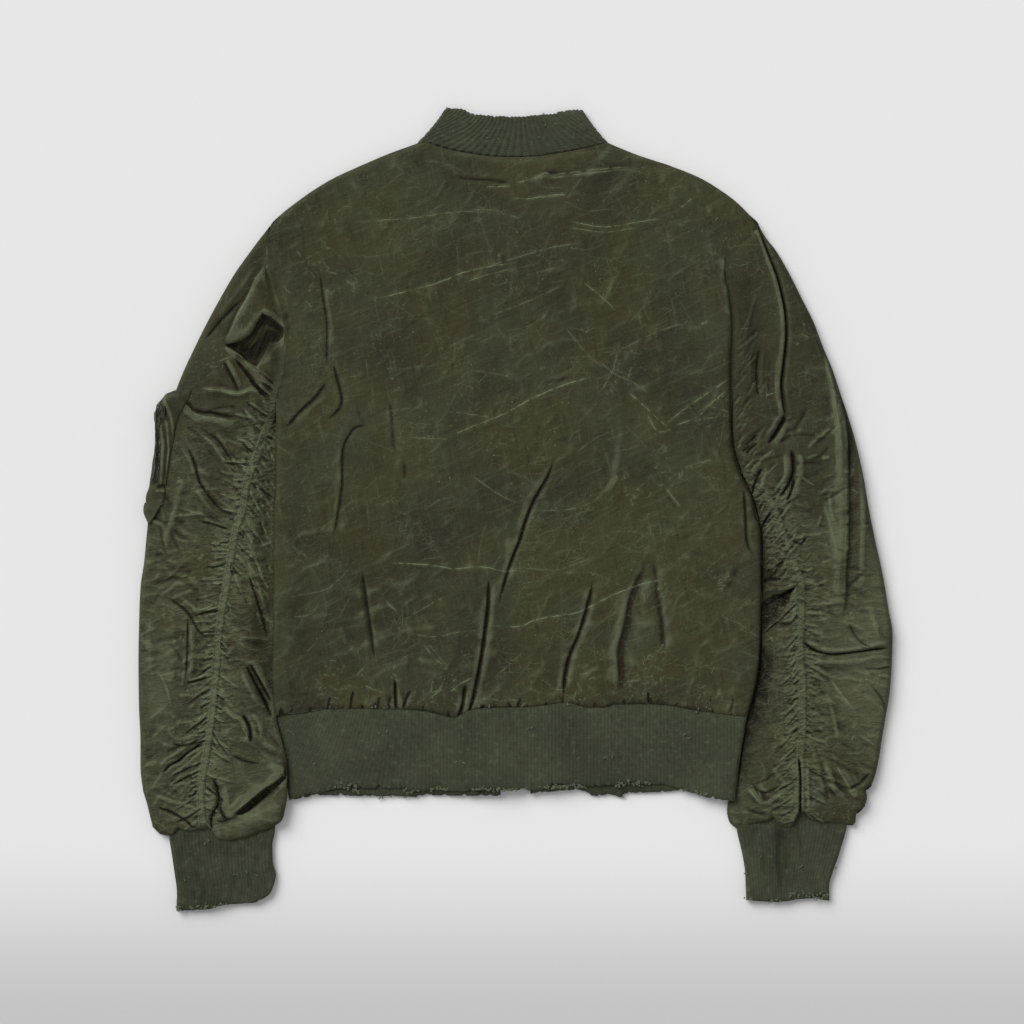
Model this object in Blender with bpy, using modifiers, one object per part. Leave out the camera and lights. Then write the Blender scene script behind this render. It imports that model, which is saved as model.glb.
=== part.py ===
"""Bomber jacket laid flat, back up: a ribbed collar, hem band and cuffs on a body and two-piece sleeves.

Metres, +Z up. The jacket lies on the plane z = 0 with its neck towards +Y and its left sleeve towards -X.
Tables are in millimetres. Every cloth piece is a wall with a thickness, made through cross sections:
a section is a flattened tube with an upper layer, a lower layer and two edges, and a piece is a part of it.
"""

import math
from collections import namedtuple

import bmesh
import bpy
from mathutils import Vector

MM = 0.001

# Driving sizes, in millimetres
CLOTH = 2.8            # waxed shell with its lining
RIB = 3.0              # rib knit, folded double
SEAM_GAP = 0.3         # room between two sewn pieces
LAYER_ROOM = 3.2       # air between the upper and the lower layer of the body
BODY_EDGE = 7.2        # height of a folded edge of the body
SLEEVE_EDGE = 6.2      # height of a folded edge of a sleeve
BODY_FOLD = 9.0        # how far in from its folded edge the body is level
SLEEVE_FOLD = 8.0
RIB_FOLD = 7.0
FOLD_STEPS = 3         # facets from a folded edge to the level cloth

# The body from the hem seam up to the neck seam: side seams below the underarms, armholes above them, then
# the shoulder seams. sag is how much lower the middle of a row lies than its ends. left_lift and right_lift
# hold that edge off the surface where a sleeve is tucked under it.
BodyRow = namedtuple("BodyRow", "y left right sag left_lift right_lift", defaults=(0.0, 0.0, 0.0))
BODY = (
    BodyRow(-207, -240.5, 232.5, -6.0, 0.0, 5.2),
    BodyRow(-190, -241.5, 238.0, -4.0, 0.5, 5.2),
    BodyRow(-165, -243.0, 242.0, -2.0, 4.5, 5.2),
    BodyRow(-141, -243.5, 243.5, 0.0, 5.2, 5.2),
    BodyRow(-101, -242.0, 244.5, 0.0, 5.2, 5.2),
    BodyRow(-36, -241.5, 244.0, 0.0, 5.2, 5.2),
    BodyRow(-11, -242.0, 237.0, 0.0, 5.2, 5.2),
    BodyRow(9, -240.5, 234.5, 0.0, 5.2, 5.2),
    BodyRow(29, -239.0, 227.5, 0.0, 5.2, 5.2),
    BodyRow(43, -238.5, 221.5, 0.0, 5.2, 0.0),
    BodyRow(74, -238.5, 216.5, 0.0, 5.2, 0.0),
    BodyRow(96, -238.8, 215.0, 0.0, 5.2, 0.0),
    BodyRow(109, -239.0, 214.5),
    BodyRow(139, -232.5, 214.5),
    BodyRow(164, -230.5, 215.5),
    BodyRow(189, -233.5, 215.5),
    BodyRow(209, -239.5, 213.5),
    BodyRow(247, -248.0, 211.0),
    BodyRow(264, -249.5, 219.5),
    BodyRow(277, -247.5, 234.5),
    BodyRow(281, -246.5, 243.0),
    BodyRow(295, -234.5, 233.5),
    BodyRow(307, -219.5, 221.5),
    BodyRow(319, -202.5, 205.5, 0.5),
    BodyRow(331, -182.5, 185.5, 1.5),
    BodyRow(343, -156.5, 156.5, 4.0),
    BodyRow(355, -128.5, 120.5, 8.5),
    BodyRow(366.5, -95.5, 88.5, 15.0),
)
UNDERARM_LEFT, UNDERARM_RIGHT = 109, 43
SHOULDER_POINT = 281   # the armholes end and the shoulder seams start here
NECK = BODY[-1]
BODY_TUCK_IN, BODY_TUCK_WIDTH = 12.0, 42.0   # how far the body lies on a sleeve, and its slope after that
FRONT_NECK_DEPTH = 66.0                               # how much lower the neck is in front than behind
FRONT_NECK_LOW = NECK.y - NECK.sag - FRONT_NECK_DEPTH
FRONT_NECK_ROWS = (FRONT_NECK_LOW, FRONT_NECK_LOW + 4, 295, 307, 319, 331, 343, 355, 364)

# Sleeves from the shoulder point to the cuff seam. outer is the outline, seam the back sleeve seam (the
# armhole above the underarm) and inner the edge along the body. crown is the height of the upper layer and
# lift holds the inner edge off the surface.
SleeveRow = namedtuple("SleeveRow", "y outer seam inner crown lift", defaults=(0.0,))
LEFT_SLEEVE = (
    SleeveRow(277, -251.5, -247.5, None, 8.8),
    SleeveRow(264, -260.5, -249.5, None, 9.0),
    SleeveRow(247, -273.5, -248.0, None, 9.4),
    SleeveRow(209, -296.5, -239.5, None, 10.2),
    SleeveRow(189, -307.5, -233.5, None, 10.4),
    SleeveRow(164, -320.0, -230.5, None, 10.4),
    SleeveRow(139, -331.5, -232.5, None, 10.2),
    SleeveRow(112, -347.0, -238.9, None, 10.0),
    SleeveRow(109, -348.5, -243.8, -239.2, 10.0),
    SleeveRow(96, -355.5, -246.5, -239.1, 10.0),
    SleeveRow(84, -357.5, -249.5, -237.8, 10.0),
    SleeveRow(59, -358.8, -257.5, -236.0, 10.0),
    SleeveRow(29, -361.3, -267.5, -236.0, 10.0),
    SleeveRow(-1, -366.5, -274.5, -238.0, 10.2),
    SleeveRow(-66, -373.5, -286.5, -238.5, 10.4),
    SleeveRow(-101, -376.5, -291.5, -238.5, 10.4),
    SleeveRow(-181, -377.5, -300.0, -244.0, 10.6),
    SleeveRow(-211, -376.5, -303.5, -241.5, 11.0, 6.0),
    SleeveRow(-236, -375.5, -307.5, -232.5, 11.4, 9.4),
    SleeveRow(-261, -375.5, -310.5, -227.5, 11.8, 9.4),
    SleeveRow(-286, -371.5, -312.0, -228.0, 11.8, 9.4),
    SleeveRow(-303, -366.5, -312.5, -230.0, 11.0, 6.0),
    SleeveRow(-315, -363.5, -312.5, -236.5, 10.0, 2.0),
    SleeveRow(-321, -350.5, -311.5, -241.5, 9.2),
)
RIGHT_SLEEVE = (
    SleeveRow(277, 248.5, 235.0, None, 8.8),
    SleeveRow(264, 257.5, 219.8, None, 9.0),
    SleeveRow(247, 267.5, 211.0, None, 9.4),
    SleeveRow(209, 287.5, 213.5, None, 10.2),
    SleeveRow(189, 297.5, 215.5, None, 10.4),
    SleeveRow(164, 307.5, 215.5, None, 10.4),
    SleeveRow(139, 317.5, 214.5, None, 10.4),
    SleeveRow(109, 328.0, 214.5, None, 10.2),
    SleeveRow(74, 338.0, 216.5, None, 10.0),
    SleeveRow(46, 345.0, 221.3, None, 10.0),
    SleeveRow(43, 345.5, 226.5, 221.9, 10.0),
    SleeveRow(29, 349.0, 232.5, 227.8, 10.0),
    SleeveRow(5, 353.5, 251.0, 232.8, 10.0),
    SleeveRow(-25, 359.5, 268.5, 237.5, 10.0),
    SleeveRow(-66, 367.5, 284.5, 240.0, 10.2),
    SleeveRow(-101, 373.5, 286.0, 240.0, 10.4),
    SleeveRow(-138, 377.5, 284.0, 239.0, 10.4),
    SleeveRow(-181, 375.0, 284.5, 236.0, 10.4),
    SleeveRow(-207, 371.0, 285.0, 229.5, 10.4),
    SleeveRow(-236, 366.0, 285.0, 223.5, 10.6),
    SleeveRow(-261, 362.0, 285.0, 218.5, 10.6),
    SleeveRow(-286, 353.0, 285.0, 214.0, 10.6),
    SleeveRow(-303, 342.5, 285.0, 211.5, 10.4),
    SleeveRow(-313, 337.5, 285.0, 214.5, 9.8),
    SleeveRow(-320, 330.5, 284.5, 221.5, 9.2),
)
TUCK_IN, TUCK_LIFT_WIDTH = 14.0, 16.0   # how far a sleeve is tucked under the body, and its slope after that

# The largest folds of the sleeves: a ridge (or, with a negative height, a trough) along a line.
Fold = namedtuple("Fold", "x0 y0 x1 y1 width height")
FOLDS = (
    Fold(-262, 245, -300, 150, 18, 3.4),
    Fold(-335, 95, -268, 80, 14, 2.6),
    Fold(-318, 120, -262, 112, 11, -1.6),
    Fold(-352, -60, -310, -90, 16, 2.4),
    Fold(-285, -255, -240, -240, 16, 2.6),
    Fold(252, 262, 268, 190, 14, 2.6),
    Fold(268, 190, 262, 90, 14, 2.8),
    Fold(285, 210, 283, 90, 9, -1.6),
    Fold(330, 30, 320, -60, 18, 2.4),
    Fold(295, -140, 368, -148, 10, -1.6),
    Fold(240, -110, 272, -75, 9, -1.6),
    Fold(245, -250, 240, -290, 14, 2.0),
)

# Ribbed cuffs from the sewn seam to the free edge.
CuffRow = namedtuple("CuffRow", "left left_y right right_y")
LEFT_CUFF = (
    CuffRow(-348.5, -321.3, -243.5, -321.3),
    CuffRow(-345.5, -341, -243.5, -341),
    CuffRow(-342.5, -366, -241.5, -364),
    CuffRow(-340.0, -383, -240.5, -378),
    CuffRow(-339.5, -401, -247.5, -391),
)
RIGHT_CUFF = (
    CuffRow(223.5, -320.3, 329.0, -320.3),
    CuffRow(225.5, -341, 324.5, -341),
    CuffRow(227.0, -366, 317.5, -366),
    CuffRow(230.5, -381, 313.5, -381),
    CuffRow(231.5, -394, 313.0, -391),
)
CUFF_HEIGHT = 8.6

# The hem band's free edge; share runs along it from its left to its right folded end.
EdgePoint = namedtuple("EdgePoint", "share y")
HEM_BACK_EDGE = (
    EdgePoint(0.0, -290.5),
    EdgePoint(0.12, -285.0),
    EdgePoint(0.3, -280.0),
    EdgePoint(0.5, -278.0),
    EdgePoint(0.72, -275.0),
    EdgePoint(0.88, -279.0),
    EdgePoint(1.0, -290.5),
)
HEM_FRONT_EDGE_Y = -285.5
HEM_LEFT_END, HEM_RIGHT_END = -226.0, 217.0     # its folded ends at the free edge
HEM_HEIGHT = 8.6
HEM_RIGHT_LIFT = 5.9
HEM_TUCK_IN, HEM_TUCK_WIDTH = 10.0, 40.0

# The collar is a strip round the neck. These are points of its free edge on the back layer.
CollarEdge = namedtuple("CollarEdge", "share x y")
COLLAR_BACK_EDGE = (
    CollarEdge(0.0, -69.0, 401.0),
    CollarEdge(0.12, -60.0, 398.5),
    CollarEdge(0.28, -40.0, 394.2),
    CollarEdge(0.5, -2.0, 391.8),
    CollarEdge(0.72, 36.0, 393.6),
    CollarEdge(0.88, 58.0, 397.5),
    CollarEdge(1.0, 67.0, 399.0),
)
COLLAR_FRONT_HEIGHT = 44.0
COLLAR_THICKNESS = 8.2   # height of both layers together
COLLAR_FOLD_OUT = 2.6    # how far its folded ends stand out

# The front zip, closed, with its slider at the top; the pull hangs down from it.
ZIP_HALF_WIDTH = 15.0
ZIP_LIFT = 3.6           # how far the slider and its pull hold the fronts off the surface
ZIP_LIFT_REACH = 78.0    # half the width of the lifted part
ZIP_LIFT_LEVEL = 30.0    # half the width of its level middle
TAPE_THICKNESS = 1.2
CHAIN_HALF_WIDTH, CHAIN_THICKNESS = 2.6, 2.0
SLIDER_HALF_WIDTH, SLIDER_LENGTH, SLIDER_PLATE = 4.6, 12.0, 1.1
PULL_HALF_WIDTH, PULL_LENGTH, PULL_THICKNESS = 2.6, 26.0, 1.2
SLIDER_END = 3.0         # how far the slider's closed end and the pull's axis are from the top of the teeth
LUG_WIDTH, LUG_HALF_LENGTH, LUG_SINK = 1.2, 1.2, 0.4
PULL_ROUNDING = 0.4
METAL_ROOM = 0.25        # room between the metal pieces

# The utility pocket goes round the outer edge of the left sleeve, from over it to under it.
POCKET_TOP, POCKET_LOW = 118.0, 3.0
POCKET_OVER, POCKET_UNDER = 17.0, 48.0
POCKET_THICKNESS = 1.5
POCKET_LIFT = 2.9        # room for the pocket under the sleeve
POCKET_LIFT_TOP, POCKET_LIFT_LOW, POCKET_LIFT_SLOPE = 164.0, -31.0, 28.0
POCKET_ROOM = 0.7        # room between the pocket and the sleeve, and between the pocket and its zip
POCKET_ZIP_FROM, POCKET_ZIP_TO = 5.0, 11.5      # the zip's place, measured in from the pocket's outer edge
POCKET_ZIP_THICKNESS = 1.0
POCKET_SLIDER_Y = 108.0
POCKET_SLIDER_HALF_WIDTH, POCKET_SLIDER_LENGTH, POCKET_SLIDER_HEIGHT = 2.2, 9.0, 2.0
TAB_CORNERS = ((-371.5, 2.0), (-359.5, 1.0), (-357.0, -6.0), (-367.5, -17.0))
TAB_THICKNESS = 1.6


def smooth(share):
    """A soft step from 0 to 1."""
    share = min(1.0, max(0.0, share))
    return share * share * (3 - 2 * share)


def between(a, b, share):
    return a + (b - a) * share


def read(rows, at, column, key="y"):
    """A column of a table of rows at a place, straight between its rows."""
    ordered = sorted(rows, key=lambda row: getattr(row, key))
    at = min(max(at, getattr(ordered[0], key)), getattr(ordered[-1], key))
    for low, high in zip(ordered, ordered[1:]):
        low_key, high_key = getattr(low, key), getattr(high, key)
        if at <= high_key:
            return between(getattr(low, column), getattr(high, column), (at - low_key) / (high_key - low_key))
    return getattr(ordered[-1], column)


def fold_height(x, y):
    """The height that the folds of the sleeves add at a place."""
    total = 0.0
    for fold in FOLDS:
        start, end = Vector((fold.x0, fold.y0)), Vector((fold.x1, fold.y1))
        along = end - start
        share = min(1.0, max(0.0, (Vector((x, y)) - start).dot(along) / along.length_squared))
        away = (Vector((x, y)) - start - along * share).length / fold.width
        total += fold.height * math.exp(-away * away)
    return total


def fold_factor(distance, width, drop):
    """The share of a section's half height at a distance from its edge; drop is that share at the edge."""
    if distance >= width:
        return 1.0
    short = 1 - max(distance, 0.0) / width
    return math.sqrt(1 - short * short * (1 - drop * drop))


def folded_end(edge, inward, width):
    """x of the facets that round a folded edge, from the edge inwards."""
    angles = [math.pi / 2 * step / FOLD_STEPS for step in range(FOLD_STEPS)]
    return [edge + inward * width * (1 - math.cos(angle)) for angle in angles]


def level_part(start, end, count):
    return [between(start, end, step / count) for step in range(count + 1)]


class Section:
    """A flattened tube of cloth between two edges. A drop of 0 is a folded edge and 1 an open, sewn one."""

    def __init__(self, left, right, low, high, edge, wall, fold, drops=(0.0, 0.0)):
        self.edges, self.low, self.high, self.edge, self.wall = (left, right), low, high, edge, wall
        self.drops = drops
        self.fold = min(fold, 0.45 * (right - left))

    def sides(self, inner):
        """The two edges and the fold width of the outer or of the inner face of the wall."""
        if not inner:
            return self.edges[0], self.edges[1], self.fold
        left = self.edges[0] + self.wall * (1 - self.drops[0])
        right = self.edges[1] - self.wall * (1 - self.drops[1])
        return left, right, max(self.fold - self.wall, 0.5 * self.fold)

    def height(self, x, upper, inner, half_gap=0.0):
        """The height of a layer's outer or inner face at x."""
        left, right, fold = self.sides(inner)
        factor = min(fold_factor(x - left, fold, self.drops[0]), fold_factor(right - x, fold, self.drops[1]))
        low = self.low(x)
        middle = low + self.edge / 2
        inset = self.wall if inner else 0.0
        if upper:
            return middle + half_gap + (self.high(x) - inset - middle - half_gap) * factor
        return middle - half_gap - (middle - half_gap - low - inset) * factor


def body_lift(x, y):
    """How far the fronts lie off the surface: over the zip's slider and over the tucked sleeves."""
    left, right = read(BODY, y, "left"), read(BODY, y, "right")
    over_zip = ZIP_LIFT * smooth((ZIP_LIFT_REACH - abs(x)) / (ZIP_LIFT_REACH - ZIP_LIFT_LEVEL))
    over_left = read(BODY, y, "left_lift") * smooth(1 - (x - left - BODY_TUCK_IN) / BODY_TUCK_WIDTH)
    over_right = read(BODY, y, "right_lift") * smooth(1 - (right - BODY_TUCK_IN - x) / BODY_TUCK_WIDTH)
    return max(over_zip, over_left, over_right)


def body_top(x, y):
    return body_lift(x, y) + 2 * CLOTH + LAYER_ROOM


def body_drops(y):
    """How open the body's edges are: 0 where they are folded and 1 where they are sewn to a sleeve."""
    if y >= SHOULDER_POINT:
        return 0.0, 0.0
    left = smooth((y - UNDERARM_LEFT + 26) / 26)
    right = smooth((y - UNDERARM_RIGHT + 26) / 26)
    left_room = read(BODY, y, "left") - read(LEFT_SLEEVE, y, "outer")
    right_room = read(RIGHT_SLEEVE, y, "outer") - read(BODY, y, "right")
    left = min(left, fold_factor(left_room, BODY_FOLD, 0.0))
    return left, min(right, fold_factor(right_room, BODY_FOLD, 0.0))


def body_section(y):
    half = SEAM_GAP / 2
    left, right = read(BODY, y, "left") + half, read(BODY, y, "right") - half
    return Section(
        left, right, lambda x: body_lift(x, y), lambda x: body_top(x, y),
        BODY_EDGE, CLOTH, BODY_FOLD, body_drops(y),
    )


def row_y(y, x):
    """A row of the body bends down between its ends."""
    left, right = read(BODY, y, "left"), read(BODY, y, "right")
    share = min(1.0, max(0.0, (x - left) / (right - left)))
    return y - read(BODY, y, "sag") * (1 - abs(2 * share - 1) ** 2.2)


def front_neck_x(y, side):
    """Half the width of the front neck at y, or half the zip's width below it."""
    reach = NECK.right if side > 0 else -NECK.left
    depth = min(1.0, (NECK.y - y) / (NECK.y - FRONT_NECK_LOW))
    return max(ZIP_HALF_WIDTH, reach * math.sqrt(1 - depth**2.3))


def wall_mesh(name, outer, inner, ring=False):
    """A closed wall between two grids of points. In a ring each row's last point joins its first."""
    rows, columns = len(outer), len(outer[0])
    mesh = bmesh.new()
    grids = [[[mesh.verts.new(point * MM) for point in row] for row in grid] for grid in (outer, inner)]
    last = columns if ring else columns - 1
    for r in range(rows - 1):
        for c in range(last):
            n = (c + 1) % columns
            for grid in grids:
                mesh.faces.new((grid[r][c], grid[r][n], grid[r + 1][n], grid[r + 1][c]))
    for r in (0, rows - 1):
        for c in range(last):
            n = (c + 1) % columns
            mesh.faces.new((grids[0][r][c], grids[0][r][n], grids[1][r][n], grids[1][r][c]))
    if not ring:
        for c in (0, columns - 1):
            for r in range(rows - 1):
                mesh.faces.new((grids[0][r][c], grids[0][r + 1][c], grids[1][r + 1][c], grids[1][r][c]))
    bmesh.ops.recalc_face_normals(mesh, faces=mesh.faces)
    return new_object(name, mesh)


def new_object(name, mesh):
    data = bpy.data.meshes.new(name)
    mesh.to_mesh(data)
    mesh.free()
    obj = bpy.data.objects.new(name, data)
    jacket.objects.link(obj)
    return obj


def finish(obj, material, sharp_angle=50):
    obj.data.materials.append(material)
    obj.data.shade_smooth()
    obj.data.set_sharp_from_angle(angle=math.radians(sharp_angle))
    return obj


def new_material(name, colour, roughness, metallic=0.0):
    made = bpy.data.materials.new(name)
    made.use_nodes = True
    shader = made.node_tree.nodes["Principled BSDF"]
    shader.inputs["Base Color"].default_value = (*colour, 1)
    shader.inputs["Roughness"].default_value = roughness
    shader.inputs["Metallic"].default_value = metallic
    return made


def make_back(cloth):
    """The back: one panel from the hem seam to the neck, between the side seams, armholes and shoulders."""
    grids = ([], [])
    half = SEAM_GAP / 2
    for row in BODY:
        section = body_section(row.y)
        for inner, grid in enumerate(grids):
            left, right, fold = section.sides(inner)
            xs = folded_end(left, 1, fold) + level_part(left + fold, right - fold, 9)
            xs += reversed(folded_end(right, -1, fold))
            grid.append([Vector((x, row_y(row.y, x), section.height(x, True, inner, half))) for x in xs])
    return finish(wall_mesh("back", *grids), cloth)


def make_front(name, side, cloth):
    """One front: the lower layer from its side edge to the zip and, above the zip, to the front neck."""
    grids = ([], [])
    low_rows = [row.y for row in BODY if row.y < FRONT_NECK_LOW]
    for y in low_rows + list(FRONT_NECK_ROWS):
        section = body_section(y)
        neck = side * (front_neck_x(y, side) + SEAM_GAP / 2)
        for inner, grid in enumerate(grids):
            left, right, fold = section.sides(inner)
            edge = left if side < 0 else right
            fold = min(fold, 0.8 * abs(neck - edge))
            xs = folded_end(edge, -side, fold) + level_part(edge - side * fold, neck, 5)
            grid.append([
                Vector((x, row_y(y, x) if y < 0 else y, section.height(x, False, inner, SEAM_GAP / 2)))
                for x in xs
            ])
    return finish(wall_mesh(name, *grids), cloth)


def sleeve_section(row, side):
    """The section of a sleeve. Above the underarm it is open towards the body."""
    is_open = row.inner is None
    inner_edge = row.seam + side * SEAM_GAP / 2 if is_open else row.inner
    left, right = sorted((row.outer, inner_edge))
    inner_drop = body_drops(row.y)[0 if side < 0 else 1] if is_open else 0.0
    drops = (0.0, inner_drop) if side < 0 else (inner_drop, 0.0)
    at_edge = body_top(inner_edge, row.y) if is_open else SLEEVE_EDGE + row.lift
    edge = between(SLEEVE_EDGE, BODY_EDGE, 1.0 if is_open else 0.0)

    over_pocket = 0.0
    if side < 0:
        below_top = smooth((POCKET_LIFT_TOP - row.y) / POCKET_LIFT_SLOPE)
        over_pocket = POCKET_LIFT * below_top * smooth((row.y - POCKET_LIFT_LOW) / POCKET_LIFT_SLOPE)

    def low(x):
        over_body = row.lift * smooth(1 - (abs(inner_edge - x) - TUCK_IN) / TUCK_LIFT_WIDTH)
        return over_body + over_pocket * smooth(1 - (x - row.outer - POCKET_UNDER - 4) / 20)

    def high(x):
        from_body = abs(x - inner_edge)
        bulge = 1 - (2 * (x - left) / (right - left) - 1) ** 2
        flat = between(at_edge, row.crown - 1 + bulge, smooth(from_body / 24)) + low(x) * (row.lift == 0)
        calm = smooth(min(abs(x - row.outer), from_body) / 18)
        return max(low(x) + 2 * CLOTH + 0.6, flat + fold_height(x, row.y) * calm)

    return Section(left, right, low, high, edge, CLOTH, SLEEVE_FOLD, drops)


def sleeve_strip(section, y, edge, seam, upper_count, lower_count):
    """Outer and inner points of a strip from the seam on top, round a folded edge, to the seam beneath."""
    strip = []
    for inner in (0, 1):
        left, right, fold = section.sides(inner)
        folded = left if abs(left - edge) < abs(right - edge) else right
        inward = 1 if seam > edge else -1
        fold = min(fold, 0.8 * abs(seam - folded))
        rounding = folded_end(folded, inward, fold)
        upper = rounding + level_part(folded + inward * fold, seam, upper_count)
        lower = rounding[1:] + level_part(folded + inward * fold, seam, lower_count)
        points = [Vector((x, y, section.height(x, True, inner))) for x in reversed(upper)]
        points += [Vector((x, y, section.height(x, False, inner))) for x in lower]
        strip.append(points)
    return strip


def make_sleeve(name, rows, side, cloth):
    """A two-piece sleeve: the top sleeve round the outer edge, the under sleeve round the inner one."""
    half = SEAM_GAP / 2
    top = [
        sleeve_strip(sleeve_section(row, side), row.y, row.outer, row.seam + side * half, 5, 2)
        for row in rows
    ]
    under = [
        sleeve_strip(sleeve_section(row, side), row.y, row.inner, row.seam - side * half, 2, 1)
        for row in rows if row.inner is not None
    ]
    finish(wall_mesh(f"{name}_top", *zip(*top)), cloth)
    finish(wall_mesh(f"{name}_under", *zip(*under)), cloth)
    return [outer for outer, inner in top]


def make_cuff(name, rows, rib):
    """A cuff: a flattened ring of folded rib knit."""
    grids = ([], [])
    for row in rows:
        section = Section(
            row.left, row.right, lambda x: 0.0, lambda x: CUFF_HEIGHT, CUFF_HEIGHT, RIB, RIB_FOLD
        )
        for inner, grid in enumerate(grids):
            left, right, fold = section.sides(inner)
            upper = folded_end(left, 1, fold) + level_part(left + fold, right - fold, 4)
            upper += reversed(folded_end(right, -1, fold))
            ring = [(x, True) for x in upper] + [(x, False) for x in reversed(upper[1:-1])]
            points = []
            for x, is_upper in ring:
                y = between(row.left_y, row.right_y, (x - row.left) / (row.right - row.left))
                points.append(Vector((x, y, section.height(x, is_upper, inner))))
            grid.append(points)
    return finish(wall_mesh(name, *grids, ring=True), rib)


def hem_lift(x, right):
    over_right = HEM_RIGHT_LIFT * smooth(1 - (right - HEM_TUCK_IN - x) / HEM_TUCK_WIDTH)
    return max(ZIP_LIFT * smooth((ZIP_LIFT_REACH - abs(x)) / (ZIP_LIFT_REACH - ZIP_LIFT_LEVEL)), over_right)


def hem_strip(left, right, fold):
    """(x, upper layer or not) along the band from the zip round the left end to the zip again."""
    left_fold, right_fold = folded_end(left, 1, fold), folded_end(right, -1, fold)
    zip_x = ZIP_HALF_WIDTH + SEAM_GAP / 2
    strip = [(x, False) for x in reversed(left_fold[1:] + level_part(left + fold, -zip_x, 6))]
    strip += [(x, True) for x in left_fold + level_part(left + fold, right - fold, 14)]
    strip += [(x, True) for x in reversed(right_fold)]
    strip += [(x, False) for x in right_fold[1:] + level_part(right - fold, zip_x, 6)]
    return strip


def make_hem(rib):
    """The hem band: one strip from the zip round the left edge, across the back and round to the zip."""
    depths = 4
    seam = BODY[0]
    grids = ([], [])
    for step in range(depths + 1):
        down = step / depths
        a, b = between(seam.left, HEM_LEFT_END, down), between(seam.right, HEM_RIGHT_END, down)
        section = Section(
            a, b, lambda x, right=b: hem_lift(x, right), lambda x, right=b: hem_lift(x, right) + HEM_HEIGHT,
            HEM_HEIGHT, RIB, RIB_FOLD,
        )
        for inner, grid in enumerate(grids):
            points = []
            for x, is_upper in hem_strip(*section.sides(inner)):
                share = (x - a) / (b - a)
                seam_x = between(seam.left, seam.right, share)
                near_fold = smooth(1 - min(x - a, b - x) / 30)
                edge_y = read(HEM_BACK_EDGE, share, "y", "share")
                if not is_upper:
                    edge_y = between(HEM_FRONT_EDGE_Y, edge_y, near_fold)
                y = between(row_y(seam.y, seam_x) - SEAM_GAP, edge_y, down)
                points.append(Vector((x, y, section.height(x, is_upper, inner))))
            grid.append(points)
    return finish(wall_mesh("hem_band", *grids), rib)


def collar_front(side):
    """Seam and edge points of the collar's front layer on one side, from centre front to the folded end."""
    end = COLLAR_BACK_EDGE[0] if side < 0 else COLLAR_BACK_EDGE[-1]
    made = []
    for index, y in enumerate(FRONT_NECK_ROWS):
        share = index / len(FRONT_NECK_ROWS)
        seam_x = max(ZIP_HALF_WIDTH + SEAM_GAP / 2, front_neck_x(y, side) - SEAM_GAP)
        edge_x = max(ZIP_HALF_WIDTH + SEAM_GAP / 2, (abs(end.x) - 3) * share)
        edge_y = between(FRONT_NECK_LOW + COLLAR_FRONT_HEIGHT, end.y - 2, smooth(share))
        made.append(((side * seam_x, y + SEAM_GAP), (side * edge_x, edge_y)))
    return made


def collar_fold(ends, side):
    """The collar's folded end between its front layer, turn 0, and its back layer, turn 1."""
    (seam_x, seam_y), (edge_x, edge_y) = ends
    made = []
    for turn in (0.2, 0.5, 0.8):
        out = side * COLLAR_FOLD_OUT * math.sin(math.pi * turn)
        made.append((((seam_x + out, seam_y), (edge_x + out, edge_y)), turn))
    return made


def make_collar(rib):
    """The collar: a strip of folded rib knit round the neck, its back part above and its front part below."""
    back = []
    for x, step in zip(level_part(NECK.left + 1, NECK.right - 1, 10), range(11)):
        edge = [read(COLLAR_BACK_EDGE, step / 10, column, "share") for column in ("x", "y")]
        back.append(((x, row_y(NECK.y, x) + 2 * SEAM_GAP), edge))
    strip = [(ends, 0.0) for ends in collar_front(-1)] + collar_fold(back[0], -1)
    strip += [(ends, 1.0) for ends in back]
    strip += list(reversed(collar_fold(back[-1], 1))) + [(ends, 0.0) for ends in reversed(collar_front(1))]
    half = COLLAR_THICKNESS / 2
    depths = 2
    grids = ([], [])
    for (seam, edge), turn in strip:
        side = -1 if seam[0] < 0 else 1
        up, out = -math.cos(math.pi * turn), math.sin(math.pi * turn)
        for inner, grid in enumerate(grids):
            wall = RIB * inner
            points = []
            for step in range(depths + 1):
                x = between(seam[0], edge[0], step / depths) - side * wall * out
                y = between(seam[1], edge[1], step / depths)
                points.append(Vector((x, y, body_lift(x, NECK.y) + half + (half - wall) * up)))
            grid.append(points)
    return finish(wall_mesh("collar", *grids), rib)


def block(name, low, high, material):
    """A box between two corners, in millimetres."""
    mesh = bmesh.new()
    bmesh.ops.create_cube(mesh, size=1.0)
    low, high = Vector(low), Vector(high)
    for vert in mesh.verts:
        vert.co = Vector([(low[i] + high[i]) / 2 + vert.co[i] * (high[i] - low[i]) for i in range(3)]) * MM
    return finish(new_object(name, mesh), material)


def prism(name, profile, axis, start, end, material):
    """A flat outline, extruded along X (axis 0) or Z (axis 2)."""
    mesh = bmesh.new()
    corners = [(start, a, b) if axis == 0 else (a, b, start) for a, b in profile]
    face = mesh.faces.new([mesh.verts.new(Vector(corner) * MM) for corner in corners])
    made = bmesh.ops.extrude_face_region(mesh, geom=[face])
    moved = [item for item in made["geom"] if isinstance(item, bmesh.types.BMVert)]
    way = Vector((end - start, 0, 0)) if axis == 0 else Vector((0, 0, end - start))
    bmesh.ops.translate(mesh, verts=moved, vec=way * MM)
    bmesh.ops.recalc_face_normals(mesh, faces=mesh.faces)
    return finish(new_object(name, mesh), material)


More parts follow.
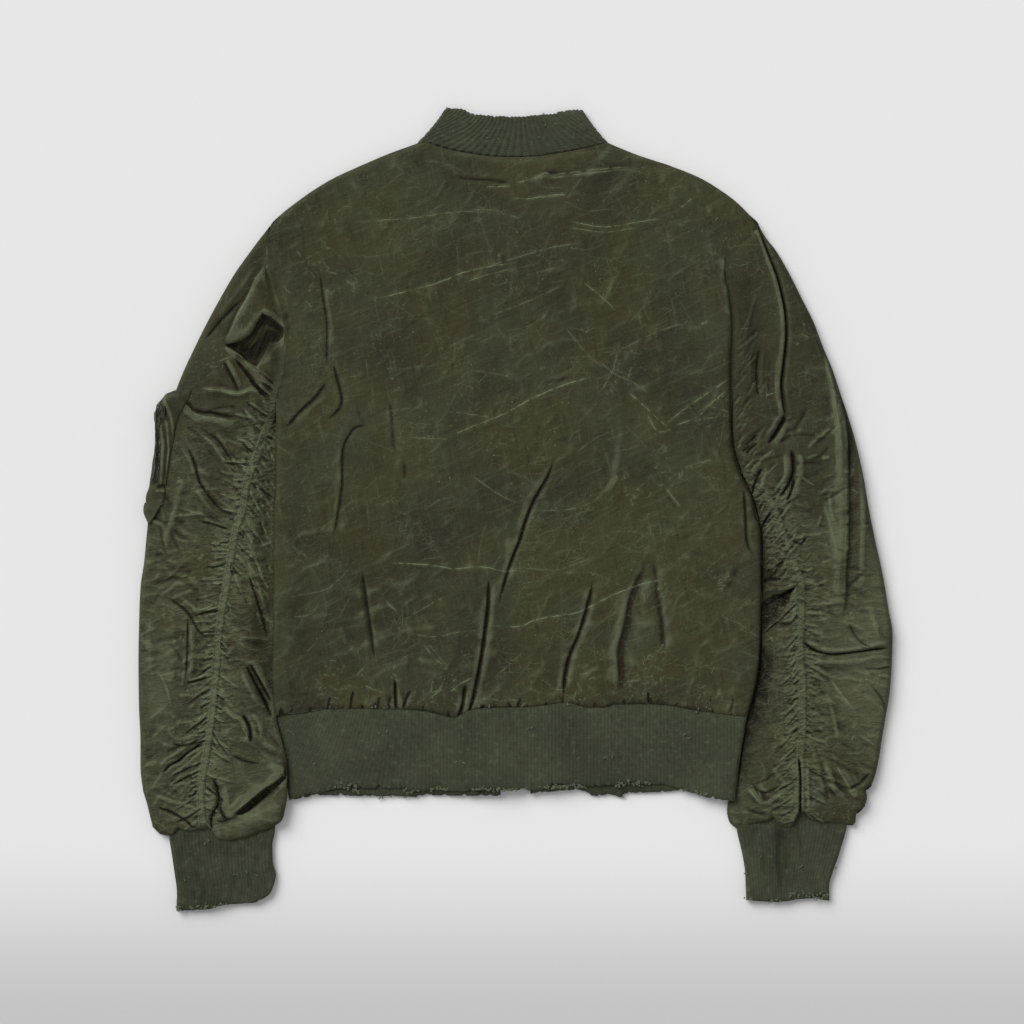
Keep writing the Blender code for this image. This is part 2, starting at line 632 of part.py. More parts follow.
def make_front_zip(cloth, metal):
    """Two tapes, the row of teeth between them, and the slider at the top with its pull."""
    low_y, top_y = HEM_FRONT_EDGE_Y, FRONT_NECK_LOW + COLLAR_FRONT_HEIGHT
    tape_z = ZIP_LIFT + 0.8
    near, far = CHAIN_HALF_WIDTH + METAL_ROOM, ZIP_HALF_WIDTH - SEAM_GAP / 2
    for name, side in (("zip_tape_left", -1), ("zip_tape_right", 1)):
        left, right = sorted((side * near, side * far))
        block(name, (left, low_y, tape_z), (right, top_y, tape_z + TAPE_THICKNESS), cloth)
    chain_z = tape_z + TAPE_THICKNESS / 2
    chain_low = (-CHAIN_HALF_WIDTH, low_y, chain_z - CHAIN_THICKNESS / 2)
    chain_high = (CHAIN_HALF_WIDTH, top_y, chain_z + CHAIN_THICKNESS / 2)
    block("zip_chain", chain_low, chain_high, metal)
    make_slider(top_y, chain_z, metal)


def make_slider(top_y, chain_z, metal):
    """The slider is a folded plate round the end of the teeth, with two lugs that carry the pull."""
    inside = CHAIN_THICKNESS / 2 + METAL_ROOM
    outside = inside + SLIDER_PLATE
    start, post, end = top_y - SLIDER_LENGTH, top_y + METAL_ROOM, top_y + SLIDER_END
    profile = (
        (start, chain_z - outside), (end, chain_z - outside),
        (end, chain_z + outside), (start, chain_z + outside),
        (start, chain_z + inside), (post, chain_z + inside),
        (post, chain_z - inside), (start, chain_z - inside),
    )
    slider = prism("zip_slider", profile, 0, -SLIDER_HALF_WIDTH, SLIDER_HALF_WIDTH, metal)
    axis_y, axis_z = top_y - SLIDER_END, chain_z - outside - METAL_ROOM - PULL_THICKNESS / 2
    for name, side in (("lug_left", -1), ("lug_right", 1)):
        near = PULL_HALF_WIDTH + METAL_ROOM
        left, right = sorted((side * near, side * (near + LUG_WIDTH)))
        low = (left, axis_y - LUG_HALF_LENGTH, axis_z - PULL_THICKNESS / 2)
        lug = block(name, low, (right, axis_y + LUG_HALF_LENGTH, chain_z - inside - LUG_SINK), metal)
        jacket.objects.unlink(lug)
        cutters.objects.link(lug)
        lug.hide_render = True
        lug.display_type = "WIRE"
        join = slider.modifiers.new(name, "BOOLEAN")
        join.operation = "UNION"
        join.object = lug
    make_pull(axis_y, axis_z, metal)


def make_pull(axis_y, axis_z, metal):
    """The pull tab turns about the line between the slider's lugs, where its origin is."""
    half = PULL_THICKNESS / 2
    pull = block("zip_pull", (-PULL_HALF_WIDTH, -PULL_LENGTH, -half), (PULL_HALF_WIDTH, half, half), metal)
    pull.location = Vector((0, axis_y, axis_z)) * MM
    rounded = pull.modifiers.new("rounded", "BEVEL")
    rounded.width = PULL_ROUNDING * MM
    rounded.segments = 2


def moved_out(points, distance):
    """A section's points moved out from the sleeve. It runs from on top, round the edge, to beneath."""
    moved = []
    for index, point in enumerate(points):
        before, after = points[max(index - 1, 0)], points[min(index + 1, len(points) - 1)]
        along = Vector((after.x - before.x, 0, after.z - before.z)).normalized()
        moved.append(point + Vector((along.z, 0, -along.x)) * distance)
    return moved


def sleeve_ring(rings, y):
    """The left sleeve's section at any y."""
    for above, below in zip(rings, rings[1:]):
        if below[0].y <= y <= above[0].y:
            share = (y - above[0].y) / (below[0].y - above[0].y)
            return [a.lerp(b, share) for a, b in zip(above, below)]
    return rings[-1]


def make_sleeve_pocket(rings, cloth, tape, metal):
    """The utility pocket follows the sections of the left sleeve, moved out, and its zip lies on it."""
    ys = [POCKET_TOP] + [ring[0].y for ring in rings if POCKET_LOW < ring[0].y < POCKET_TOP] + [POCKET_LOW]
    sections = [pocket_part(sleeve_ring(rings, y)) for y in ys]
    inner = [moved_out(part, POCKET_ROOM) for part in sections]
    outer = [moved_out(part, POCKET_ROOM + POCKET_THICKNESS) for part in sections]
    finish(wall_mesh("sleeve_pocket", outer, inner), cloth)

    zip_parts = [zip_part(part) for part in outer]
    zip_inner = [moved_out(part, POCKET_ROOM) for part in zip_parts]
    zip_outer = [moved_out(part, POCKET_ROOM + POCKET_ZIP_THICKNESS) for part in zip_parts]
    finish(wall_mesh("pocket_zip", zip_outer, zip_inner), tape)

    at_slider = sleeve_ring(zip_outer, POCKET_SLIDER_Y)
    x, z = at_slider[1].x, max(point.z for point in at_slider) + POCKET_ROOM
    half, length = POCKET_SLIDER_HALF_WIDTH, POCKET_SLIDER_LENGTH
    low = (x - half, POCKET_SLIDER_Y - length, z)
    block("pocket_slider", low, (x + half, POCKET_SLIDER_Y, z + POCKET_SLIDER_HEIGHT), metal)

    under_tab = [point.z for point in sleeve_ring(rings, TAB_CORNERS[2][1]) if point.x < TAB_CORNERS[2][0]]
    tab_z = max(under_tab) + POCKET_ROOM
    prism("pocket_tab", TAB_CORNERS, 2, tab_z, tab_z + TAB_THICKNESS, cloth)


def pocket_part(ring):
    """The part of a section of the sleeve that the pocket covers."""
    edge = min(range(len(ring)), key=lambda index: ring[index].x)
    x = ring[edge].x
    rounding = ring[edge - FOLD_STEPS:edge + FOLD_STEPS + 1]
    return [at_x(ring[:edge + 1], x + POCKET_OVER)] + rounding + [at_x(ring[edge:], x + POCKET_UNDER)]


def zip_part(part):
    """The part of a section of the pocket that its zip covers."""
    edge = min(range(len(part)), key=lambda index: part[index].x)
    upper, x = part[:edge + 1], part[edge].x
    reaches = (POCKET_ZIP_TO, (POCKET_ZIP_FROM + POCKET_ZIP_TO) / 2, POCKET_ZIP_FROM)
    return [at_x(upper, x + reach) for reach in reaches]


def at_x(points, x):
    """The point of a run of points where it passes x."""
    for a, b in zip(points, points[1:]):
        if min(a.x, b.x) <= x <= max(a.x, b.x) and a.x != b.x:
            return a.lerp(b, (x - a.x) / (b.x - a.x))
    return points[0]


for leftover in list(bpy.data.objects):
    bpy.data.objects.remove(leftover)
jacket = bpy.data.collections.new("bomber_jacket")
cutters = bpy.data.collections.new("cutters")
for group in (jacket, cutters):
    bpy.context.scene.collection.children.link(group)

waxed_cloth = new_material("waxed_cloth", (0.052, 0.056, 0.036), 0.62)
rib_knit = new_material("rib_knit", (0.050, 0.058, 0.036), 0.85)
zip_cloth = new_material("zip_cloth", (0.040, 0.045, 0.030), 0.8)
zip_metal = new_material("zip_metal", (0.42, 0.42, 0.40), 0.4, 1.0)

make_back(waxed_cloth)
make_front("front_left", -1, waxed_cloth)
make_front("front_right", 1, waxed_cloth)
left_rings = make_sleeve("sleeve_left", LEFT_SLEEVE, -1, waxed_cloth)
make_sleeve("sleeve_right", RIGHT_SLEEVE, 1, waxed_cloth)
make_cuff("cuff_left", LEFT_CUFF, rib_knit)
make_cuff("cuff_right", RIGHT_CUFF, rib_knit)
make_hem(rib_knit)
make_collar(rib_knit)
make_front_zip(zip_cloth, zip_metal)
make_sleeve_pocket(left_rings, waxed_cloth, zip_cloth, zip_metal)
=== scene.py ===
"""The looks of a waxed bomber jacket that lies flat with its back up. Tables are in millimetres."""
import math
from collections import namedtuple

import bpy
import numpy as np
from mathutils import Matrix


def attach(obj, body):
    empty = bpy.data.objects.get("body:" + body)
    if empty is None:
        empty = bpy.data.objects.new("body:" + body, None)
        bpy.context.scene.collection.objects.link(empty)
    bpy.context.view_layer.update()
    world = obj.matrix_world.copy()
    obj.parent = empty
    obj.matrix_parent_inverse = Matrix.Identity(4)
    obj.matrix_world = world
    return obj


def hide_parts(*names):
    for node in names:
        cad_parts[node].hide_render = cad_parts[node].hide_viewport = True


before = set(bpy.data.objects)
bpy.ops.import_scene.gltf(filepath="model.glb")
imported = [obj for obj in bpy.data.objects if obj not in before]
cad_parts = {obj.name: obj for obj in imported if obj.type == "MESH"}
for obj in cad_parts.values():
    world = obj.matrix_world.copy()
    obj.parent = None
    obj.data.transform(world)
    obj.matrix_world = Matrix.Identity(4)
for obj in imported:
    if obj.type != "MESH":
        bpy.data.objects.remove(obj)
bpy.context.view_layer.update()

# ------------------------------------------------------------------ the back
# The back is one panel of waxed cotton, bonded to its lining. It is gathered into the hem band below,
# folded over to the fronts along the sides and shoulders, and sewn to the sleeves at the armholes.

MM = 0.001
BODY_LEFT = (
    (-207, -241.0), (-165, -243.0), (-101, -242.0), (-11, -241.5), (29, -239.5), (109, -239.3),
    (139, -233.5), (164, -231.0), (189, -232.5), (209, -239.0), (247, -248.0), (264, -249.5),
    (277, -247.5), (283, -245.5), (295, -234.5), (307, -219.5), (319, -202.5), (331, -182.5),
    (343, -156.5), (355, -128.5), (366.5, -97.0),
)
BODY_RIGHT = (
    (-209, 231.0), (-197, 234.5), (-160, 242.5), (-134, 244.5), (-77, 245.3), (-21, 244.7),
    (-6, 239.5), (11, 236.3), (29, 227.2), (48, 219.5), (71, 215.5), (109, 214.8), (148, 214.8),
    (180, 216.3), (215, 213.4), (236, 209.7), (250, 210.0), (264, 219.5), (277, 235.0),
    (283, 243.5), (295, 233.5), (307, 221.5), (319, 205.5), (331, 185.5), (343, 156.5),
    (355, 120.5), (367, 91.5),
)
HEM_SEAM = (
    (-241, -207), (-234, -205.5), (-213.5, -204.4), (-187.6, -200.2), (-161.7, -199.6), (-121, -200.2),
    (-99, -201), (-78.5, -204.8), (-63.7, -208.5), (-56.3, -207.6), (-47, -203), (-28.6, -200.2),
    (8.4, -199.6), (34.5, -197), (49.2, -195), (71.5, -198.4), (88, -198.4), (99.2, -195.4),
    (130, -195.0), (147.3, -195.6), (169.5, -199.3), (193.5, -204), (206.5, -206.7), (231, -209),
)
NECK_SEAM = (
    (-97, 366.5), (-88, 365.8), (-77, 362.7), (-65, 359.2), (-45, 355.5), (-26.7, 353.0), (-11.5, 352.0),
    (4, 352.0), (22.3, 352.8), (37.5, 355.0), (53, 357.4), (68, 360.4), (85, 364.7), (91.5, 367.0),
)
LEFT_OUTLINE = (
    (-305, -366.5), (-293, -369.5), (-281, -373.0), (-257, -375.5), (-233, -375.5), (-197, -377.0),
    (-155, -377.5), (-101, -376.5), (-77, -375.3), (-53, -371.8), (-29, -369.5), (-5, -367.0),
    (19, -364.5), (43, -362.0), (67, -358.5), (91, -353.5), (103, -347.0), (115, -341.0),
    (127, -336.5), (139, -331.5), (163, -320.5), (187, -308.5), (211, -295.5), (235, -281.5),
    (259, -264.5), (271, -255.5), (283, -245.8),
)
RIGHT_OUTLINE = (
    (-312, 340.5), (-305, 341.0), (-297, 349.5), (-288, 352.0), (-281, 350.5), (-277, 356.0), (-257, 362.5),
    (-233, 366.5), (-209, 370.5), (-185, 374.5), (-160, 376.5), (-125, 377.5), (-101, 373.5), (-65, 367.5),
    (-29, 359.5), (7, 352.5), (31, 348.5), (67, 340.5), (91, 333.5), (115, 325.5), (139, 317.5),
    (163, 307.5), (187, 298.5), (211, 286.5), (235, 274.5), (259, 260.5), (271, 251.0), (283, 243.8),
)
SHOULDER = 283                   # from this y up, the outline is the shoulder's
UNDERARM_LEFT = 109
RIGHT_FOLD_TOP = 250             # where the fold of the right side ends, high up the armhole
BACK_WIDE, BACK_LONG = 486, 573
BACK_TOP = 10.6                  # height of the back where it lies on the fronts
SEAM_DIP = 7.4                   # height of the sewn hem and neck seams
EDGE_ROLL, RIGHT_ROLL = 5.5, 5.0     # how far in a folded edge is rounded
PLEATS_FROM, PLEATS_TO = HEM_SEAM[0][0] + 5, HEM_SEAM[-1][0] - 4
# How much higher the back lies at its side edges, over the tucked sleeves, and half way up its folds.
LEFT_RAISE = ((-207, 0.6), (-165, 3.2), (90, 3.0), (112, 0.0))
RIGHT_RAISE = ((-209, 4.2), (29, 3.8), (109, 3.4), (200, 2.6), (250, 0.0))
LEFT_MIDDLE = ((-207, 5.5), (-165, 8.8), (96, 8.8), (112, 5.0), (283, 3.8))
RIGHT_MIDDLE = ((-209, 9.0), (29, 9.0), (200, 7.8), (255, 6.0), (283, 3.8))

# A fold of the cloth: how high it stands, or how deep with a negative height, how far it reaches to the
# left and to the right of its path, over which share of its path it runs out, and how sharp it is (1
# is a sharp crease and 2 a soft one).
Fold = namedtuple("Fold", "height left right path ends sharpness", defaults=(0.3, 2.0))
BACK_FOLDS = (
    Fold(-2.9, 1.4, 1.3, ((40.5, 54), (32.5, 33), (19.5, 10), (10.5, -11), (4.5, -31), (-2.5, -48),
        (-10.5, -72), (-17.5, -101)), 0.25, 1.3),
    Fold(0.5, 3, 13, ((40.5, 54), (19.5, 10), (4.5, -31), (-10.5, -72), (-17.5, -101))),
    Fold(-3.6, 1.5, 1.4, ((-26.5, -64), (-27.5, -96), (-30.5, -123), (-34.5, -151), (-39.5, -177),
        (-45.5, -199)), 0.22, 1.3),
    Fold(0.5, 12, 3, ((-26.5, -64), (-30.5, -123), (-39.5, -177), (-45.5, -199))),
    Fold(-3.6, 1.4, 1.2, ((-50.5, -175), (-52.5, -195), (-57.5, -209)), 0.2, 1.3),
    Fold(-3, 1.2, 1.1, ((-39.5, -181), (-44.5, -197), (-46.5, -203)), 0.2, 1.4),
    Fold(1, 2.4, 2.4, ((-47.5, -181), (-48.5, -197))),
    Fold(-2.2, 1, 1, ((-31.5, -195), (-33.5, -200), (-41.5, -202)), 0.25, 1.5),
    Fold(-1.8, 1, 1, ((5.5, -189), (1.5, -199)), 0.3, 1.5),
    Fold(-1.8, 1, 1, ((132.5, -181), (133.5, -195)), 0.3, 1.5),
    Fold(-1.6, 1.3, 3.4, ((-153.5, -57), (-149.5, -87), (-144.5, -121), (-140.5, -153)), 0.25, 1.5),
    Fold(0.35, 3, 12, ((-153.5, -57), (-149.5, -87), (-144.5, -121), (-140.5, -153))),
    Fold(-3.4, 1, 1, ((-120.5, -169), (-119.5, -202)), 0.2, 1.5),
    Fold(-1.9, 1, 1, ((-104.5, -181), (-108.5, -188), (-112.5, -200)), 0.25, 1.4),
    Fold(-1.3, 1.6, 1.5, ((-195.5, 239), (-192.5, 214), (-188.5, 186), (-188.5, 160), (-188.5, 141)), 0.2,
        1.4),
    Fold(0.6, 9, 2, ((-195.5, 239), (-188.5, 186), (-188.5, 141))),
    Fold(-1.5, 1.6, 1.5, ((-183.5, 148), (-178.5, 131), (-173.5, 107), (-180.5, 95), (-189.5, 89)), 0.2,
        1.4),
    Fold(-1.8, 1.8, 1.6, ((-187.5, 128), (-200.5, 111), (-215.5, 97), (-225.5, 85), (-232.5, 81)), 0.2,
        1.4),
    Fold(-1.5, 1.8, 1.7, ((-143.5, 83), (-158.5, 82), (-166.5, 73), (-172.5, 58), (-173.5, 22),
        (-179.5, -17), (-182.5, -31)), 0.15, 1.4),
    Fold(0.7, 2, 11, ((-166.5, 73), (-172.5, 58), (-173.5, 22), (-182.5, -31))),
    Fold(-1.2, 1.8, 1.6, ((-126.5, 113), (-123.5, 91), (-122.5, 71), (-119.5, 50)), 0.25, 1.4),
    Fold(-0.6, 2.5, 2.5, ((-111.5, 53), (-110.5, 25)), 0.4),
    Fold(-2.8, 1.8, 1.6, ((78.5, -69), (71.5, -99), (62.5, -127), (54.5, -146), (49.5, -168),
        (47.5, -195)), 0.22, 1.4),
    Fold(0.6, 12, 3, ((78.5, -69), (62.5, -127), (47.5, -195))),
    Fold(-2.8, 7, 2.4, ((132.5, -47), (121.5, -73), (113.5, -96), (110.5, -114), (103.5, -142),
        (104.5, -164), (102.5, -195)), 0.25, 1.6),
    Fold(0.7, 3, 13, ((121.5, -73), (110.5, -114), (103.5, -142), (102.5, -195))),
    Fold(-1.5, 1.8, 7, ((137.5, -40), (141.5, -77), (147.5, -123), (147.5, -151), (143.5, -162)), 0.25,
        1.6),
    Fold(-0.8, 4, 4, ((223.5, -42), (217.5, -68), (204.5, -93)), 0.4),
    Fold(1.2, 16, 12, ((76.5, -131), (74.5, -163), (76.5, -195)), 0.5),
    Fold(0.9, 14, 14, ((24.5, -131), (16.5, -167), (14.5, -197)), 0.5),
    Fold(0.8, 12, 16, ((-83.5, -131), (-85.5, -167), (-81.5, -199)), 0.5),
    Fold(-1.1, 1.3, 1.3, ((-66.5, 333), (-47.5, 330), (-30.5, 329), (-0.5, 326)), 0.25, 1.4),
    Fold(-1.2, 1.8, 1.8, ((21.5, 333), (29.5, 337), (44.5, 335), (74.5, 339)), 0.3, 1.4),
    Fold(0.6, 2.2, 2.2, ((-3.5, 325), (24.5, 331), (84.5, 337), (124.5, 343))),
    Fold(-0.5, 3, 3, ((74.5, 337), (124.5, 345), (174.5, 341)), 0.4),
    Fold(-1.9, 1.2, 1.2, ((227.5, 23), (229.5, -6), (230.5, -29), (232.5, -38), (238.5, -47)), 0.25, 1.4),
    Fold(1.2, 3, 6, ((205.5, 265), (208.5, 239), (211.5, 218), (215.5, 179))),
    Fold(-0.9, 1.2, 2.4, ((24.5, 124), (44.5, 130), (59.5, 133)), 0.4),
    Fold(-0.8, 1.4, 1.4, ((130.5, 101), (140.5, 92), (150.5, 83)), 0.3, 1.4),
    Fold(-0.7, 1.4, 1.4, ((145.5, 21), (162.5, -2)), 0.3, 1.4),
    Fold(0.8, 6, 6, ((110.5, 109), (101.5, 56), (95.5, 14), (99.5, -11))),
    Fold(-1.3, 18, 12, ((-215.5, -51), (-213.5, -111), (-205.5, -181)), 0.5),
    Fold(0.6, 10, 10, ((190.5, -51), (186.5, -111), (196.5, -181)), 0.5),
)

# A crack in the wax: how white it has gone, and its path.
Crack = namedtuple("Crack", "strength path")
BACK_CRACKS = (
    Crack(0.9, ((-141.5, 210), (-115.5, 216), (-91.5, 222), (-67.5, 230), (-57.5, 235), (-28.5, 242),
        (6.5, 247))),
    Crack(0.5, ((-53.5, 226), (-28.5, 234), (-1.5, 241))),
    Crack(0.5, ((-171.5, 286), (-103.5, 291), (-68.5, 296), (-25.5, 299))),
    Crack(0.5, ((-47.5, 300), (-24.5, 299), (-10.5, 295), (6.5, 290))),
    Crack(1, ((-39.5, 84), (-14.5, 94), (17.5, 111), (44.5, 123), (78.5, 133))),
    Crack(0.7, ((-60.5, 75), (-35.5, 86))),
    Crack(0.6, ((-60.5, 97), (-25.5, 92))),
    Crack(0.5, ((-45.5, 237), (-3.5, 250), (38.5, 262), (68.5, 266))),
    Crack(0.7, ((52.5, 288), (88.5, 282), (122.5, 287), (148.5, 291))),
    Crack(0.5, ((50.5, 282), (88.5, 277), (124.5, 282))),
    Crack(0.8, ((-5.5, 311), (13.5, 310), (27.5, 313), (52.5, 315))),
    Crack(0.7, ((164.5, 301), (176.5, 311))),
    Crack(0.6, ((67.5, 227), (88.5, 210), (102.5, 196))),
    Crack(0.5, ((80.5, 151), (97.5, 136), (118.5, 126), (133.5, 115))),
    Crack(0.4, ((88.5, 151), (114.5, 164), (143.5, 178), (177.5, 189))),
    Crack(0.4, ((48.5, 183), (71.5, 155), (89.5, 140))),
    Crack(0.4, ((-24.5, 193), (17.5, 210), (49.5, 225))),
    Crack(0.9, ((111.5, 118), (128.5, 103), (152.5, 81))),
    Crack(0.8, ((130.5, 96), (142.5, 77), (156.5, 81))),
    Crack(0.8, ((149.5, 85), (175.5, 105), (196.5, 119), (212.5, 130))),
    Crack(0.8, ((156.5, 83), (181.5, 92), (198.5, 109), (212.5, 119))),
    Crack(0.5, ((-45.5, 35), (-18.5, 16), (3.5, 5))),
    Crack(0.5, ((17.5, -2), (42.5, -1), (59.5, 1), (78.5, 8), (91.5, 21))),
    Crack(0.6, ((148.5, 23), (165.5, 1))),
    Crack(0.5, ((166.5, 41), (196.5, 50))),
    Crack(0.9, ((-132.5, -53), (-84.5, -56), (-60.5, -60), (-47.5, -58), (-28.5, -58), (-12.5, -62),
        (10.5, -60))),
    Crack(0.5, ((-110.5, -124), (-89.5, -127), (-74.5, -127), (-58.5, -123), (-33.5, -121))),
    Crack(0.9, ((-27.5, -116), (-12.5, -117), (4.5, -117), (21.5, -110), (52.5, -105), (67.5, -101),
        (88.5, -90), (113.5, -79), (141.5, -71), (157.5, -70))),
    Crack(0.7, ((-93.5, -134), (-80.5, -149), (-66.5, -161))),
    Crack(0.5, ((-87.5, -134), (-67.5, -158))),
    Crack(0.9, ((-151.5, -176), (-131.5, -184))),
    Crack(0.6, ((-93.5, -190), (-80.5, -186), (-71.5, -171))),
    Crack(0.8, ((-65.5, -183), (-54.5, -174), (-42.5, -168))),
    Crack(0.4, ((-226.5, -88), (-191.5, -81), (-176.5, -70), (-163.5, -58))),
    Crack(0.4, ((-224.5, -108), (-204.5, -105), (-196.5, -93))),
    Crack(0.6, ((-129.5, -93), (-118.5, -102))),
    Crack(0.4, ((-112.5, -111), (-69.5, -86))),
    Crack(0.6, ((-38.5, -188), (-15.5, -191), (3.5, -190))),
    Crack(0.3, ((-32.5, -179), (8.5, -142))),
    Crack(0.4, ((-15.5, -61), (8.5, -59), (39.5, -61), (58.5, -55), (81.5, -47))),
    Crack(0.6, ((200.5, -75), (216.5, -69))),
    Crack(0.7, ((-29.5, 322), (-4.5, 323))),
    Crack(0.8, ((-1.5, 326), (14.5, 329), (29.5, 336), (35.5, 335))),
    Crack(0.6, ((35.5, 334), (74.5, 339), (115.5, 342))),
    Crack(0.6, ((29.5, 330), (74.5, 336), (115.5, 340))),
    Crack(0.5, ((4.5, 309), (29.5, 312), (52.5, 314))),
    Crack(0.5, ((-115.5, 72), (-65.5, 70))),
    Crack(0.5, ((104.5, 169), (96.5, 137), (84.5, 117))),
    Crack(0.6, ((168.5, -207), (193.5, -208), (215.5, -208), (230.5, -210))),
    Crack(0.5, ((-233.5, -205), (-213.5, -203), (-187.5, -199))),
)
# Strokes of fading and painted highlight, above 0, and of grime and painted shade, below 0, written like
# folds.
BACK_TINTS = (
    Fold(0.35, 4, 4, ((-91.5, 359), (-65.5, 356), (-25.5, 350), (3.5, 347), (34.5, 350), (74.5, 357),
        (96.5, 362)), 0.2),
    Fold(0.3, 3, 3, ((-79.5, 392), (-90.5, 369), (-135.5, 346), (-175.5, 329)), 0.2),
    Fold(-0.35, 14, 26, ((-15.5, 314), (44.5, 319), (104.5, 309), (164.5, 274))),
    Fold(-0.25, 24, 24, ((-45.5, 269), (14.5, 274), (74.5, 277)), 0.4),
    Fold(-0.3, 16, 16, ((-215.5, -51), (-211.5, -111), (-203.5, -181))),
    Fold(-0.4, 12, 12, ((222.5, 149), (222.5, 109), (218.5, 69))),
    Fold(0.2, 10, 10, ((-123.5, 109), (-121.5, 69), (-117.5, 39))),
    Fold(0.35, 1.4, 1.4, ((206.5, 247), (211.5, 219), (214.5, 179), (214.5, 133), (213.5, 89),
        (215.5, 51)), 0.15),
    Fold(0.3, 1.4, 1.4, ((242.5, -21), (243.5, -51), (243.5, -111), (241.5, -141), (236.5, -181),
        (232.5, -203)), 0.15),
    Fold(-0.25, 12, 12, ((224.5, 29), (228.5, -31), (226.5, -91))),
)
# Scuffs are knots of short cracks: place, reach and how many.
Scuff = namedtuple("Scuff", "x y reach count")
BACK_SCUFFS = (
    Scuff(-193, 248, 3, 2), Scuff(-193, 263, 3, 2), Scuff(-165, 225, 3, 2), Scuff(-139, 210, 3, 2),
    Scuff(-142, 173, 3, 2), Scuff(-160, 157, 5, 3), Scuff(-125, 138, 6, 5), Scuff(-119, 120, 4, 2),
    Scuff(-145, 60, 3, 2), Scuff(-160, 59, 3, 2), Scuff(-188, 118, 3, 2), Scuff(-225, 174, 3, 2),
    Scuff(-227, 2, 3, 2), Scuff(-16, 253, 4, 3), Scuff(-19, 234, 4, 3), Scuff(78, 244, 4, 2),
    Scuff(50, 239, 4, 2), Scuff(-7, 136, 4, 2), Scuff(76, 186, 4, 2), Scuff(27, 142, 4, 2),
    Scuff(112, 20, 16, 26), Scuff(155, 36, 14, 16), Scuff(142, 58, 10, 9), Scuff(145, -78, 12, 14),
    Scuff(134, -172, 28, 40), Scuff(205, -74, 10, 8), Scuff(188, 184, 8, 6), Scuff(100, 130, 22, 18),
    Scuff(-175, -176, 30, 30), Scuff(-120, -160, 14, 9), Scuff(-80, -180, 30, 16), Scuff(60, -178, 30, 20),
    Scuff(0, -188, 30, 14), Scuff(190, -180, 24, 16), Scuff(200, 100, 22, 12), Scuff(-200, 230, 30, 30),
)


def smooth(share):
    """A soft step from 0 to 1."""
    share = np.clip(share, 0.0, 1.0)
    return share * share * (3 - 2 * share)


def flow(table, at):
    """Reads a table of (place, value) rows along a soft curve that never overshoots."""
    places, values = np.array(sorted(table), float).T
    slopes = np.diff(values) / np.diff(places)
    product = slopes[:-1] * slopes[1:]
    inner = np.divide(2 * product, slopes[:-1] + slopes[1:], out=np.zeros_like(product), where=product > 0)
    slopes = np.concatenate((slopes[:1], inner, slopes[-1:]))
    at = np.clip(at, places[0], places[-1])
    before = np.clip(np.searchsorted(places, at) - 1, 0, len(places) - 2)
    gap = places[before + 1] - places[before]
    t = (at - places[before]) / gap
    start = (1 + 2 * t) * (1 - t) ** 2 * values[before] + t * (1 - t) ** 2 * gap * slopes[before]
    end = t * t * (3 - 2 * t) * values[before + 1] - t * t * (1 - t) * gap * slopes[before + 1]
    return start + end


def curve(points, step=3.0):
    """Points on a soft curve through a few given ones, about a step apart."""
    given = np.array(points, float)
    given = np.vstack((2 * given[0] - given[1], given, 2 * given[-1] - given[-2]))
    made = [given[1:2]]
    for a, b, c, d in zip(given, given[1:], given[2:], given[3:]):
        count = max(1, round(math.dist(b, c) / step))
        t = np.linspace(0, 1, count + 1)[1:, None]
        made.append(b + 0.5 * t * (c - a + t * (2 * a - 5 * b + 4 * c - d + t * (3 * b - 3 * c + d - a))))
    return np.vstack(made)


def outline_path(table):
    """A (y, x) table as a path of points (x, y), 4 mm apart."""
    y = np.arange(table[0][0], table[-1][0] + 4, 4.0).clip(max=table[-1][0])
    return np.column_stack((flow(table, y), y))


def nearest(x, y, path):
    """How far points lie from a path, more than 0 on its left, and the share of its length there."""
    away, share, side = np.full(x.shape, 1e6), np.zeros(x.shape), np.ones(x.shape)
    steps = np.diff(path, axis=0)
    lengths = np.maximum(np.hypot(*steps.T), 1e-6)
    starts = np.concatenate(([0.0], np.cumsum(lengths)))
    for (start_x, start_y), (dx, dy), length, start in zip(path, steps, lengths, starts):
        rx, ry = x - start_x, y - start_y
        t = np.clip((rx * dx + ry * dy) / length**2, 0, 1)
        here = np.hypot(rx - t * dx, ry - t * dy)
        closer = here < away
        away[closer] = here[closer]
        share[closer] = (start + t[closer] * length) / starts[-1]
        side[closer] = np.where(dx * ry < dy * rx, -1, 1)[closer]
    return away * side, share


def near_path(x, y, path, reach):
    """Which points lie in the box round a path, grown by a reach."""
    low, high = path.min(axis=0) - reach, path.max(axis=0) + reach
    return (x > low[0]) & (x < high[0]) & (y > low[1]) & (y < high[1])


def relief(x, y, folds):
    """The height that folds add at points."""
    total = np.zeros(x.shape)
    for fold in folds:
        path = curve(fold.path)
        near = near_path(x, y, path, 2.6 * max(fold.left, fold.right))
        if near.any():
            away, share = nearest(x[near], y[near], path)
            width = np.where(away > 0, fold.left, fold.right)
            ends = smooth(share / fold.ends) * smooth((1 - share) / fold.ends)
            total[near] += fold.height * ends * np.exp(-np.abs(away / width) ** fold.sharpness)
    return total


def ripple(x, y, size, seed, waves=8):
    """Gentle uneven waves, about a size across and from -1 to 1."""
    rng = np.random.default_rng(seed)
    total = np.zeros(np.shape(x))
    for turn, phase, scale in rng.uniform((0, 0, 0.6), (2 * math.pi, 2 * math.pi, 1.7), (waves, 3)):
        along = x * math.cos(turn) + y * math.sin(turn)
        total += np.sin(2 * math.pi * along / (size * scale) + phase)
    return total / waves**0.5


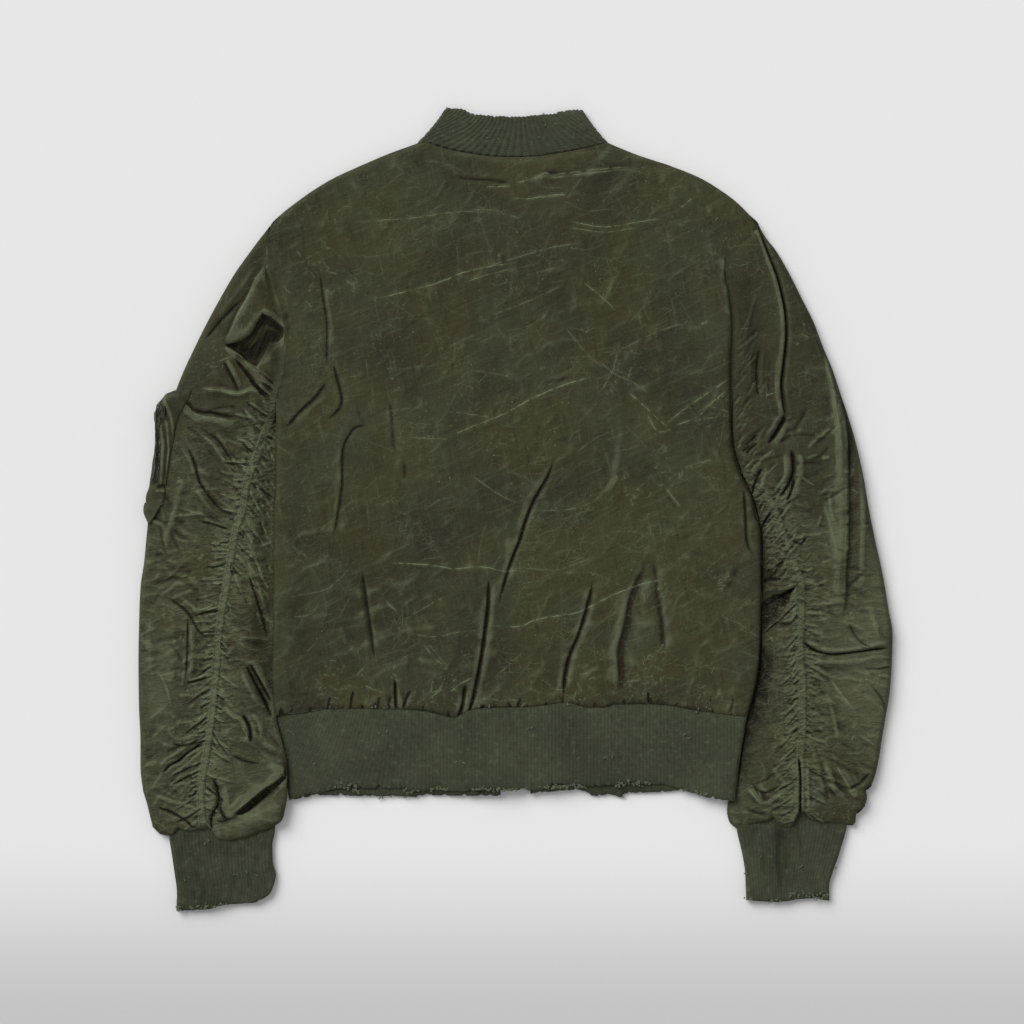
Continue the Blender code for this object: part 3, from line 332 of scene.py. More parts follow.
def crumple(x, y, size, seed, stretch=1.0):
    """Sharp crests that wander like those of crushed cloth, drawn out along x by stretch, below 0.5."""
    bent_x = x / stretch + 0.25 * size * ripple(x, y, 2.6 * size, seed + 1, 5)
    bent_y = y + 0.25 * size * ripple(x, y, 2.6 * size, seed + 2, 5)
    return 0.5 - np.abs(ripple(bent_x, bent_y, size, seed, 6))


def blurred(field, reach):
    """A field of heights, each averaged with its neighbours along rows and columns."""
    span = 2 * reach + 1
    for axis in (0, 1):
        pads = [(0, 0), (0, 0)]
        pads[axis] = (reach + 1, reach)
        total = np.moveaxis(np.cumsum(np.pad(field, pads, mode="edge"), axis=axis), axis, 0)
        field = np.moveaxis((total[span:] - total[:-span]) / span, 0, axis)
    return field


def rolled(away, width):
    """The share of its height that cloth keeps at a distance from a folded edge."""
    short = 1 - np.clip(away / width, 0, 1)
    return np.sqrt(1 - short * short)


def lengthwise(length, step, fold_start=False, fold_end=False):
    """Shares along a length, about a step apart and closer together at a folded end."""
    close = np.array((0.0, 0.12, 0.45, 1.0, 1.8, 2.8, 4.0))
    start = close if fold_start else close[:1]
    end = length - (close if fold_end else close[:1])[::-1]
    inner = np.linspace(start[-1], end[0], max(2, round((end[0] - start[-1]) / step)) + 1)
    return np.concatenate((start[:-1], inner, end[1:])) / length


def patch(left, right, low, top, across, up, pull=3.0):
    """A grid of x and y between four edges. left and right are (y, x) tables, low and top (x, y) ones."""
    u, v = np.meshgrid(across, up)
    left_y = left[0][0] + v * (left[-1][0] - left[0][0])
    right_y = right[0][0] + v * (right[-1][0] - right[0][0])
    x = (1 - u) * flow(left, left_y) + u * flow(right, right_y)
    y = (1 - u) * left_y + u * right_y
    for edge, row, weight in ((low, 0, (1 - v) ** pull), (top, -1, v**pull)):
        straight_x = (1 - u) * left[row][1] + u * right[row][1]
        straight_y = (1 - u) * left[row][0] + u * right[row][0]
        y += weight * (flow(edge, straight_x) - straight_y)
    return x, y


def scattered(x, y, count, rng):
    """Random places all over a panel."""
    return rng.uniform((x.min(), y.min()), (x.max(), y.max()), (count, 2))


def heading(turn):
    """A step of length 1 in a direction."""
    return np.array((math.cos(turn), math.sin(turn)))


def bowed(middle, half, bow):
    """A path of three points round a middle one, bowed to its left."""
    return middle - half, middle + bow * np.array((-half[1], half[0])), middle + half


def random_cracks(x, y, count, seed, lengths=(9, 56)):
    """Fine cracks all over a panel, most of them slanting up to the right."""
    rng = np.random.default_rng(seed)
    made = []
    for middle in scattered(x, y, count, rng):
        turn = math.radians(rng.normal(22, 20) if rng.random() < 0.6 else rng.uniform(0, 180))
        half = 0.5 * rng.uniform(*lengths) * heading(turn)
        path = bowed(middle, half, rng.normal(0, 0.12))
        made.append(Crack(rng.uniform(0.05, 0.3) * rng.uniform(0.5, 1.0), path))
    return made


def scuff_cracks(scuffs, seed):
    """The short cracks of the scuffs."""
    rng = np.random.default_rng(seed)
    made = []
    for scuff in scuffs:
        for _ in range(scuff.count):
            middle = np.array((scuff.x, scuff.y)) + rng.normal(0, 0.5 * scuff.reach, 2)
            way = heading(rng.uniform(0, math.pi))
            half = rng.uniform(1.0, 1.5 + 0.22 * scuff.reach) * way
            path = bowed(middle, half, rng.normal(0, 0.12))
            made.append(Crack(rng.uniform(0.2, 0.6), path))
    return made


CRACK_REACH = 5.0               # how far from a crack the cloth is marked
NO_CRACK = (9.0, 0.0, 0.0)      # far from any crack, and without strength
CRACK_LAYERS = 3


def crack_fields(x, y, cracks, layers=CRACK_LAYERS):
    """For each layer, how far a point lies from the nearest crack and how strong that crack is."""
    fields = [np.tile(NO_CRACK, (x.size, 1)) for _ in range(layers)]
    flat_x, flat_y = x.ravel(), y.ravel()
    for number, crack in enumerate(cracks):
        field = fields[number % layers]
        path = curve(crack.path, 6.0)
        near = np.flatnonzero(near_path(flat_x, flat_y, path, CRACK_REACH))
        if not near.size:
            continue
        away, share = nearest(flat_x[near], flat_y[near], path)
        strength = crack.strength * smooth(share / 0.15) * smooth((1 - share) / 0.15)
        strength *= smooth((CRACK_REACH - np.abs(away)) / (0.5 * CRACK_REACH))
        closer = (np.abs(away) < np.abs(field[near, 0])) & (strength > 0.3 * field[near, 1])
        field[near[closer], 0] = away[closer]
        field[near[closer], 1] = strength[closer]
    return fields


def new_piece(name, points, faces):
    """A smooth piece in the scene, from points in millimetres."""
    mesh = bpy.data.meshes.new(name)
    mesh.from_pydata((np.array(points) * MM).tolist(), [], faces)
    mesh.shade_smooth()
    piece = bpy.data.objects.new(name, mesh)
    bpy.context.scene.collection.objects.link(piece)
    return piece


def cloth_mesh(name, grid, flip=False):
    """A sheet of cloth from a grid of points."""
    rows, columns = grid.shape[:2]
    index = np.arange(rows * columns).reshape(rows, columns)
    corners = [index[:-1, :-1], index[:-1, 1:], index[1:, 1:], index[1:, :-1]]
    if flip:
        corners.reverse()
    return new_piece(name, grid.reshape(-1, 3), np.stack(corners, -1).reshape(-1, 4).tolist())


def add_field(obj, name, values):
    """A value, or a vector, at each point of a mesh."""
    kind, key = ("FLOAT", "value") if values.ndim == 1 else ("FLOAT_VECTOR", "vector")
    obj.data.attributes.new(name, kind, "POINT").data.foreach_set(key, values.astype(np.float32).ravel())


def add_wear_and_shade(obj, x, y, height, cracks, gathers=(0.0, 0.0), tints=(), faded=0.0, creases=()):
    """Marks worn ridges with painted shade in the hollows between them, painted shade in deep creases,
    cracked wax, strokes of fading, grime, painted shade and highlight, and how far the cloth is gathered both
    ways.
    """
    add_field(obj, "crease", crack_fields(x, y, creases, 1)[0])
    add_field(obj, "tint", (faded + relief(x, y, tints)).ravel())
    add_field(obj, "gathers", np.stack([gather + 0 * x for gather in (*gathers, 0.0)], -1))
    # The ridge field: the material lightens raised cloth as wear and darkens its hollows as painted shade.
    fine = height - blurred(blurred(height, 2), 2)
    broad = height - blurred(blurred(height, 6), 6)
    add_field(obj, "ridge", (fine + 0.5 * broad).ravel())
    for number, field in enumerate(crack_fields(x, y, cracks)):
        add_field(obj, f"crack_{number}", field)


def hem_pleats(seed):
    """The small pleats that gather the cloth into the hem band."""
    rng = np.random.default_rng(seed)
    made, x = [], PLEATS_FROM
    while x < PLEATS_TO:
        y = float(flow(HEM_SEAM, x))
        length = rng.uniform(3, 8) if rng.random() < 0.8 else rng.uniform(10, 30)
        lean = rng.normal(0, 0.2) * length
        path = ((x, y - 2), (x + 0.5 * lean, y + 0.5 * length), (x + 1.2 * lean, y + length))
        deep, left, right = rng.uniform((-1.8, 0.7, 0.7), (-0.4, 1.3, 1.3))
        made.append(Fold(deep, left, right, path, 0.3, 1.5))
        x += rng.uniform(3, 20)
    return made


def crease_shadow_lines(folds, least=1.2):
    """Painted shade: dark lines along the bottom of deep narrow creases."""
    return [Crack(min(1.0, -0.32 * fold.height), fold.path) for fold in folds
            if fold.height < -least and fold.left + fold.right < 6]


def small_creases(x, y, count, seed, heights):
    """Faint straight creases in all directions, as cloth keeps them once it has been crumpled."""
    rng = np.random.default_rng(seed)
    made = []
    for middle in scattered(x, y, count, rng):
        way = heading(rng.uniform(0, math.pi))
        half = 0.5 * rng.uniform(14, 70) * way
        height = rng.uniform(*heights) * rng.choice((-1, 1))
        made.append(Fold(height, *rng.uniform(1.5, 6.0, 2), (middle - half, middle + half), 0.4, 1.5))
    return made


def crushed(x, y):
    """The faint crushed relief all over the body."""
    return 0.4 * crumple(x, y, 70, 5) + 0.22 * crumple(x, y, 26, 8, 1.4)


def back_height(x, y):
    """The height of the back before its folds and its rounded edges."""
    left, right = flow(BODY_LEFT, y), flow(BODY_RIGHT, y)
    base = BACK_TOP + flow(LEFT_RAISE, y) * smooth(1 - (x - left - 8) / 34)
    base += flow(RIGHT_RAISE, y) * smooth(1 - (right - x - 8) / 38)
    waves = 0.55 * ripple(x, y, 170, 3) + 0.2 * ripple(x, y, 46, 4)
    return base + waves


def edge_middle(x, y):
    """The height of the folded edge between the back and the fronts."""
    return np.where(x < 0, flow(LEFT_MIDDLE, y), flow(RIGHT_MIDDLE, y))


def edge_share(x, y):
    """The share of its height that the body has near its folded edges: 0 at a fold and 1 inside."""
    outlines = [outline_path([row for row in table if row[0] >= SHOULDER])
                for table in (BODY_LEFT, BODY_RIGHT)]
    outlines += [outline_path(LEFT_OUTLINE), outline_path(RIGHT_OUTLINE)]
    outside = np.minimum.reduce([np.abs(nearest(x, y, path)[0]) for path in outlines])
    left = np.abs(nearest(x, y, outline_path(BODY_LEFT))[0])
    left = 1 - (1 - rolled(left, EDGE_ROLL)) * smooth((UNDERARM_LEFT - 2 - y) / 22) * (x < 0)
    right = np.abs(nearest(x, y, outline_path(BODY_RIGHT))[0])
    right = 1 - (1 - rolled(right, RIGHT_ROLL)) * smooth((RIGHT_FOLD_TOP - y) / 22) * (x > 0)
    return np.minimum.reduce((rolled(outside, EDGE_ROLL), left, right))


def make_back():
    """The back's upper side as one sheet, rounded down to its folded edges and dipped at its seams."""
    across = lengthwise(BACK_WIDE, 1.6, True, True)
    up = lengthwise(BACK_LONG, 2.1, False, True)
    x, y = patch(BODY_LEFT, BODY_RIGHT, HEM_SEAM, NECK_SEAM, across, up)
    y += 0.5 * ripple(x, 0 * x, 9, 24) * smooth(1 - (y - flow(HEM_SEAM, x)) / 5)
    pleats = hem_pleats(11)
    folds = list(BACK_FOLDS) + pleats + small_creases(x, y, 260, 12, (0.1, 0.36))
    at_armhole = (np.exp(-((x - flow(BODY_LEFT, y)) / 2.2) ** 2) * smooth((y - 110) / 14)
                  * smooth((272 - y) / 20))
    raised = relief(x, y, folds) + 0.9 * at_armhole + crushed(x, y)
    z = back_height(x, y) + raised
    middle = edge_middle(x, y)
    z = middle + (z - middle) * edge_share(x, y)

    at_hem = y - flow(HEM_SEAM, x)
    from_side = np.minimum(x - flow(BODY_LEFT, y), flow(BODY_RIGHT, y) - x)
    dip = SEAM_DIP + np.maximum(0, middle - 4) * (1 - rolled(from_side, 30)) * 0.9
    z = np.where(at_hem < 6, dip + (z - dip) * rolled(at_hem, 5.0), z)
    at_neck = flow(NECK_SEAM, x) - y
    z = np.where((at_neck < 4) & (y > 340), z - (z - SEAM_DIP) * (1 - rolled(at_neck, 1.6)) * 0.6, z)
    back = cloth_mesh("back_panel", np.stack((x, y, z), -1))

    cracks = list(BACK_CRACKS) + random_cracks(x, y, 640, 21) + scuff_cracks(BACK_SCUFFS, 22)
    drawn_up = smooth(1 - at_hem / 60) * (0.4 + 0.6 * smooth(0.5 + 0.6 * ripple(x, y, 60, 23)))
    creases = crease_shadow_lines(BACK_FOLDS) + crease_shadow_lines(pleats, 1.3)
    add_wear_and_shade(back, x, y, raised, cracks, (0.12, 0.12 + 0.2 * drawn_up), BACK_TINTS, 0.0, creases)
    return back


def set_inputs(tree, node, values):
    """Puts plain values or other nodes' outputs on a node's sockets."""
    for name, value in dict(values).items():
        if isinstance(value, bpy.types.NodeSocket):
            tree.links.new(value, node.inputs[name])
        else:
            node.inputs[name].default_value = value


def add_node(tree, kind, values=(), **settings):
    """A shader node with its settings and its inputs."""
    made = tree.nodes.new("ShaderNode" + kind)
    for name, setting in settings.items():
        setattr(made, name, setting)
    set_inputs(tree, made, values)
    return made


def linear(red, green, blue):
    """A colour as it looks on a screen, from 0 to 255, as the values a shader works with."""
    shown = (value / 255 for value in (red, green, blue))
    return (*(s / 12.92 if s <= 0.04045 else ((s + 0.055) / 1.055) ** 2.4 for s in shown), 1.0)


def noise(tree, coords, scale, detail, roughness, stretch=(1, 1, 1), turn=0.0):
    """Uneven noise around 0.5, drawn out along an axis where stretch is small, and turned."""
    if turn:
        coords = add_node(tree, "Mapping", {"Vector": coords, "Rotation": (0, 0, -turn)}).outputs[0]
    scaled = add_node(tree, "Mapping", {"Vector": coords, "Scale": stretch})
    values = {"Vector": scaled.outputs[0], "Scale": scale, "Detail": detail, "Roughness": roughness}
    return add_node(tree, "TexNoise", values).outputs[0]


def math_node(tree, operation, first, second=0.0):
    return add_node(tree, "Math", {0: first, 1: second}, operation=operation).outputs[0]


def remap(tree, value, from_low, from_high, to_low=0.0, to_high=1.0):
    """A value moved from one range to another along a soft step."""
    values = {"Value": value, 1: from_low, 2: from_high, 3: to_low, 4: to_high}
    return add_node(tree, "MapRange", values, interpolation_type="SMOOTHSTEP").outputs[0]


def mix_colour(tree, share, first, second):
    made = add_node(tree, "Mix", {0: share, 6: first, 7: second}, data_type="RGBA")
    return made.outputs[2]


def read_field(tree, name):
    return add_node(tree, "Attribute", attribute_name=name)


def new_shades(name):
    """An empty node group for a cloth's colour, roughness and height, with its output node."""
    group = bpy.data.node_groups.new(name, "ShaderNodeTree")
    for output, kind in (("Color", "Color"), ("Roughness", "Float"), ("Height", "Float")):
        group.interface.new_socket(output, in_out="OUTPUT", socket_type="NodeSocket" + kind)
    return group, group.nodes.new("NodeGroupOutput")


def make_wax_group():
    """The shades of waxed cotton: olive with brown clouds, brushed streaks, worn ridges and cracked wax, with
    shade painted into its hollows, puckers and creases.
    """
    group, out = new_shades("wax_shades")
    place = add_node(group, "TexCoord").outputs["Object"]
    clouds = noise(group, place, 9, 4, 0.55)
    brown_clouds = noise(group, place, 15, 5, 0.62, (1, 1, 2))
    brushed_across = noise(group, place, 260, 4, 0.65, (0.1, 1, 0.3), 0.42)
    brushed_along = noise(group, place, 210, 4, 0.65, (1, 0.13, 0.3), 0.2)
    grain = noise(group, place, 800, 3, 0.65)
    smudges = noise(group, place, 75, 6, 0.65)

    colour = mix_colour(group, remap(group, clouds, 0.36, 0.66), WAX_DARK, WAX_MID)
    colour = mix_colour(group, remap(group, brown_clouds, 0.42, 0.66, 0, 0.62), colour, WAX_BROWN)
    streaks = math_node(group, "MAXIMUM", brushed_across, brushed_along)
    colour = mix_colour(group, remap(group, streaks, 0.54, 0.8, 0, 0.34), colour, WAX_LIGHT)
    faint = math_node(group, "MINIMUM", brushed_across, brushed_along)
    colour = mix_colour(group, remap(group, faint, 0.46, 0.26, 0, 0.4), colour, WAX_DEEP)
    colour = mix_colour(group, remap(group, smudges, 0.52, 0.8, 0, 0.3), colour, WAX_LIGHT)
    colour = mix_colour(group, remap(group, smudges, 0.46, 0.24, 0, 0.38), colour, WAX_DEEP)

    # Raised cloth is worn lighter; the hollows between ridges get painted shade.
    ridge = read_field(group, "ridge").outputs["Fac"]
    worn = remap(group, ridge, 0.05, 0.7, 0, 0.72)
    worn = math_node(group, "MULTIPLY", worn, remap(group, smudges, 0.3, 0.6, 0.35, 1))
    colour = mix_colour(group, worn, colour, WAX_LIGHT)
    colour = mix_colour(group, remap(group, ridge, -0.08, -0.9, 0, 0.9), colour, WAX_DEEP)

    # Tint strokes: fading and painted highlight lighten; grime and painted shade darken, the deepest to
    # near-black painted shade.
    tint = read_field(group, "tint").outputs["Fac"]
    colour = mix_colour(group, remap(group, tint, 0.0, 1.0, 0, 0.7), colour, WAX_LIGHT)
    colour = mix_colour(group, remap(group, tint, 0.0, -0.7, 0, 0.75), colour, WAX_TAN)
    colour = mix_colour(group, remap(group, tint, -0.6, -1.4, 0, 0.9), colour, WAX_CREASE_SHADE)

    gathers = add_node(group, "SeparateXYZ", {0: read_field(group, "gathers").outputs["Vector"]})
    warp = add_node(group, "TexNoise", {"Vector": place, "Scale": 70.0, "Detail": 2.0}).outputs["Color"]
    bent = add_node(group, "VectorMath", {0: warp, 1: (0.012, 0.012, 0.012), 2: place},
                    operation="MULTIPLY_ADD").outputs[0]
    puckered, between = 0.0, 0.0
    for axis, stretch in (("X", (0.22, 1, 0.5)), ("Y", (1, 0.22, 0.5))):
        crests = noise(group, bent, 210, 2, 0.5, stretch)
        crests = math_node(group, "ABSOLUTE", math_node(group, "SUBTRACT", crests, 0.5))
        troughs = math_node(group, "MULTIPLY", remap(group, crests, 0.1, 0.24), gathers.outputs[axis])
        between = math_node(group, "ADD", between, troughs)
        crests = math_node(group, "MULTIPLY", remap(group, crests, 0.0, 0.16, 1, 0), gathers.outputs[axis])
        puckered = math_node(group, "ADD", puckered, crests)
    # The crests of the puckers are worn lighter; the troughs between them get painted shade.
    colour = mix_colour(group, remap(group, puckered, 0.35, 1.0, 0, 0.5), colour, WAX_LIGHT)
    colour = mix_colour(group, remap(group, between, 0.3, 1.0, 0, 0.55), colour, WAX_DEEP)

    ragged = math_node(group, "MULTIPLY", math_node(group, "SUBTRACT", noise(
        group, place, 330, 2, 0.6), 0.5), 1.8)
    broken = remap(group, noise(group, place, 120, 3, 0.6), 0.36, 0.58, 0.12, 1)
    lines = 0.0
    for layer in range(CRACK_LAYERS):
        field = add_node(group, "SeparateXYZ", {0: read_field(group, f"crack_{layer}").outputs["Vector"]})
        away = math_node(group, "ABSOLUTE", math_node(group, "ADD", field.outputs["X"], ragged))
        line = remap(group, away, 0.1, 0.78, 0.9, 0)
        halo = remap(group, away, 0.5, 3.5, 0.2, 0)
        line = math_node(group, "MULTIPLY", math_node(group, "ADD", line, halo), field.outputs["Y"])
        lines = line if layer == 0 else math_node(group, "MAXIMUM", lines, line)
    lines = math_node(group, "MULTIPLY", lines, broken)
    colour = mix_colour(group, lines, colour, WAX_CRACK)

    # Painted shade: near-black lines along deep creases and in the gaps under edges.
    crease = add_node(group, "SeparateXYZ", {0: read_field(group, "crease").outputs["Vector"]})
    crevice = math_node(group, "ABSOLUTE", math_node(group, "ADD", crease.outputs["X"], math_node(
        group, "MULTIPLY", ragged, 0.6)))
    crevice = math_node(group, "MULTIPLY", remap(group, crevice, 0.2, 1.2, 1, 0), crease.outputs["Y"])
    colour = mix_colour(group, crevice, colour, WAX_CREASE_SHADE)

    web = add_node(group, "TexVoronoi", {"Vector": bent, "Scale": 80.0},
                   feature="DISTANCE_TO_EDGE").outputs["Distance"]
    web = math_node(group, "MULTIPLY", remap(group, web, 0.008, 0.04, 1, 0), remap(
        group, noise(group, place, 22, 4, 0.6), 0.5, 0.72, 0.03, 0.26))
    colour = mix_colour(group, web, colour, WAX_CRACK)
    flecks = math_node(group, "MULTIPLY", remap(group, noise(group, place, 420, 2, 0.5), 0.66, 0.74), remap(
        group, noise(group, place, 45, 2, 0.5), 0.45, 0.65, 0, 0.6))
    colour = mix_colour(group, flecks, colour, WAX_CRACK)
    colour = mix_colour(group, remap(group, grain, 0.45, 0.7, 0, 0.12), colour, WAX_LIGHT)

    rough = remap(group, smudges, 0.3, 0.7, 0.62, 0.8)
    rough = math_node(group, "ADD", rough, math_node(group, "MULTIPLY", lines, 0.15))
    height = math_node(group, "MULTIPLY", grain, 0.2)
    for operation, mark, share in (
            ("ADD", smudges, 0.5), ("ADD", streaks, 0.6), ("ADD", puckered, 0.9),
            ("SUBTRACT", lines, 0.6), ("SUBTRACT", web, 0.8), ("SUBTRACT", crevice, 1.2)):
        height = math_node(group, operation, height, math_node(group, "MULTIPLY", mark, share))
    set_inputs(group, out, {"Color": colour, "Roughness": rough, "Height": height})
    return group


WAX_DARK = linear(45, 46, 30)
WAX_MID = linear(57, 60, 40)
WAX_LIGHT = linear(93, 98, 75)
WAX_CRACK = linear(112, 120, 92)
WAX_BROWN = linear(61, 55, 33)
# The deep olive is the dark of streaks and smudges and also painted shade in hollows and between puckers; the
# tan darkens strokes of grime and painted shade; the near-black is painted shade in creases and gaps.
WAX_DEEP = linear(25, 20, 11)
WAX_TAN = linear(49, 46, 30)
WAX_CREASE_SHADE = linear(14, 9, 3)
wax_shades = make_wax_group()


def new_material(name):
    """A material with its tree of nodes and its shader."""
    material = bpy.data.materials.new(name)
    material.use_nodes = True
    return material, material.node_tree, material.node_tree.nodes["Principled BSDF"]


def make_fabric(name, shades_group, bump_strength, bump_depth, specular, sheen=0.0):
    """A dull cloth whose colour, roughness and fine relief come from a group of shades."""
    material, tree, shader = new_material(name)
    shades = tree.nodes.new("ShaderNodeGroup")
    shades.node_tree = shades_group
    colour, roughness, height = shades.outputs
    bump = add_node(tree, "Bump", {"Height": height, "Strength": bump_strength, "Distance": bump_depth})
    set_inputs(tree, shader, {"Base Color": colour, "Roughness": roughness, "Normal": bump.outputs[0],
                              "Specular IOR Level": specular, "Sheen Weight": sheen})
    return material


waxed_cotton = make_fabric("waxed_cotton", wax_shades, 0.8, 0.0011, 0.13)


def dress(obj, material, slot_name, body, *nodes):
    """Gives a piece its material, the body it rides and the parts it stands for."""
    obj.data.materials.append(material)
    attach(obj, body)
    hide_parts(*nodes)


back = make_back()
dress(back, waxed_cotton, "waxed_cloth", "jacket", "back")

# ------------------------------------------------------------------ the two fronts
# The fronts lie under the back with their outer side down. They are folded over to the back at the side
# edges, cut out for the neck and turned in along the zip, which holds them a little off the surface.

LEFT_LIFT = ((-207, 0.0), (-190, 0.5), (-165, 4.5), (-141, 5.2), (96, 5.2), (110, 0.0))
RIGHT_LIFT = ((-207, 5.2), (29, 5.2), (45, 0.0))
ZIP_HALF, ZIP_LIFT = 14.9, 3.6      # where a front ends beside the zip, and how high the zip holds it
OFF_FLOOR = 0.15                    # the least height of the cloth over the surface
FRONT_WIDE, FRONT_LONG, FRONT_LOW = 225, 570, -203
FRONT_NECK = ((285.5, 0.0), (286.2, 6), (288, 15), (291, 24), (297, 38), (307, 53), (319, 64), (331, 71.5),
              (343, 76.5), (355, 79.5), (365.5, 80.5))
CLOTH_FOLD = ((0.0, 1.2), (0.5, 2.3), (5.0, 2.6), (11.0, 2.7))    # a turned edge: inwards and upwards


def over_zip(x):
    """How far the zip holds the cloth off the surface."""
    return ZIP_LIFT * smooth((78 - np.abs(x)) / 48)


def body_lift(x, y):
    """How far the fronts lie off the surface, over the zip and over the tucked sleeves."""
    over_left = flow(LEFT_LIFT, y) * smooth(1 - (x - flow(BODY_LEFT, y) - 12) / 42)
    over_right = flow(RIGHT_LIFT, y) * smooth(1 - (flow(BODY_RIGHT, y) - 12 - x) / 42)
    return np.maximum.reduce((over_zip(x), over_left, over_right))


def make_front(name, side):
    """One front, from its side edge to the zip, with its free edge turned in."""
    edge = BODY_LEFT if side < 0 else BODY_RIGHT
    middle_edge = [(FRONT_LOW, side * ZIP_HALF)] + [(y, side * (ZIP_HALF + away)) for y, away in FRONT_NECK]
    seam = [(x, y) for x, y in HEM_SEAM if side * x > 20] + [(side * ZIP_HALF, FRONT_LOW)]
    across = lengthwise(FRONT_WIDE, 5.0, side < 0, side > 0)
    left, right = (edge, middle_edge) if side < 0 else (middle_edge, edge)
    top = ((left[-1][1] - 0.1, left[-1][0]), (right[-1][1] + 0.1, right[-1][0]))
    x, y = patch(left, right, sorted(seam), top, across, lengthwise(FRONT_LONG, 4.6, False, True))
    lift = body_lift(x, y) + OFF_FLOOR + 0.35 * (1 + ripple(x, y, 90, 31)).clip(0)
    z = edge_middle(x, y) + (lift - edge_middle(x, y)) * edge_share(x, y)
    grid = np.stack((x, y, np.maximum(z, 0.05)), -1)
    rim = grid[:, -1] if side < 0 else grid[:, 0]
    room = smooth(np.abs(rim[:, 0] - flow(edge, rim[:, 1])) / 60)
    turned = [rim + np.stack((side * inwards * room, 0 * room, up * room), -1) for inwards, up in CLOTH_FOLD]
    grid = np.stack([*grid.transpose(1, 0, 2), *turned] if side < 0 else
                    [*turned[::-1], *grid.transpose(1, 0, 2)], 1)
    front = cloth_mesh(name, grid, flip=True)
    x, y = grid[..., 0], grid[..., 1]
    add_wear_and_shade(front, x, y, 0.2 * ripple(x, y, 24, 32), random_cracks(x, y, 60, 33 + side))
    return front


front_left = make_front("front_panel_left", -1)
front_right = make_front("front_panel_right", 1)
dress(front_left, waxed_cotton, "waxed_cloth", "jacket", "front_left")
dress(front_right, waxed_cotton, "waxed_cloth", "jacket", "front_right")

# ------------------------------------------------------------------ the sleeves
# Each sleeve is cut in two pieces of waxed cotton: a top sleeve round its outer edge and an under sleeve
# next to the body. Their back seam is felled, gathered and stitched twice, and puckers the cloth.

LEFT_SEAM = (
    (-319.5, -311.5), (-300, -313.5), (-277, -314.0), (-254, -310.0), (-225, -305.5), (-197, -301.8),
    (-169, -299.5), (-145, -298.0), (-122, -296.0), (-86, -290.0), (-51, -284.5), (-19, -278.5),
    (0, -271.8), (26, -268.0), (38, -263.7), (54, -257.8), (76, -250.5), (88, -245.5), (109, -239.6),
    (139, -233.7), (164, -231.2), (189, -232.7), (209, -239.2), (247, -248.2), (264, -249.7),
    (277, -247.7), (282.8, -245.7),
)
RIGHT_SEAM = (
    (-303, 284.4), (-247, 284.3), (-216, 286.3), (-169, 286.2), (-145, 283.8), (-110, 285.2),
    (-75, 285.0), (-56, 279.0), (-29, 268.4), (-6, 260.8), (14, 250.0), (33, 229.5), (48, 219.8),
    (71, 215.7), (109, 215.0), (148, 215.0), (180, 216.5), (215, 213.6), (236, 209.9), (250, 210.2),
    (264, 219.7), (277, 235.2), (282.8, 243.3),
)
LEFT_OUTER = ((-317, -363.5), *LEFT_OUTLINE[:-1], (282.8, -246.0))
RIGHT_OUTER = ((-312, 340.5), *RIGHT_OUTLINE[1:-1], (282.8, 243.9))
LEFT_INNER = ((-306, -231.5), (-290, -228.5), (-261, -227.8), (-236, -232.0), (-211, -238.5), (-181, -240.6),
              (-101, -238.8), (-1, -238.2), (59, -236.5), (84, -238.0), (105, -240.3))
RIGHT_INNER = ((-320, 221.5), (-313, 214.0), (-303, 211.8), (-286, 214.0), (-261, 218.5), (-236, 223.5),
               (-207, 229.5), (-181, 236.0), (-138, 239.0), (-66, 240.0), (-25, 237.5), (5, 232.0),
               (30, 227.2), (38, 225.0))
LEFT_END = ((-363.5, -317), (-359.5, -321), (-354.5, -325.0), (-348, -326), (-343, -326), (-339.5, -322.5),
            (-336, -320), (-329, -322), (-315.5, -320), (-311.5, -319.5), (-307.7, -318.7), (-304, -321),
            (-298, -329.3), (-286.5, -332), (-272.5, -329.3), (-253.5, -322), (-240.5, -316),
            (-234.5, -312), (-231.5, -306))
RIGHT_END = ((213, -311), (216, -316), (221.5, -320), (233.5, -316.5), (252.5, -313), (257, -309),
             (262, -315.3), (269, -318.8), (276, -317.6), (281, -308), (284.4, -303), (287.5, -304),
             (292.5, -308), (306.5, -314), (328, -315.3), (337.3, -316.0), (340.5, -312))
# Heights: of the crown along the middle, of the upper side next to the body, and of the lower side there.
LEFT_CROWN = ((-320, 10.5), (-303, 13), (-211, 14.0), (-140, 12.8), (-60, 13.2), (20, 14.0), (110, 15.0),
              (180, 15.0), (240, 13.5), (281, 9.0))
RIGHT_CROWN = ((-316, 10.0), (-300, 12.5), (-200, 13.5), (-110, 14.5), (-60, 14.0), (40, 13.5), (140, 14.0),
               (220, 13.0), (281, 10.8))
LEFT_AT_BODY = ((-320, 15.0), (-240, 15.5), (-212, 10.5), (-195, 5.6), (85, 5.4), (112, 10.2), (250, 10.3),
                (281, 6.5))
RIGHT_AT_BODY = (
    (-320, 8.5), (-300, 7), (-280, 5.2), (28, 4.9), (62, 7.2), (200, 8), (228, 9), (248, 10.5),
    (281, 10.7),
)
LEFT_UNDER_LIFT = ((-321, 0), (-310, 2), (-303, 6), (-286, 9.2), (-236, 9.2), (-211, 5.0), (-190, 0))
RIGHT_UNDER_LIFT = ((-320, 0), (0, 0))

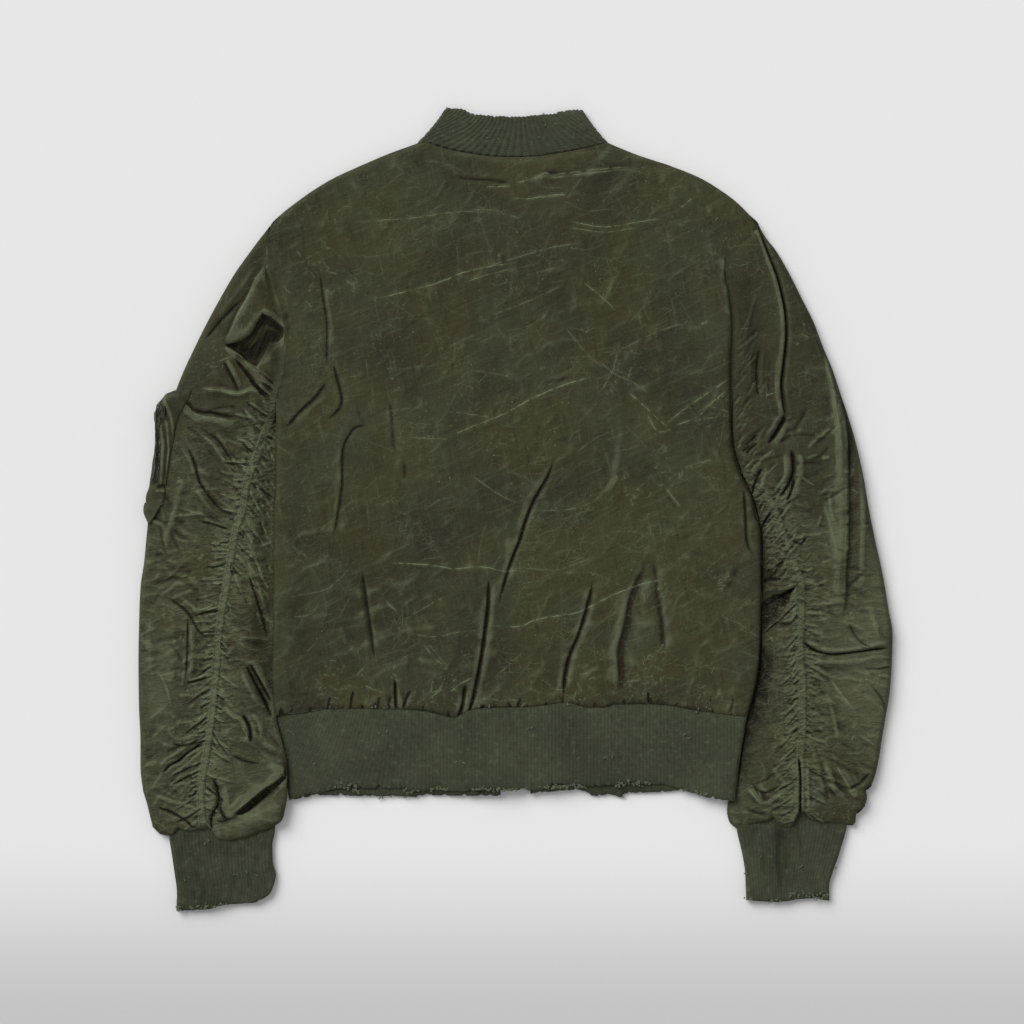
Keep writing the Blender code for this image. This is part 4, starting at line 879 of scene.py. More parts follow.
# A sleeve's outlines and heights, then the heights up it of the underarm, of the end of the gathered seam
# and from where it is level with the back, its marks, how faded it is and where it is pushed together.
Sleeve = namedtuple("Sleeve", "side outer seam inner end crown at_body under_lift underarm gathered level "
                              "folds hollows cracks scuffs tints gaps faded pushed")
LEFT_FOLDS = (
    Fold(5, 20, 2.2, ((-234.5, 285), (-239.5, 263), (-244.5, 252), (-250.5, 240), (-258.5, 229),
        (-263.5, 217), (-268.5, 207), (-274.5, 197), (-279.5, 186), (-285.5, 172), (-291.5, 163)), 0.12),
    Fold(-2, 2, 2, ((-272.5, 210), (-284.5, 197), (-294.5, 187), (-311.5, 167)), 0.3, 1.4),
    Fold(1.4, 3.6, 2.2, ((-253.5, 247), (-265.5, 233), (-277.5, 217), (-289.5, 201), (-301.5, 187))),
    Fold(1.1, 1.2, 1.2, ((-261.5, 147), (-257.5, 159), (-251.5, 173), (-247.5, 187)), 0.25),
    Fold(0.9, 1, 1, ((-255.5, 145), (-249.5, 157), (-243.5, 167), (-240.5, 177)), 0.25),
    Fold(0.9, 1, 1, ((-272.5, 157), (-261.5, 165), (-251.5, 175), (-243.5, 181)), 0.25),
    Fold(1.1, 1.2, 1.2, ((-268.5, 153), (-263.5, 163), (-256.5, 175), (-251.5, 187)), 0.25),
    Fold(1, 1.2, 1.2, ((-275.5, 158), (-268.5, 164), (-261.5, 173), (-254.5, 183)), 0.25),
    Fold(1.2, 6, 2, ((-287.5, 166), (-275.5, 170), (-265.5, 180), (-254.5, 196)), 0.2),
    Fold(1.4, 3.6, 1.2, ((-254.5, 199), (-245.5, 195), (-237.5, 189), (-228.5, 180)), 0.2),
    Fold(2.5, 1.2, 3.6, ((-291.5, 162), (-282.5, 158), (-274.5, 151), (-268.5, 145), (-259.5, 138),
        (-249.5, 130), (-241.5, 121)), 0.2),
    Fold(-2.7, 1.3, 1.3, ((-280.5, 151), (-269.5, 137), (-260.5, 125), (-254.5, 117), (-246.5, 110)),
        0.25, 1.4),
    Fold(1.9, 2.3, 2.3, ((-273.5, 150), (-263.5, 138), (-255.5, 128), (-247.5, 120))),
    Fold(-1.3, 1, 2, ((-292.5, 149), (-285.5, 137), (-279.5, 125), (-275.5, 115)), 0.25, 1.4),
    Fold(1.9, 2.2, 2.2, ((-289.5, 151), (-282.5, 139), (-276.5, 127), (-273.5, 119))),
    Fold(2.4, 3.2, 3.2, ((-315.5, 120), (-294.5, 118), (-276.5, 115), (-263.5, 119), (-252.5, 116)),
        0.25),
    Fold(-2.1, 2.1, 1.2, ((-331.5, 122), (-330.5, 113), (-326.5, 104), (-319.5, 98), (-312.5, 96),
        (-303.5, 96), (-291.5, 93), (-276.5, 91)), 0.2, 1.4),
    Fold(2.2, 1.8, 5.5, ((-333.5, 117), (-331.5, 107), (-325.5, 98), (-316.5, 91), (-303.5, 90),
        (-290.5, 87), (-275.5, 85)), 0.2),
    Fold(-1.1, 2, 2, ((-304.5, 98), (-294.5, 101), (-282.5, 102), (-274.5, 98)), 0.3, 1.5),
    Fold(1.4, 1.4, 2.4, ((-319.5, 79), (-301.5, 65), (-291.5, 50), (-281.5, 33))),
    Fold(-1.4, 1.2, 1, ((-314.5, 81), (-296.5, 68), (-285.5, 52), (-276.5, 37)), 0.3, 1.4),
    Fold(-2.2, 1.2, 1.2, ((-328.5, 64), (-320.5, 47), (-315.5, 28), (-307.5, 15), (-298.5, 4),
        (-291.5, -2), (-278.5, -7)), 0.2, 1.4),
    Fold(1.7, 2.2, 1.4, ((-312.5, 31), (-304.5, 19), (-295.5, 9), (-287.5, 3), (-277.5, -1))),
    Fold(1.5, 1.4, 2.6, ((-319.5, 25), (-311.5, 10), (-302.5, -1), (-293.5, -8), (-281.5, -12))),
    Fold(1.2, 1.9, 1.9, ((-324.5, 15), (-309.5, 19), (-290.5, 21)), 0.35),
    Fold(1.2, 1.9, 1.9, ((-343.5, -8), (-326.5, -6), (-310.5, -3)), 0.35),
    Fold(-1.1, 1.3, 1.3, ((-347.5, -14), (-341.5, -29), (-330.5, -51)), 0.3, 1.4),
    Fold(-0.9, 1.3, 1.3, ((-355.5, -11), (-352.5, -31), (-346.5, -53)), 0.3, 1.4),
    Fold(1.5, 1.8, 1.8, ((-260.5, 17), (-252.5, 11), (-243.5, 4))),
    Fold(-2, 2, 1.2, ((-256.5, 21), (-248.5, 15), (-241.5, 10)), 0.3, 1.4),
    Fold(-1.9, 1.3, 1.3, ((-347.5, -88), (-327.5, -103), (-314.5, -124), (-303.5, -129)), 0.3, 1.4),
    Fold(1.2, 2.2, 2.2, ((-341.5, -84), (-321.5, -98), (-308.5, -118)), 0.35),
    Fold(-1.7, 1, 1, ((-326.5, -106), (-327.5, -145), (-329.5, -175)), 0.3, 1.4),
    Fold(1.2, 2.9, 1.8, ((-322.5, -111), (-322.5, -145), (-324.5, -173)), 0.35),
    Fold(-2.4, 7, 5, ((-325.5, -162), (-315.5, -164), (-306.5, -163)), 0.35),
    Fold(-2.2, 1.6, 2.6, ((-343.5, -232), (-333.5, -237), (-314.5, -230), (-307.5, -224)), 0.25, 1.5),
    Fold(2, 2.5, 2.2, ((-345.5, -226), (-332.5, -230), (-315.5, -224))),
    Fold(-4.2, 1.3, 1.3, ((-352.5, -265), (-345.5, -256), (-335.5, -251), (-330.5, -246), (-310.5, -232)),
        0.15, 1.3),
    Fold(1.9, 2.9, 1.4, ((-355.5, -259), (-347.5, -249), (-337.5, -244), (-315.5, -227))),
    Fold(1.7, 1.4, 2.9, ((-347.5, -267), (-333.5, -259), (-319.5, -248), (-309.5, -241))),
    Fold(-4.2, 1.1, 1.1, ((-269, -156), (-259.5, -175), (-250.5, -193), (-243.5, -208)), 0.12, 1.4),
    Fold(-2.6, 0.9, 0.9, ((-265.5, -154), (-256.5, -170), (-248.5, -185), (-242.5, -195)), 0.15, 1.4),
    Fold(2.2, 2.2, 2.9, ((-261.5, -151), (-251.5, -171), (-242.5, -188))),
    Fold(1.7, 1.4, 2.9, ((-274.5, -159), (-264.5, -179), (-253.5, -199))),
    Fold(-3.6, 1.4, 1.2, ((-272.5, -205), (-265.5, -218), (-264, -234)), 0.2, 1.4),
    Fold(2.2, 1.9, 2.4, ((-292.5, -196), (-281.5, -206), (-272.5, -211), (-267.5, -226)), 0.25),
    Fold(1.7, 2.2, 1.4, ((-263.5, -203), (-255.5, -215), (-253.5, -231))),
    Fold(-1.5, 1, 1, ((-267.5, -60), (-257.5, -93), (-247.5, -129)), 0.25, 1.4),
    Fold(1, 2.2, 1.4, ((-262.5, -58), (-252.5, -91), (-243.5, -123))),
    Fold(2, 3.6, 3.6, ((-329.5, 39), (-337.5, 9), (-345.5, -21), (-351.5, -51)), 0.35),
    Fold(2, 6, 6, ((-363.5, -91), (-365.5, -141), (-363.5, -191)), 0.4),
    Fold(1.2, 6, 6, ((-337.5, -81), (-343.5, -131), (-345.5, -191), (-339.5, -221)), 0.4),
    Fold(2.2, 2.2, 2.2, ((-365.5, -283), (-345.5, -291), (-325.5, -297), (-310.5, -306))),
    Fold(-2.5, 1.6, 1.6, ((-359.5, -297), (-343.5, -303), (-329.5, -311), (-319.5, -321)), 0.25, 1.4),
    Fold(-4.4, 1.5, 1.5, ((-302.5, -269), (-297.5, -278), (-296, -293), (-301, -302), (-304, -310),
        (-303.5, -318), (-297.5, -322)), 0.12, 1.3),
    Fold(-2.4, 1.1, 1.1, ((-296.5, -294), (-289.5, -309), (-282.5, -309)), 0.2, 1.4),
    Fold(1.6, 1.6, 3, ((-269.5, -283), (-279.5, -295), (-289.5, -303))),
    Fold(2, 2.9, 1.8, ((-291.5, -275), (-288.5, -291), (-293.5, -305))),
    Fold(3.6, 0.9, 15, ((-226.5, -257), (-234.5, -267), (-249.5, -280), (-265.5, -293), (-277.5, -303),
        (-289.5, -310)), 0.1),
    Fold(1.5, 8, 4, ((-231.5, -295), (-247.5, -301), (-265.5, -310), (-283.5, -317), (-297.5, -321)),
        0.2),
    Fold(-1.4, 1.3, 1.3, ((-287.5, -243), (-271.5, -251), (-253.5, -255)), 0.35, 1.5),
    Fold(-1.2, 1.4, 1.4, ((-350.5, -131), (-337.5, -143), (-331.5, -159)), 0.35, 1.5),
    Fold(1.2, 1.6, 1.6, ((-359.5, -155), (-347.5, -181), (-341.5, -203)), 0.35),
)
# Deep hollows between folds: the outline, the depth and how wide the walls are.
Hollow = namedtuple("Hollow", "outline depth wall")
LEFT_HOLLOWS = (
    Hollow(((-290.5, 164), (-279.5, 156), (-269.5, 148), (-258.5, 141), (-251.5, 151), (-244.5, 164),
        (-236.5, 166), (-231.5, 172), (-230, 179.5), (-239.5, 188), (-252.5, 196), (-258.5, 187),
        (-264.5, 176), (-273.5, 169), (-290.5, 164)), 6.5, 2.6),
    Hollow(((-242.5, -274), (-253.5, -282), (-263.5, -290.5), (-272.5, -298), (-281.5, -305),
        (-272.5, -305.5), (-264.5, -301), (-254.5, -293), (-244.5, -284), (-235.5, -276), (-229, -269),
        (-232.5, -266.5), (-242.5, -274)), 6, 1.1),
)
RIGHT_HOLLOWS = (
    Hollow(((280.5, -76), (264.5, -84), (245.5, -93.5), (241.5, -101), (241.5, -127), (248.5, -123),
        (256.5, -115), (265.5, -106), (273.5, -93), (280.5, -76)), 7, 1.8),
)
# Strokes of fading, above 0, and of grime and painted shade by folds, hollows and the body, below 0.
LEFT_TINTS = (
    Fold(-0.6, 4, 15, ((-241.5, 273), (-253.5, 251), (-266.5, 229), (-275.5, 211), (-285.5, 191),
        (-297.5, 167)), 0.15),
    Fold(-0.35, 18, 18, ((-283.5, 191), (-301.5, 159), (-315.5, 125)), 0.2),
    Fold(-0.55, 9, 16, ((-289.5, 115), (-309.5, 107), (-325.5, 105)), 0.2),
    Fold(-0.5, 14, 14, ((-303.5, 79), (-283.5, 39), (-275.5, 9)), 0.2),
    Fold(0.45, 6, 6, ((-263.5, 247), (-271.5, 219), (-279.5, 197), (-289.5, 169)), 0.15),
    Fold(-0.3, 18, 18, ((-259.5, 259), (-277.5, 231), (-293.5, 203), (-307.5, 177)), 0.2),
    Fold(0.2, 5, 2, ((-253.5, 239), (-261.5, 219), (-269.5, 203), (-277.5, 187), (-283.5, 173)), 0.2),
    Fold(-0.45, 12, 12, ((-279.5, 109), (-293.5, 109), (-307.5, 109))),
    Fold(-0.4, 14, 14, ((-287.5, 39), (-297.5, 9), (-299.5, -21))),
    Fold(-0.4, 10, 10, ((-263.5, -61), (-259.5, -101), (-253.5, -131))),
    Fold(-0.35, 12, 12, ((-275.5, -226), (-265.5, -243), (-253.5, -253))),
    Fold(-1.3, 10, 10, ((-279.5, 160), (-261.5, 157), (-247.5, 171), (-243.5, 183)), 0.12, 3),
    Fold(-0.3, 10, 10, ((-325.5, -31), (-319.5, -71), (-321.5, -111))),
    Fold(0.3, 14, 14, ((-353.5, -111), (-357.5, -171), (-353.5, -231))),
    Fold(-0.3, 9, 9, ((-301.5, -101), (-301.5, -141), (-305.5, -181))),
    Fold(-0.4, 5, 8, ((-241.5, -51), (-243.5, -111), (-245.5, -171), (-243.5, -231)), 0.2),
    Fold(-1.4, 4, 4, ((-235.5, -274), (-247.5, -285), (-259.5, -294), (-271.5, -303)), 0.1, 3),
    Fold(-0.5, 12, 14, ((-305.5, 59), (-299.5, 9), (-303.5, -41)), 0.25),
    Fold(-0.45, 16, 16, ((-269.5, -91), (-263.5, -131), (-265.5, -171))),
    Fold(0.35, 10, 10, ((-233.5, -291), (-253.5, -303), (-271.5, -313), (-289.5, -319)), 0.25),
    Fold(-0.35, 14, 14, ((-355.5, 89), (-361.5, 39), (-359.5, -31))),
)
LEFT_CRACKS = (
    Crack(0.9, ((-291.5, 162), (-283.5, 159), (-274.5, 153), (-268.5, 146), (-259.5, 139),
        (-252.5, 136))),
    Crack(0.8, ((-252.5, 198), (-245.5, 193), (-237.5, 186), (-227.5, 176))),
    Crack(0.8, ((-315.5, 121), (-294.5, 118), (-276.5, 115), (-263.5, 119), (-252.5, 116))),
    Crack(0.7, ((-331.5, 117), (-328.5, 104), (-317.5, 94), (-303.5, 92), (-290.5, 89), (-276.5, 88))),
    Crack(0.6, ((-235.5, 283), (-239.5, 263), (-249.5, 241), (-263.5, 217), (-274.5, 197),
        (-285.5, 172))),
    Crack(0.6, ((-319.5, 79), (-301.5, 65), (-291.5, 50), (-281.5, 34))),
    Crack(0.6, ((-324.5, 16), (-309.5, 19), (-291.5, 21))),
    Crack(0.6, ((-343.5, -7), (-326.5, -6), (-310.5, -3))),
    Crack(0.8, ((-352.5, -261), (-343.5, -253), (-331.5, -246), (-312.5, -231))),
    Crack(0.8, ((-291.5, -197), (-281.5, -207), (-272.5, -211), (-266.5, -225))),
    Crack(0.6, ((-365.5, -91), (-351.5, -95), (-335.5, -97))),
    Crack(0.6, ((-261.5, 16), (-252.5, 11), (-243.5, 4))),
    Crack(0.5, ((-312.5, 143), (-291.5, 149), (-279.5, 155))),
)
LEFT_SCUFFS = (
    Scuff(-334, 30, 16, 12), Scuff(-330, -120, 20, 14), Scuff(-340, -230, 20, 16), Scuff(-280, -230, 16, 14),
    Scuff(-300, 150, 16, 12), Scuff(-270, 190, 14, 8), Scuff(-350, -60, 14, 9), Scuff(-345, -290, 14, 9),
)
RIGHT_FOLDS = (
    Fold(2.5, 1, 4, ((238.5, 287), (247.5, 262), (259.5, 230), (266.5, 199), (268, 173), (265.5, 147),
        (263.1, 126), (264.5, 109), (267.5, 89)), 0.05),
    Fold(-3.4, 1.8, 0.9, ((241.5, 285), (249.5, 262), (261.5, 230), (268.5, 199), (270, 173),
        (267.5, 147), (265.1, 126), (266.5, 109), (269.5, 91)), 0.08, 1.5),
    Fold(1.2, 1.7, 1.7, ((241.5, 220), (238.5, 208), (234.5, 194), (231.5, 180), (226.5, 172)), 0.25),
    Fold(-1, 2.6, 2, ((222.5, 209), (225.5, 179), (226.5, 157)), 0.35),
    Fold(1, 1.2, 1.2, ((261.5, 157), (259.5, 134), (260.5, 104))),
    Fold(-1.2, 1, 1, ((255.5, 153), (252.5, 131), (254.5, 105)), 0.3, 1.4),
    Fold(-2.4, 1, 1, ((243.5, 161), (241, 147), (240.5, 133), (242.5, 110)), 0.2, 1.4),
    Fold(1.2, 1.4, 1.7, ((248.5, 163), (246.5, 147), (245.5, 131), (247.5, 111))),
    Fold(1, 1.4, 2.2, ((236.5, 163), (234.5, 145), (234.5, 129), (236.5, 111))),
    Fold(2.4, 1, 5, ((308.5, 157), (313.5, 137), (318.5, 113), (323.5, 81), (325.5, 51), (326.5, 19)),
        0.2),
    Fold(-2, 2, 1, ((322.5, 118), (329.5, 93), (333.5, 63), (334.5, 29)), 0.2, 1.4),
    Fold(-4.2, 1.6, 1.5, ((267.5, 95), (267, 88), (259.5, 75), (251.5, 64.4)), 0.2, 1.3),
    Fold(2, 2.2, 2.2, ((263.5, 94), (257.5, 82), (249.5, 71))),
    Fold(-2.7, 1.6, 1.6, ((241.5, 66), (229.5, 55)), 0.3, 1.4),
    Fold(-4.2, 1.4, 1.4, ((275.5, 60), (277.5, 45), (276.5, 33), (267, 16), (260.5, 14)), 0.15, 1.3),
    Fold(1.9, 2.2, 1.9, ((283.5, 57), (285.5, 39), (281.5, 23))),
    Fold(1.9, 1.9, 2.2, ((268.5, 57), (270.5, 41), (267.5, 29), (259.5, 19))),
    Fold(-3, 1.1, 1.1, ((278.5, 31), (275.5, 19), (270.5, 7)), 0.25, 1.4),
    Fold(-3.8, 1.3, 1.2, ((246.5, 41), (240.5, 29), (236.5, 12)), 0.2, 1.3),
    Fold(2, 1.9, 1.9, ((252.5, 43), (246.5, 25), (241.5, 11))),
    Fold(-4, 1.3, 1.3, ((256.5, -2), (250.5, -11), (244.5, -25)), 0.2, 1.3),
    Fold(-1.8, 1, 1, ((265.5, -51), (260.5, -61), (252.5, -74)), 0.25, 1.4),
    Fold(1.6, 1.3, 1.3, ((250.5, -39), (259.5, -31), (266.5, -21))),
    Fold(-1.6, 1, 1, ((226.5, 57), (234.5, 63)), 0.3, 1.4),
    Fold(-1.8, 1, 1, ((228.5, 63), (237.5, 70), (242.5, 75)), 0.3, 1.4),
    Fold(2.2, 1.7, 1.7, ((260.5, -11), (250.5, -24), (245.5, -34))),
    Fold(-1.7, 1, 1, ((270.5, -47), (257.5, -69)), 0.3, 1.4),
    Fold(1.4, 1.4, 1.4, ((266.5, -43), (253.5, -65))),
    Fold(-2.2, 1.2, 1.2, ((275.5, -31), (285.5, -35), (290.5, -28)), 0.25, 1.4),
    Fold(1.5, 1.6, 1.6, ((274.5, -25), (284.5, -29), (290.5, -22))),
    Fold(3.4, 8, 14, ((320.5, 113), (323.5, 79), (322.5, 48), (323.5, 9), (322.5, -36), (320.5, -59),
        (319.5, -97), (310.5, -115)), 0.15),
    Fold(-1.8, 4.5, 1.6, ((330.5, 111), (334.5, 79), (333.5, 48), (334.5, 9), (333.5, -36), (331.5, -59),
        (329.5, -97), (320.5, -117)), 0.15, 1.6),
    Fold(1.7, 3.6, 3.6, ((344.5, 79), (346.5, 39), (346.5, -11), (345.5, -57), (346.5, -91))),
    Fold(1.7, 1.7, 1.7, ((312.5, 18), (315.5, -6), (321.5, -22))),
    Fold(1.4, 1.4, 1.4, ((305.5, -5), (301.5, -19))),
    Fold(1.2, 1.6, 1.6, ((304.5, 50), (314.5, 52))),
    Fold(-6, 7, 8, ((246.5, -111), (257.5, -102), (269.5, -94), (277.5, -86))),
    Fold(-3, 1.6, 7, ((281.5, -77), (264.5, -89), (246.5, -98)), 0.2, 1.5),
    Fold(2.5, 2.9, 1.4, ((282.5, -73), (268.5, -79), (255.5, -79), (243.5, -84)), 0.25),
    Fold(-2.9, 2, 2, ((266.5, -70), (254.5, -71), (242.5, -74)), 0.3, 1.4),
    Fold(2.5, 3.2, 1.4, ((246.5, -126), (258.5, -114), (275.5, -111), (281.5, -95)), 0.25),
    Fold(-3.8, 1.5, 1.5, ((283.5, -129), (292.5, -137), (302.5, -143), (316.5, -145), (336.5, -143),
        (358.5, -140), (376.5, -139)), 0.15, 1.4),
    Fold(2.5, 3.2, 1.7, ((284.5, -130), (299.5, -137), (315.5, -142), (339.5, -141), (359.5, -136),
        (374.5, -133)), 0.2),
    Fold(2, 1.7, 3.6, ((290.5, -147), (310.5, -153), (336.5, -151), (358.5, -148), (373.5, -147)), 0.25),
    Fold(1.4, 1.7, 1.7, ((358.5, -166), (377.5, -168))),
    Fold(-1.5, 1.6, 1.6, ((346.5, -159), (362.5, -160), (376.5, -157))),
    Fold(-1.4, 1.6, 1.6, ((354.5, -175), (366.5, -191), (370.5, -207)), 0.35),
    Fold(1.7, 3.6, 3.6, ((350.5, -91), (358.5, -113), (364.5, -131)), 0.35),
    Fold(-1.7, 2, 2, ((332.5, -113), (342.5, -131), (356.5, -139)), 0.3, 1.5),
    Fold(-4.2, 1.1, 1.1, ((282.5, -246), (284.5, -266), (284.5, -287), (284.5, -309)), 0.15, 1.3),
    Fold(2, 2.2, 2.9, ((290.5, -251), (292.5, -281), (292.5, -303))),
    Fold(2.2, 2.2, 2.2, ((230.5, -277), (239.5, -286), (247.5, -294), (256.5, -290), (267.5, -284)),
        0.25),
    Fold(-1.4, 1.4, 1.4, ((234.5, -272), (244.5, -283), (254.5, -282), (266.5, -275)), 0.3, 1.4),
    Fold(-1.2, 2, 2, ((226.5, -297), (240.5, -303), (254.5, -305)), 0.3, 1.4),
    Fold(2, 2.9, 2.9, ((306.5, -251), (316.5, -271), (322.5, -291)), 0.35),
    Fold(-1, 2, 2, ((296.5, -231), (304.5, -251), (310.5, -281), (312.5, -303)), 0.3, 1.4),
    Fold(0.8, 1.5, 1.5, ((313.5, -169), (326.5, -187), (339.5, -203))),
    Fold(0.8, 1.5, 1.5, ((319.5, -255), (330.5, -273), (339.5, -291))),
    Fold(-1.7, 2, 2, ((354.5, -263), (342.5, -275), (330.5, -281)), 0.3, 1.4),
    Fold(1.4, 2.2, 2.2, ((310.5, -181), (318.5, -211), (322.5, -235)), 0.35),
)
# Strokes of fading, above 0, and of grime and painted shade by folds, hollows and the body, below 0.
RIGHT_TINTS = (
    Fold(-0.9, 18, 16, ((226.5, 259), (228.5, 209), (232.5, 169), (234.5, 119), (236.5, 79), (240.5, 39)),
        0.15),
    Fold(-1, 2.2, 0.6, ((241.5, 285), (249.5, 262), (261.5, 230), (268.5, 199), (270, 173), (267.5, 147),
        (265.1, 126), (266.5, 109), (269.5, 91)), 0.08),
    Fold(-1.4, 7, 7, ((271.5, -85), (258.5, -95), (248.5, -103), (245.5, -121)), 0.15, 3),
    Fold(0.55, 6, 3, ((306.5, 17), (312.5, -7), (317.5, -36), (320.5, -59)), 0.2),
    Fold(-0.6, 6, 6, ((334.5, 79), (339.5, 29), (339.5, -31), (334.5, -91)), 0.2),
    Fold(-0.45, 14, 14, ((290.5, 89), (296.5, 39), (292.5, -21))),
    Fold(-0.5, 12, 12, ((252.5, -11), (260.5, -51), (264.5, -91), (260.5, -131)), 0.2),
    Fold(-0.45, 13, 13, ((248.5, 219), (252.5, 169), (252.5, 119)), 0.25),
    Fold(-0.3, 12, 2, ((254.5, 259), (265.5, 228), (273.5, 199), (274.5, 169), (271.5, 129)), 0.2),
    Fold(0.45, 4, 5, ((308.5, 157), (313.5, 137), (318.5, 113), (323.5, 81), (326.5, 39), (325.5, -11),
        (324.5, -51)), 0.15),
    Fold(-1.1, 17, 3, ((246.5, -131), (240.5, -171), (234.5, -211), (229.5, -251), (225.5, -287)), 0.15),
    Fold(-0.7, 24, 3, ((247.5, -31), (247.5, -91), (246.5, -171), (236.5, -231)), 0.2),
    Fold(-1.4, 5, 3, ((245.5, -131), (242.5, -159), (238.5, -183), (232.5, -207), (227.5, -231)), 0.15),
    Fold(0.4, 26, 26, ((330.5, -71), (332.5, -171), (330.5, -231))),
    Fold(0.35, 18, 18, ((352.5, -11), (360.5, -91), (360.5, -191), (346.5, -281)), 0.2),
    Fold(0.25, 10, 10, ((289.5, 69), (290.5, 9), (296.5, -51))),
    Fold(-0.45, 10, 6, ((246.5, 29), (246.5, -31), (248.5, -91)), 0.25),
    Fold(-0.35, 10, 10, ((346.5, 109), (356.5, 59), (362.5, 9))),
)
RIGHT_CRACKS = (
    Crack(0.8, ((310.5, 141), (315.5, 126), (320.5, 111), (324.5, 89))),
    Crack(0.7, ((284.5, -132), (299.5, -139), (315.5, -143), (339.5, -142), (360.5, -137))),
    Crack(0.6, ((360.5, -166), (376.5, -168))),
    Crack(0.6, ((281.5, -75), (268.5, -80), (255.5, -80), (244.5, -85))),
    Crack(0.6, ((258.5, -13), (249.5, -24), (245.5, -33))),
    Crack(0.5, ((240.5, 283), (250.5, 261), (259.5, 233), (264.5, 209), (268.5, 184), (268.5, 169))),
    Crack(0.5, ((329.5, 77), (328.5, 48), (329.5, 10), (328.5, -36), (326.5, -59))),
    Crack(0.6, ((230.5, -277), (247.5, -294), (266.5, -284))),
    Crack(0.8, ((313.5, -169), (326.5, -187), (339.5, -203))),
    Crack(0.6, ((319.5, -255), (330.5, -273), (339.5, -291))),
    Crack(0.7, ((306.5, 157), (312.5, 137), (317.5, 113), (322.5, 81), (325.5, 54))),
    Crack(0.5, ((304.5, 50), (308.5, 53), (313.5, 52))),
    Crack(0.5, ((306.5, 7), (312.5, -11), (317.5, -31), (320.5, -51))),
    Crack(0.6, ((240.5, -277), (250.5, -295), (268.5, -279))),
    Crack(0.6, ((330.5, -207), (344.5, -219), (356.5, -229))),
)
RIGHT_SCUFFS = (
    Scuff(330, 20, 18, 12), Scuff(320, -100, 20, 14), Scuff(330, -230, 20, 16), Scuff(265, -230, 14, 12),
    Scuff(250, 120, 14, 10), Scuff(290, 170, 14, 8), Scuff(345, -170, 16, 10), Scuff(250, -120, 14, 10),
)
# Painted shade: near-black lines in the gaps under an edge or at the bottom of a fold.
LEFT_GAPS = (
    Crack(1, ((-231, -260), (-229, -265), (-230.5, -270))),
    Crack(0.9, ((-299.5, -311), (-290.5, -312), (-283.5, -309.5))),
    Crack(0.8, ((-242.5, -274), (-253.5, -282), (-263.5, -290.5), (-272.5, -298), (-281.5, -305))),
    Crack(0.8, ((-289.5, 163), (-281.5, 159), (-272.5, 153), (-265.5, 147))),
    Crack(0.7, ((-252.5, 194.5), (-244.5, 191), (-235.5, 184), (-229.5, 178))),
    Crack(0.7, ((-352.5, -265), (-345.5, -256), (-335.5, -251))),
)
RIGHT_GAPS = (
    Crack(1, ((217, 129), (217, 109), (216.5, 89), (217.3, 69), (221, 51), (228.5, 30.4), (237.5, 11.5),
        (244.7, -15.7), (246.7, -30), (246.7, -70), (247.5, -91), (247.5, -111))),
    Crack(1, ((246, -111), (245.5, -136), (244.5, -159), (241.5, -181), (239, -196), (234.5, -213))),
    Crack(1, ((243.5, -131), (242.5, -159), (239.5, -183), (234.5, -203))),
    Crack(0.9, ((231.5, -217), (227.5, -236), (224.5, -256), (222.5, -277))),
    Crack(1, ((268.5, 94), (268, 88), (260.5, 75), (252.5, 64.4))),
    Crack(1, ((246.5, 41), (240.5, 29), (236.5, 12))),
    Crack(1, ((279.5, -79), (264.5, -88), (247.5, -99))),
    Crack(0.9, ((283.5, -91), (273.5, -102), (259.5, -115), (246.5, -127))),
)

LEFT_SLEEVE = Sleeve(
    -1, LEFT_OUTER, LEFT_SEAM, LEFT_INNER, LEFT_END, LEFT_CROWN, LEFT_AT_BODY, LEFT_UNDER_LIFT,
    underarm=104, gathered=124, level=112, folds=LEFT_FOLDS, hollows=LEFT_HOLLOWS, cracks=LEFT_CRACKS,
    scuffs=LEFT_SCUFFS, tints=LEFT_TINTS, gaps=LEFT_GAPS, faded=0.25, pushed=(-120, 60),
)
RIGHT_SLEEVE = Sleeve(
    1, RIGHT_OUTER, RIGHT_SEAM, RIGHT_INNER, RIGHT_END, RIGHT_CROWN, RIGHT_AT_BODY, RIGHT_UNDER_LIFT,
    underarm=36, gathered=112, level=226, folds=RIGHT_FOLDS, hollows=RIGHT_HOLLOWS, cracks=RIGHT_CRACKS,
    scuffs=RIGHT_SCUFFS, tints=RIGHT_TINTS, gaps=RIGHT_GAPS, faded=0.12, pushed=(-70, 175),
)
# Which way the puckers of the back seam point, in degrees, on its outer and on its inner side.
PUCKERS_OUT = ((-330, 35), (-240, 32), (-150, 22), (-60, 4), (10, -22), (90, -32), (140, -38))
PUCKERS_IN = ((-330, 36), (-240, 40), (-140, 52), (-60, 54), (0, 52), (60, 46), (110, 30))
BAND_HALF = 4.8                                        # half the width of the felled seam
SEAM_STEPS = (0.0, 0.9, 1.8, 2.6, 3.3, 4.0, 4.8)       # its points, from its middle out
ARMHOLE_TOP = 282.8
# What differs between a sleeve's two pieces: their size, whether they reach the edge by the body, how many
# creases and cracks they have, the longest crack and the seeds of their marks.
Cut = namedtuple("Cut", "wide long by_body creases cracks longest seeds")
TOP_CUT = Cut(106, 600, False, 60, 170, 46, (2, 3, 7))
UNDER_CUT = Cut(62, 425, True, 40, 80, 40, (5, 6, 8))


def pucker_share(sleeve, y):
    """How strongly the seam puckers the cloth: less on the right sleeve, and least next to the body."""
    if sleeve.side < 0:
        return 1
    return 0.5 if y > -90 else 0.8 if y > -230 else 0.6


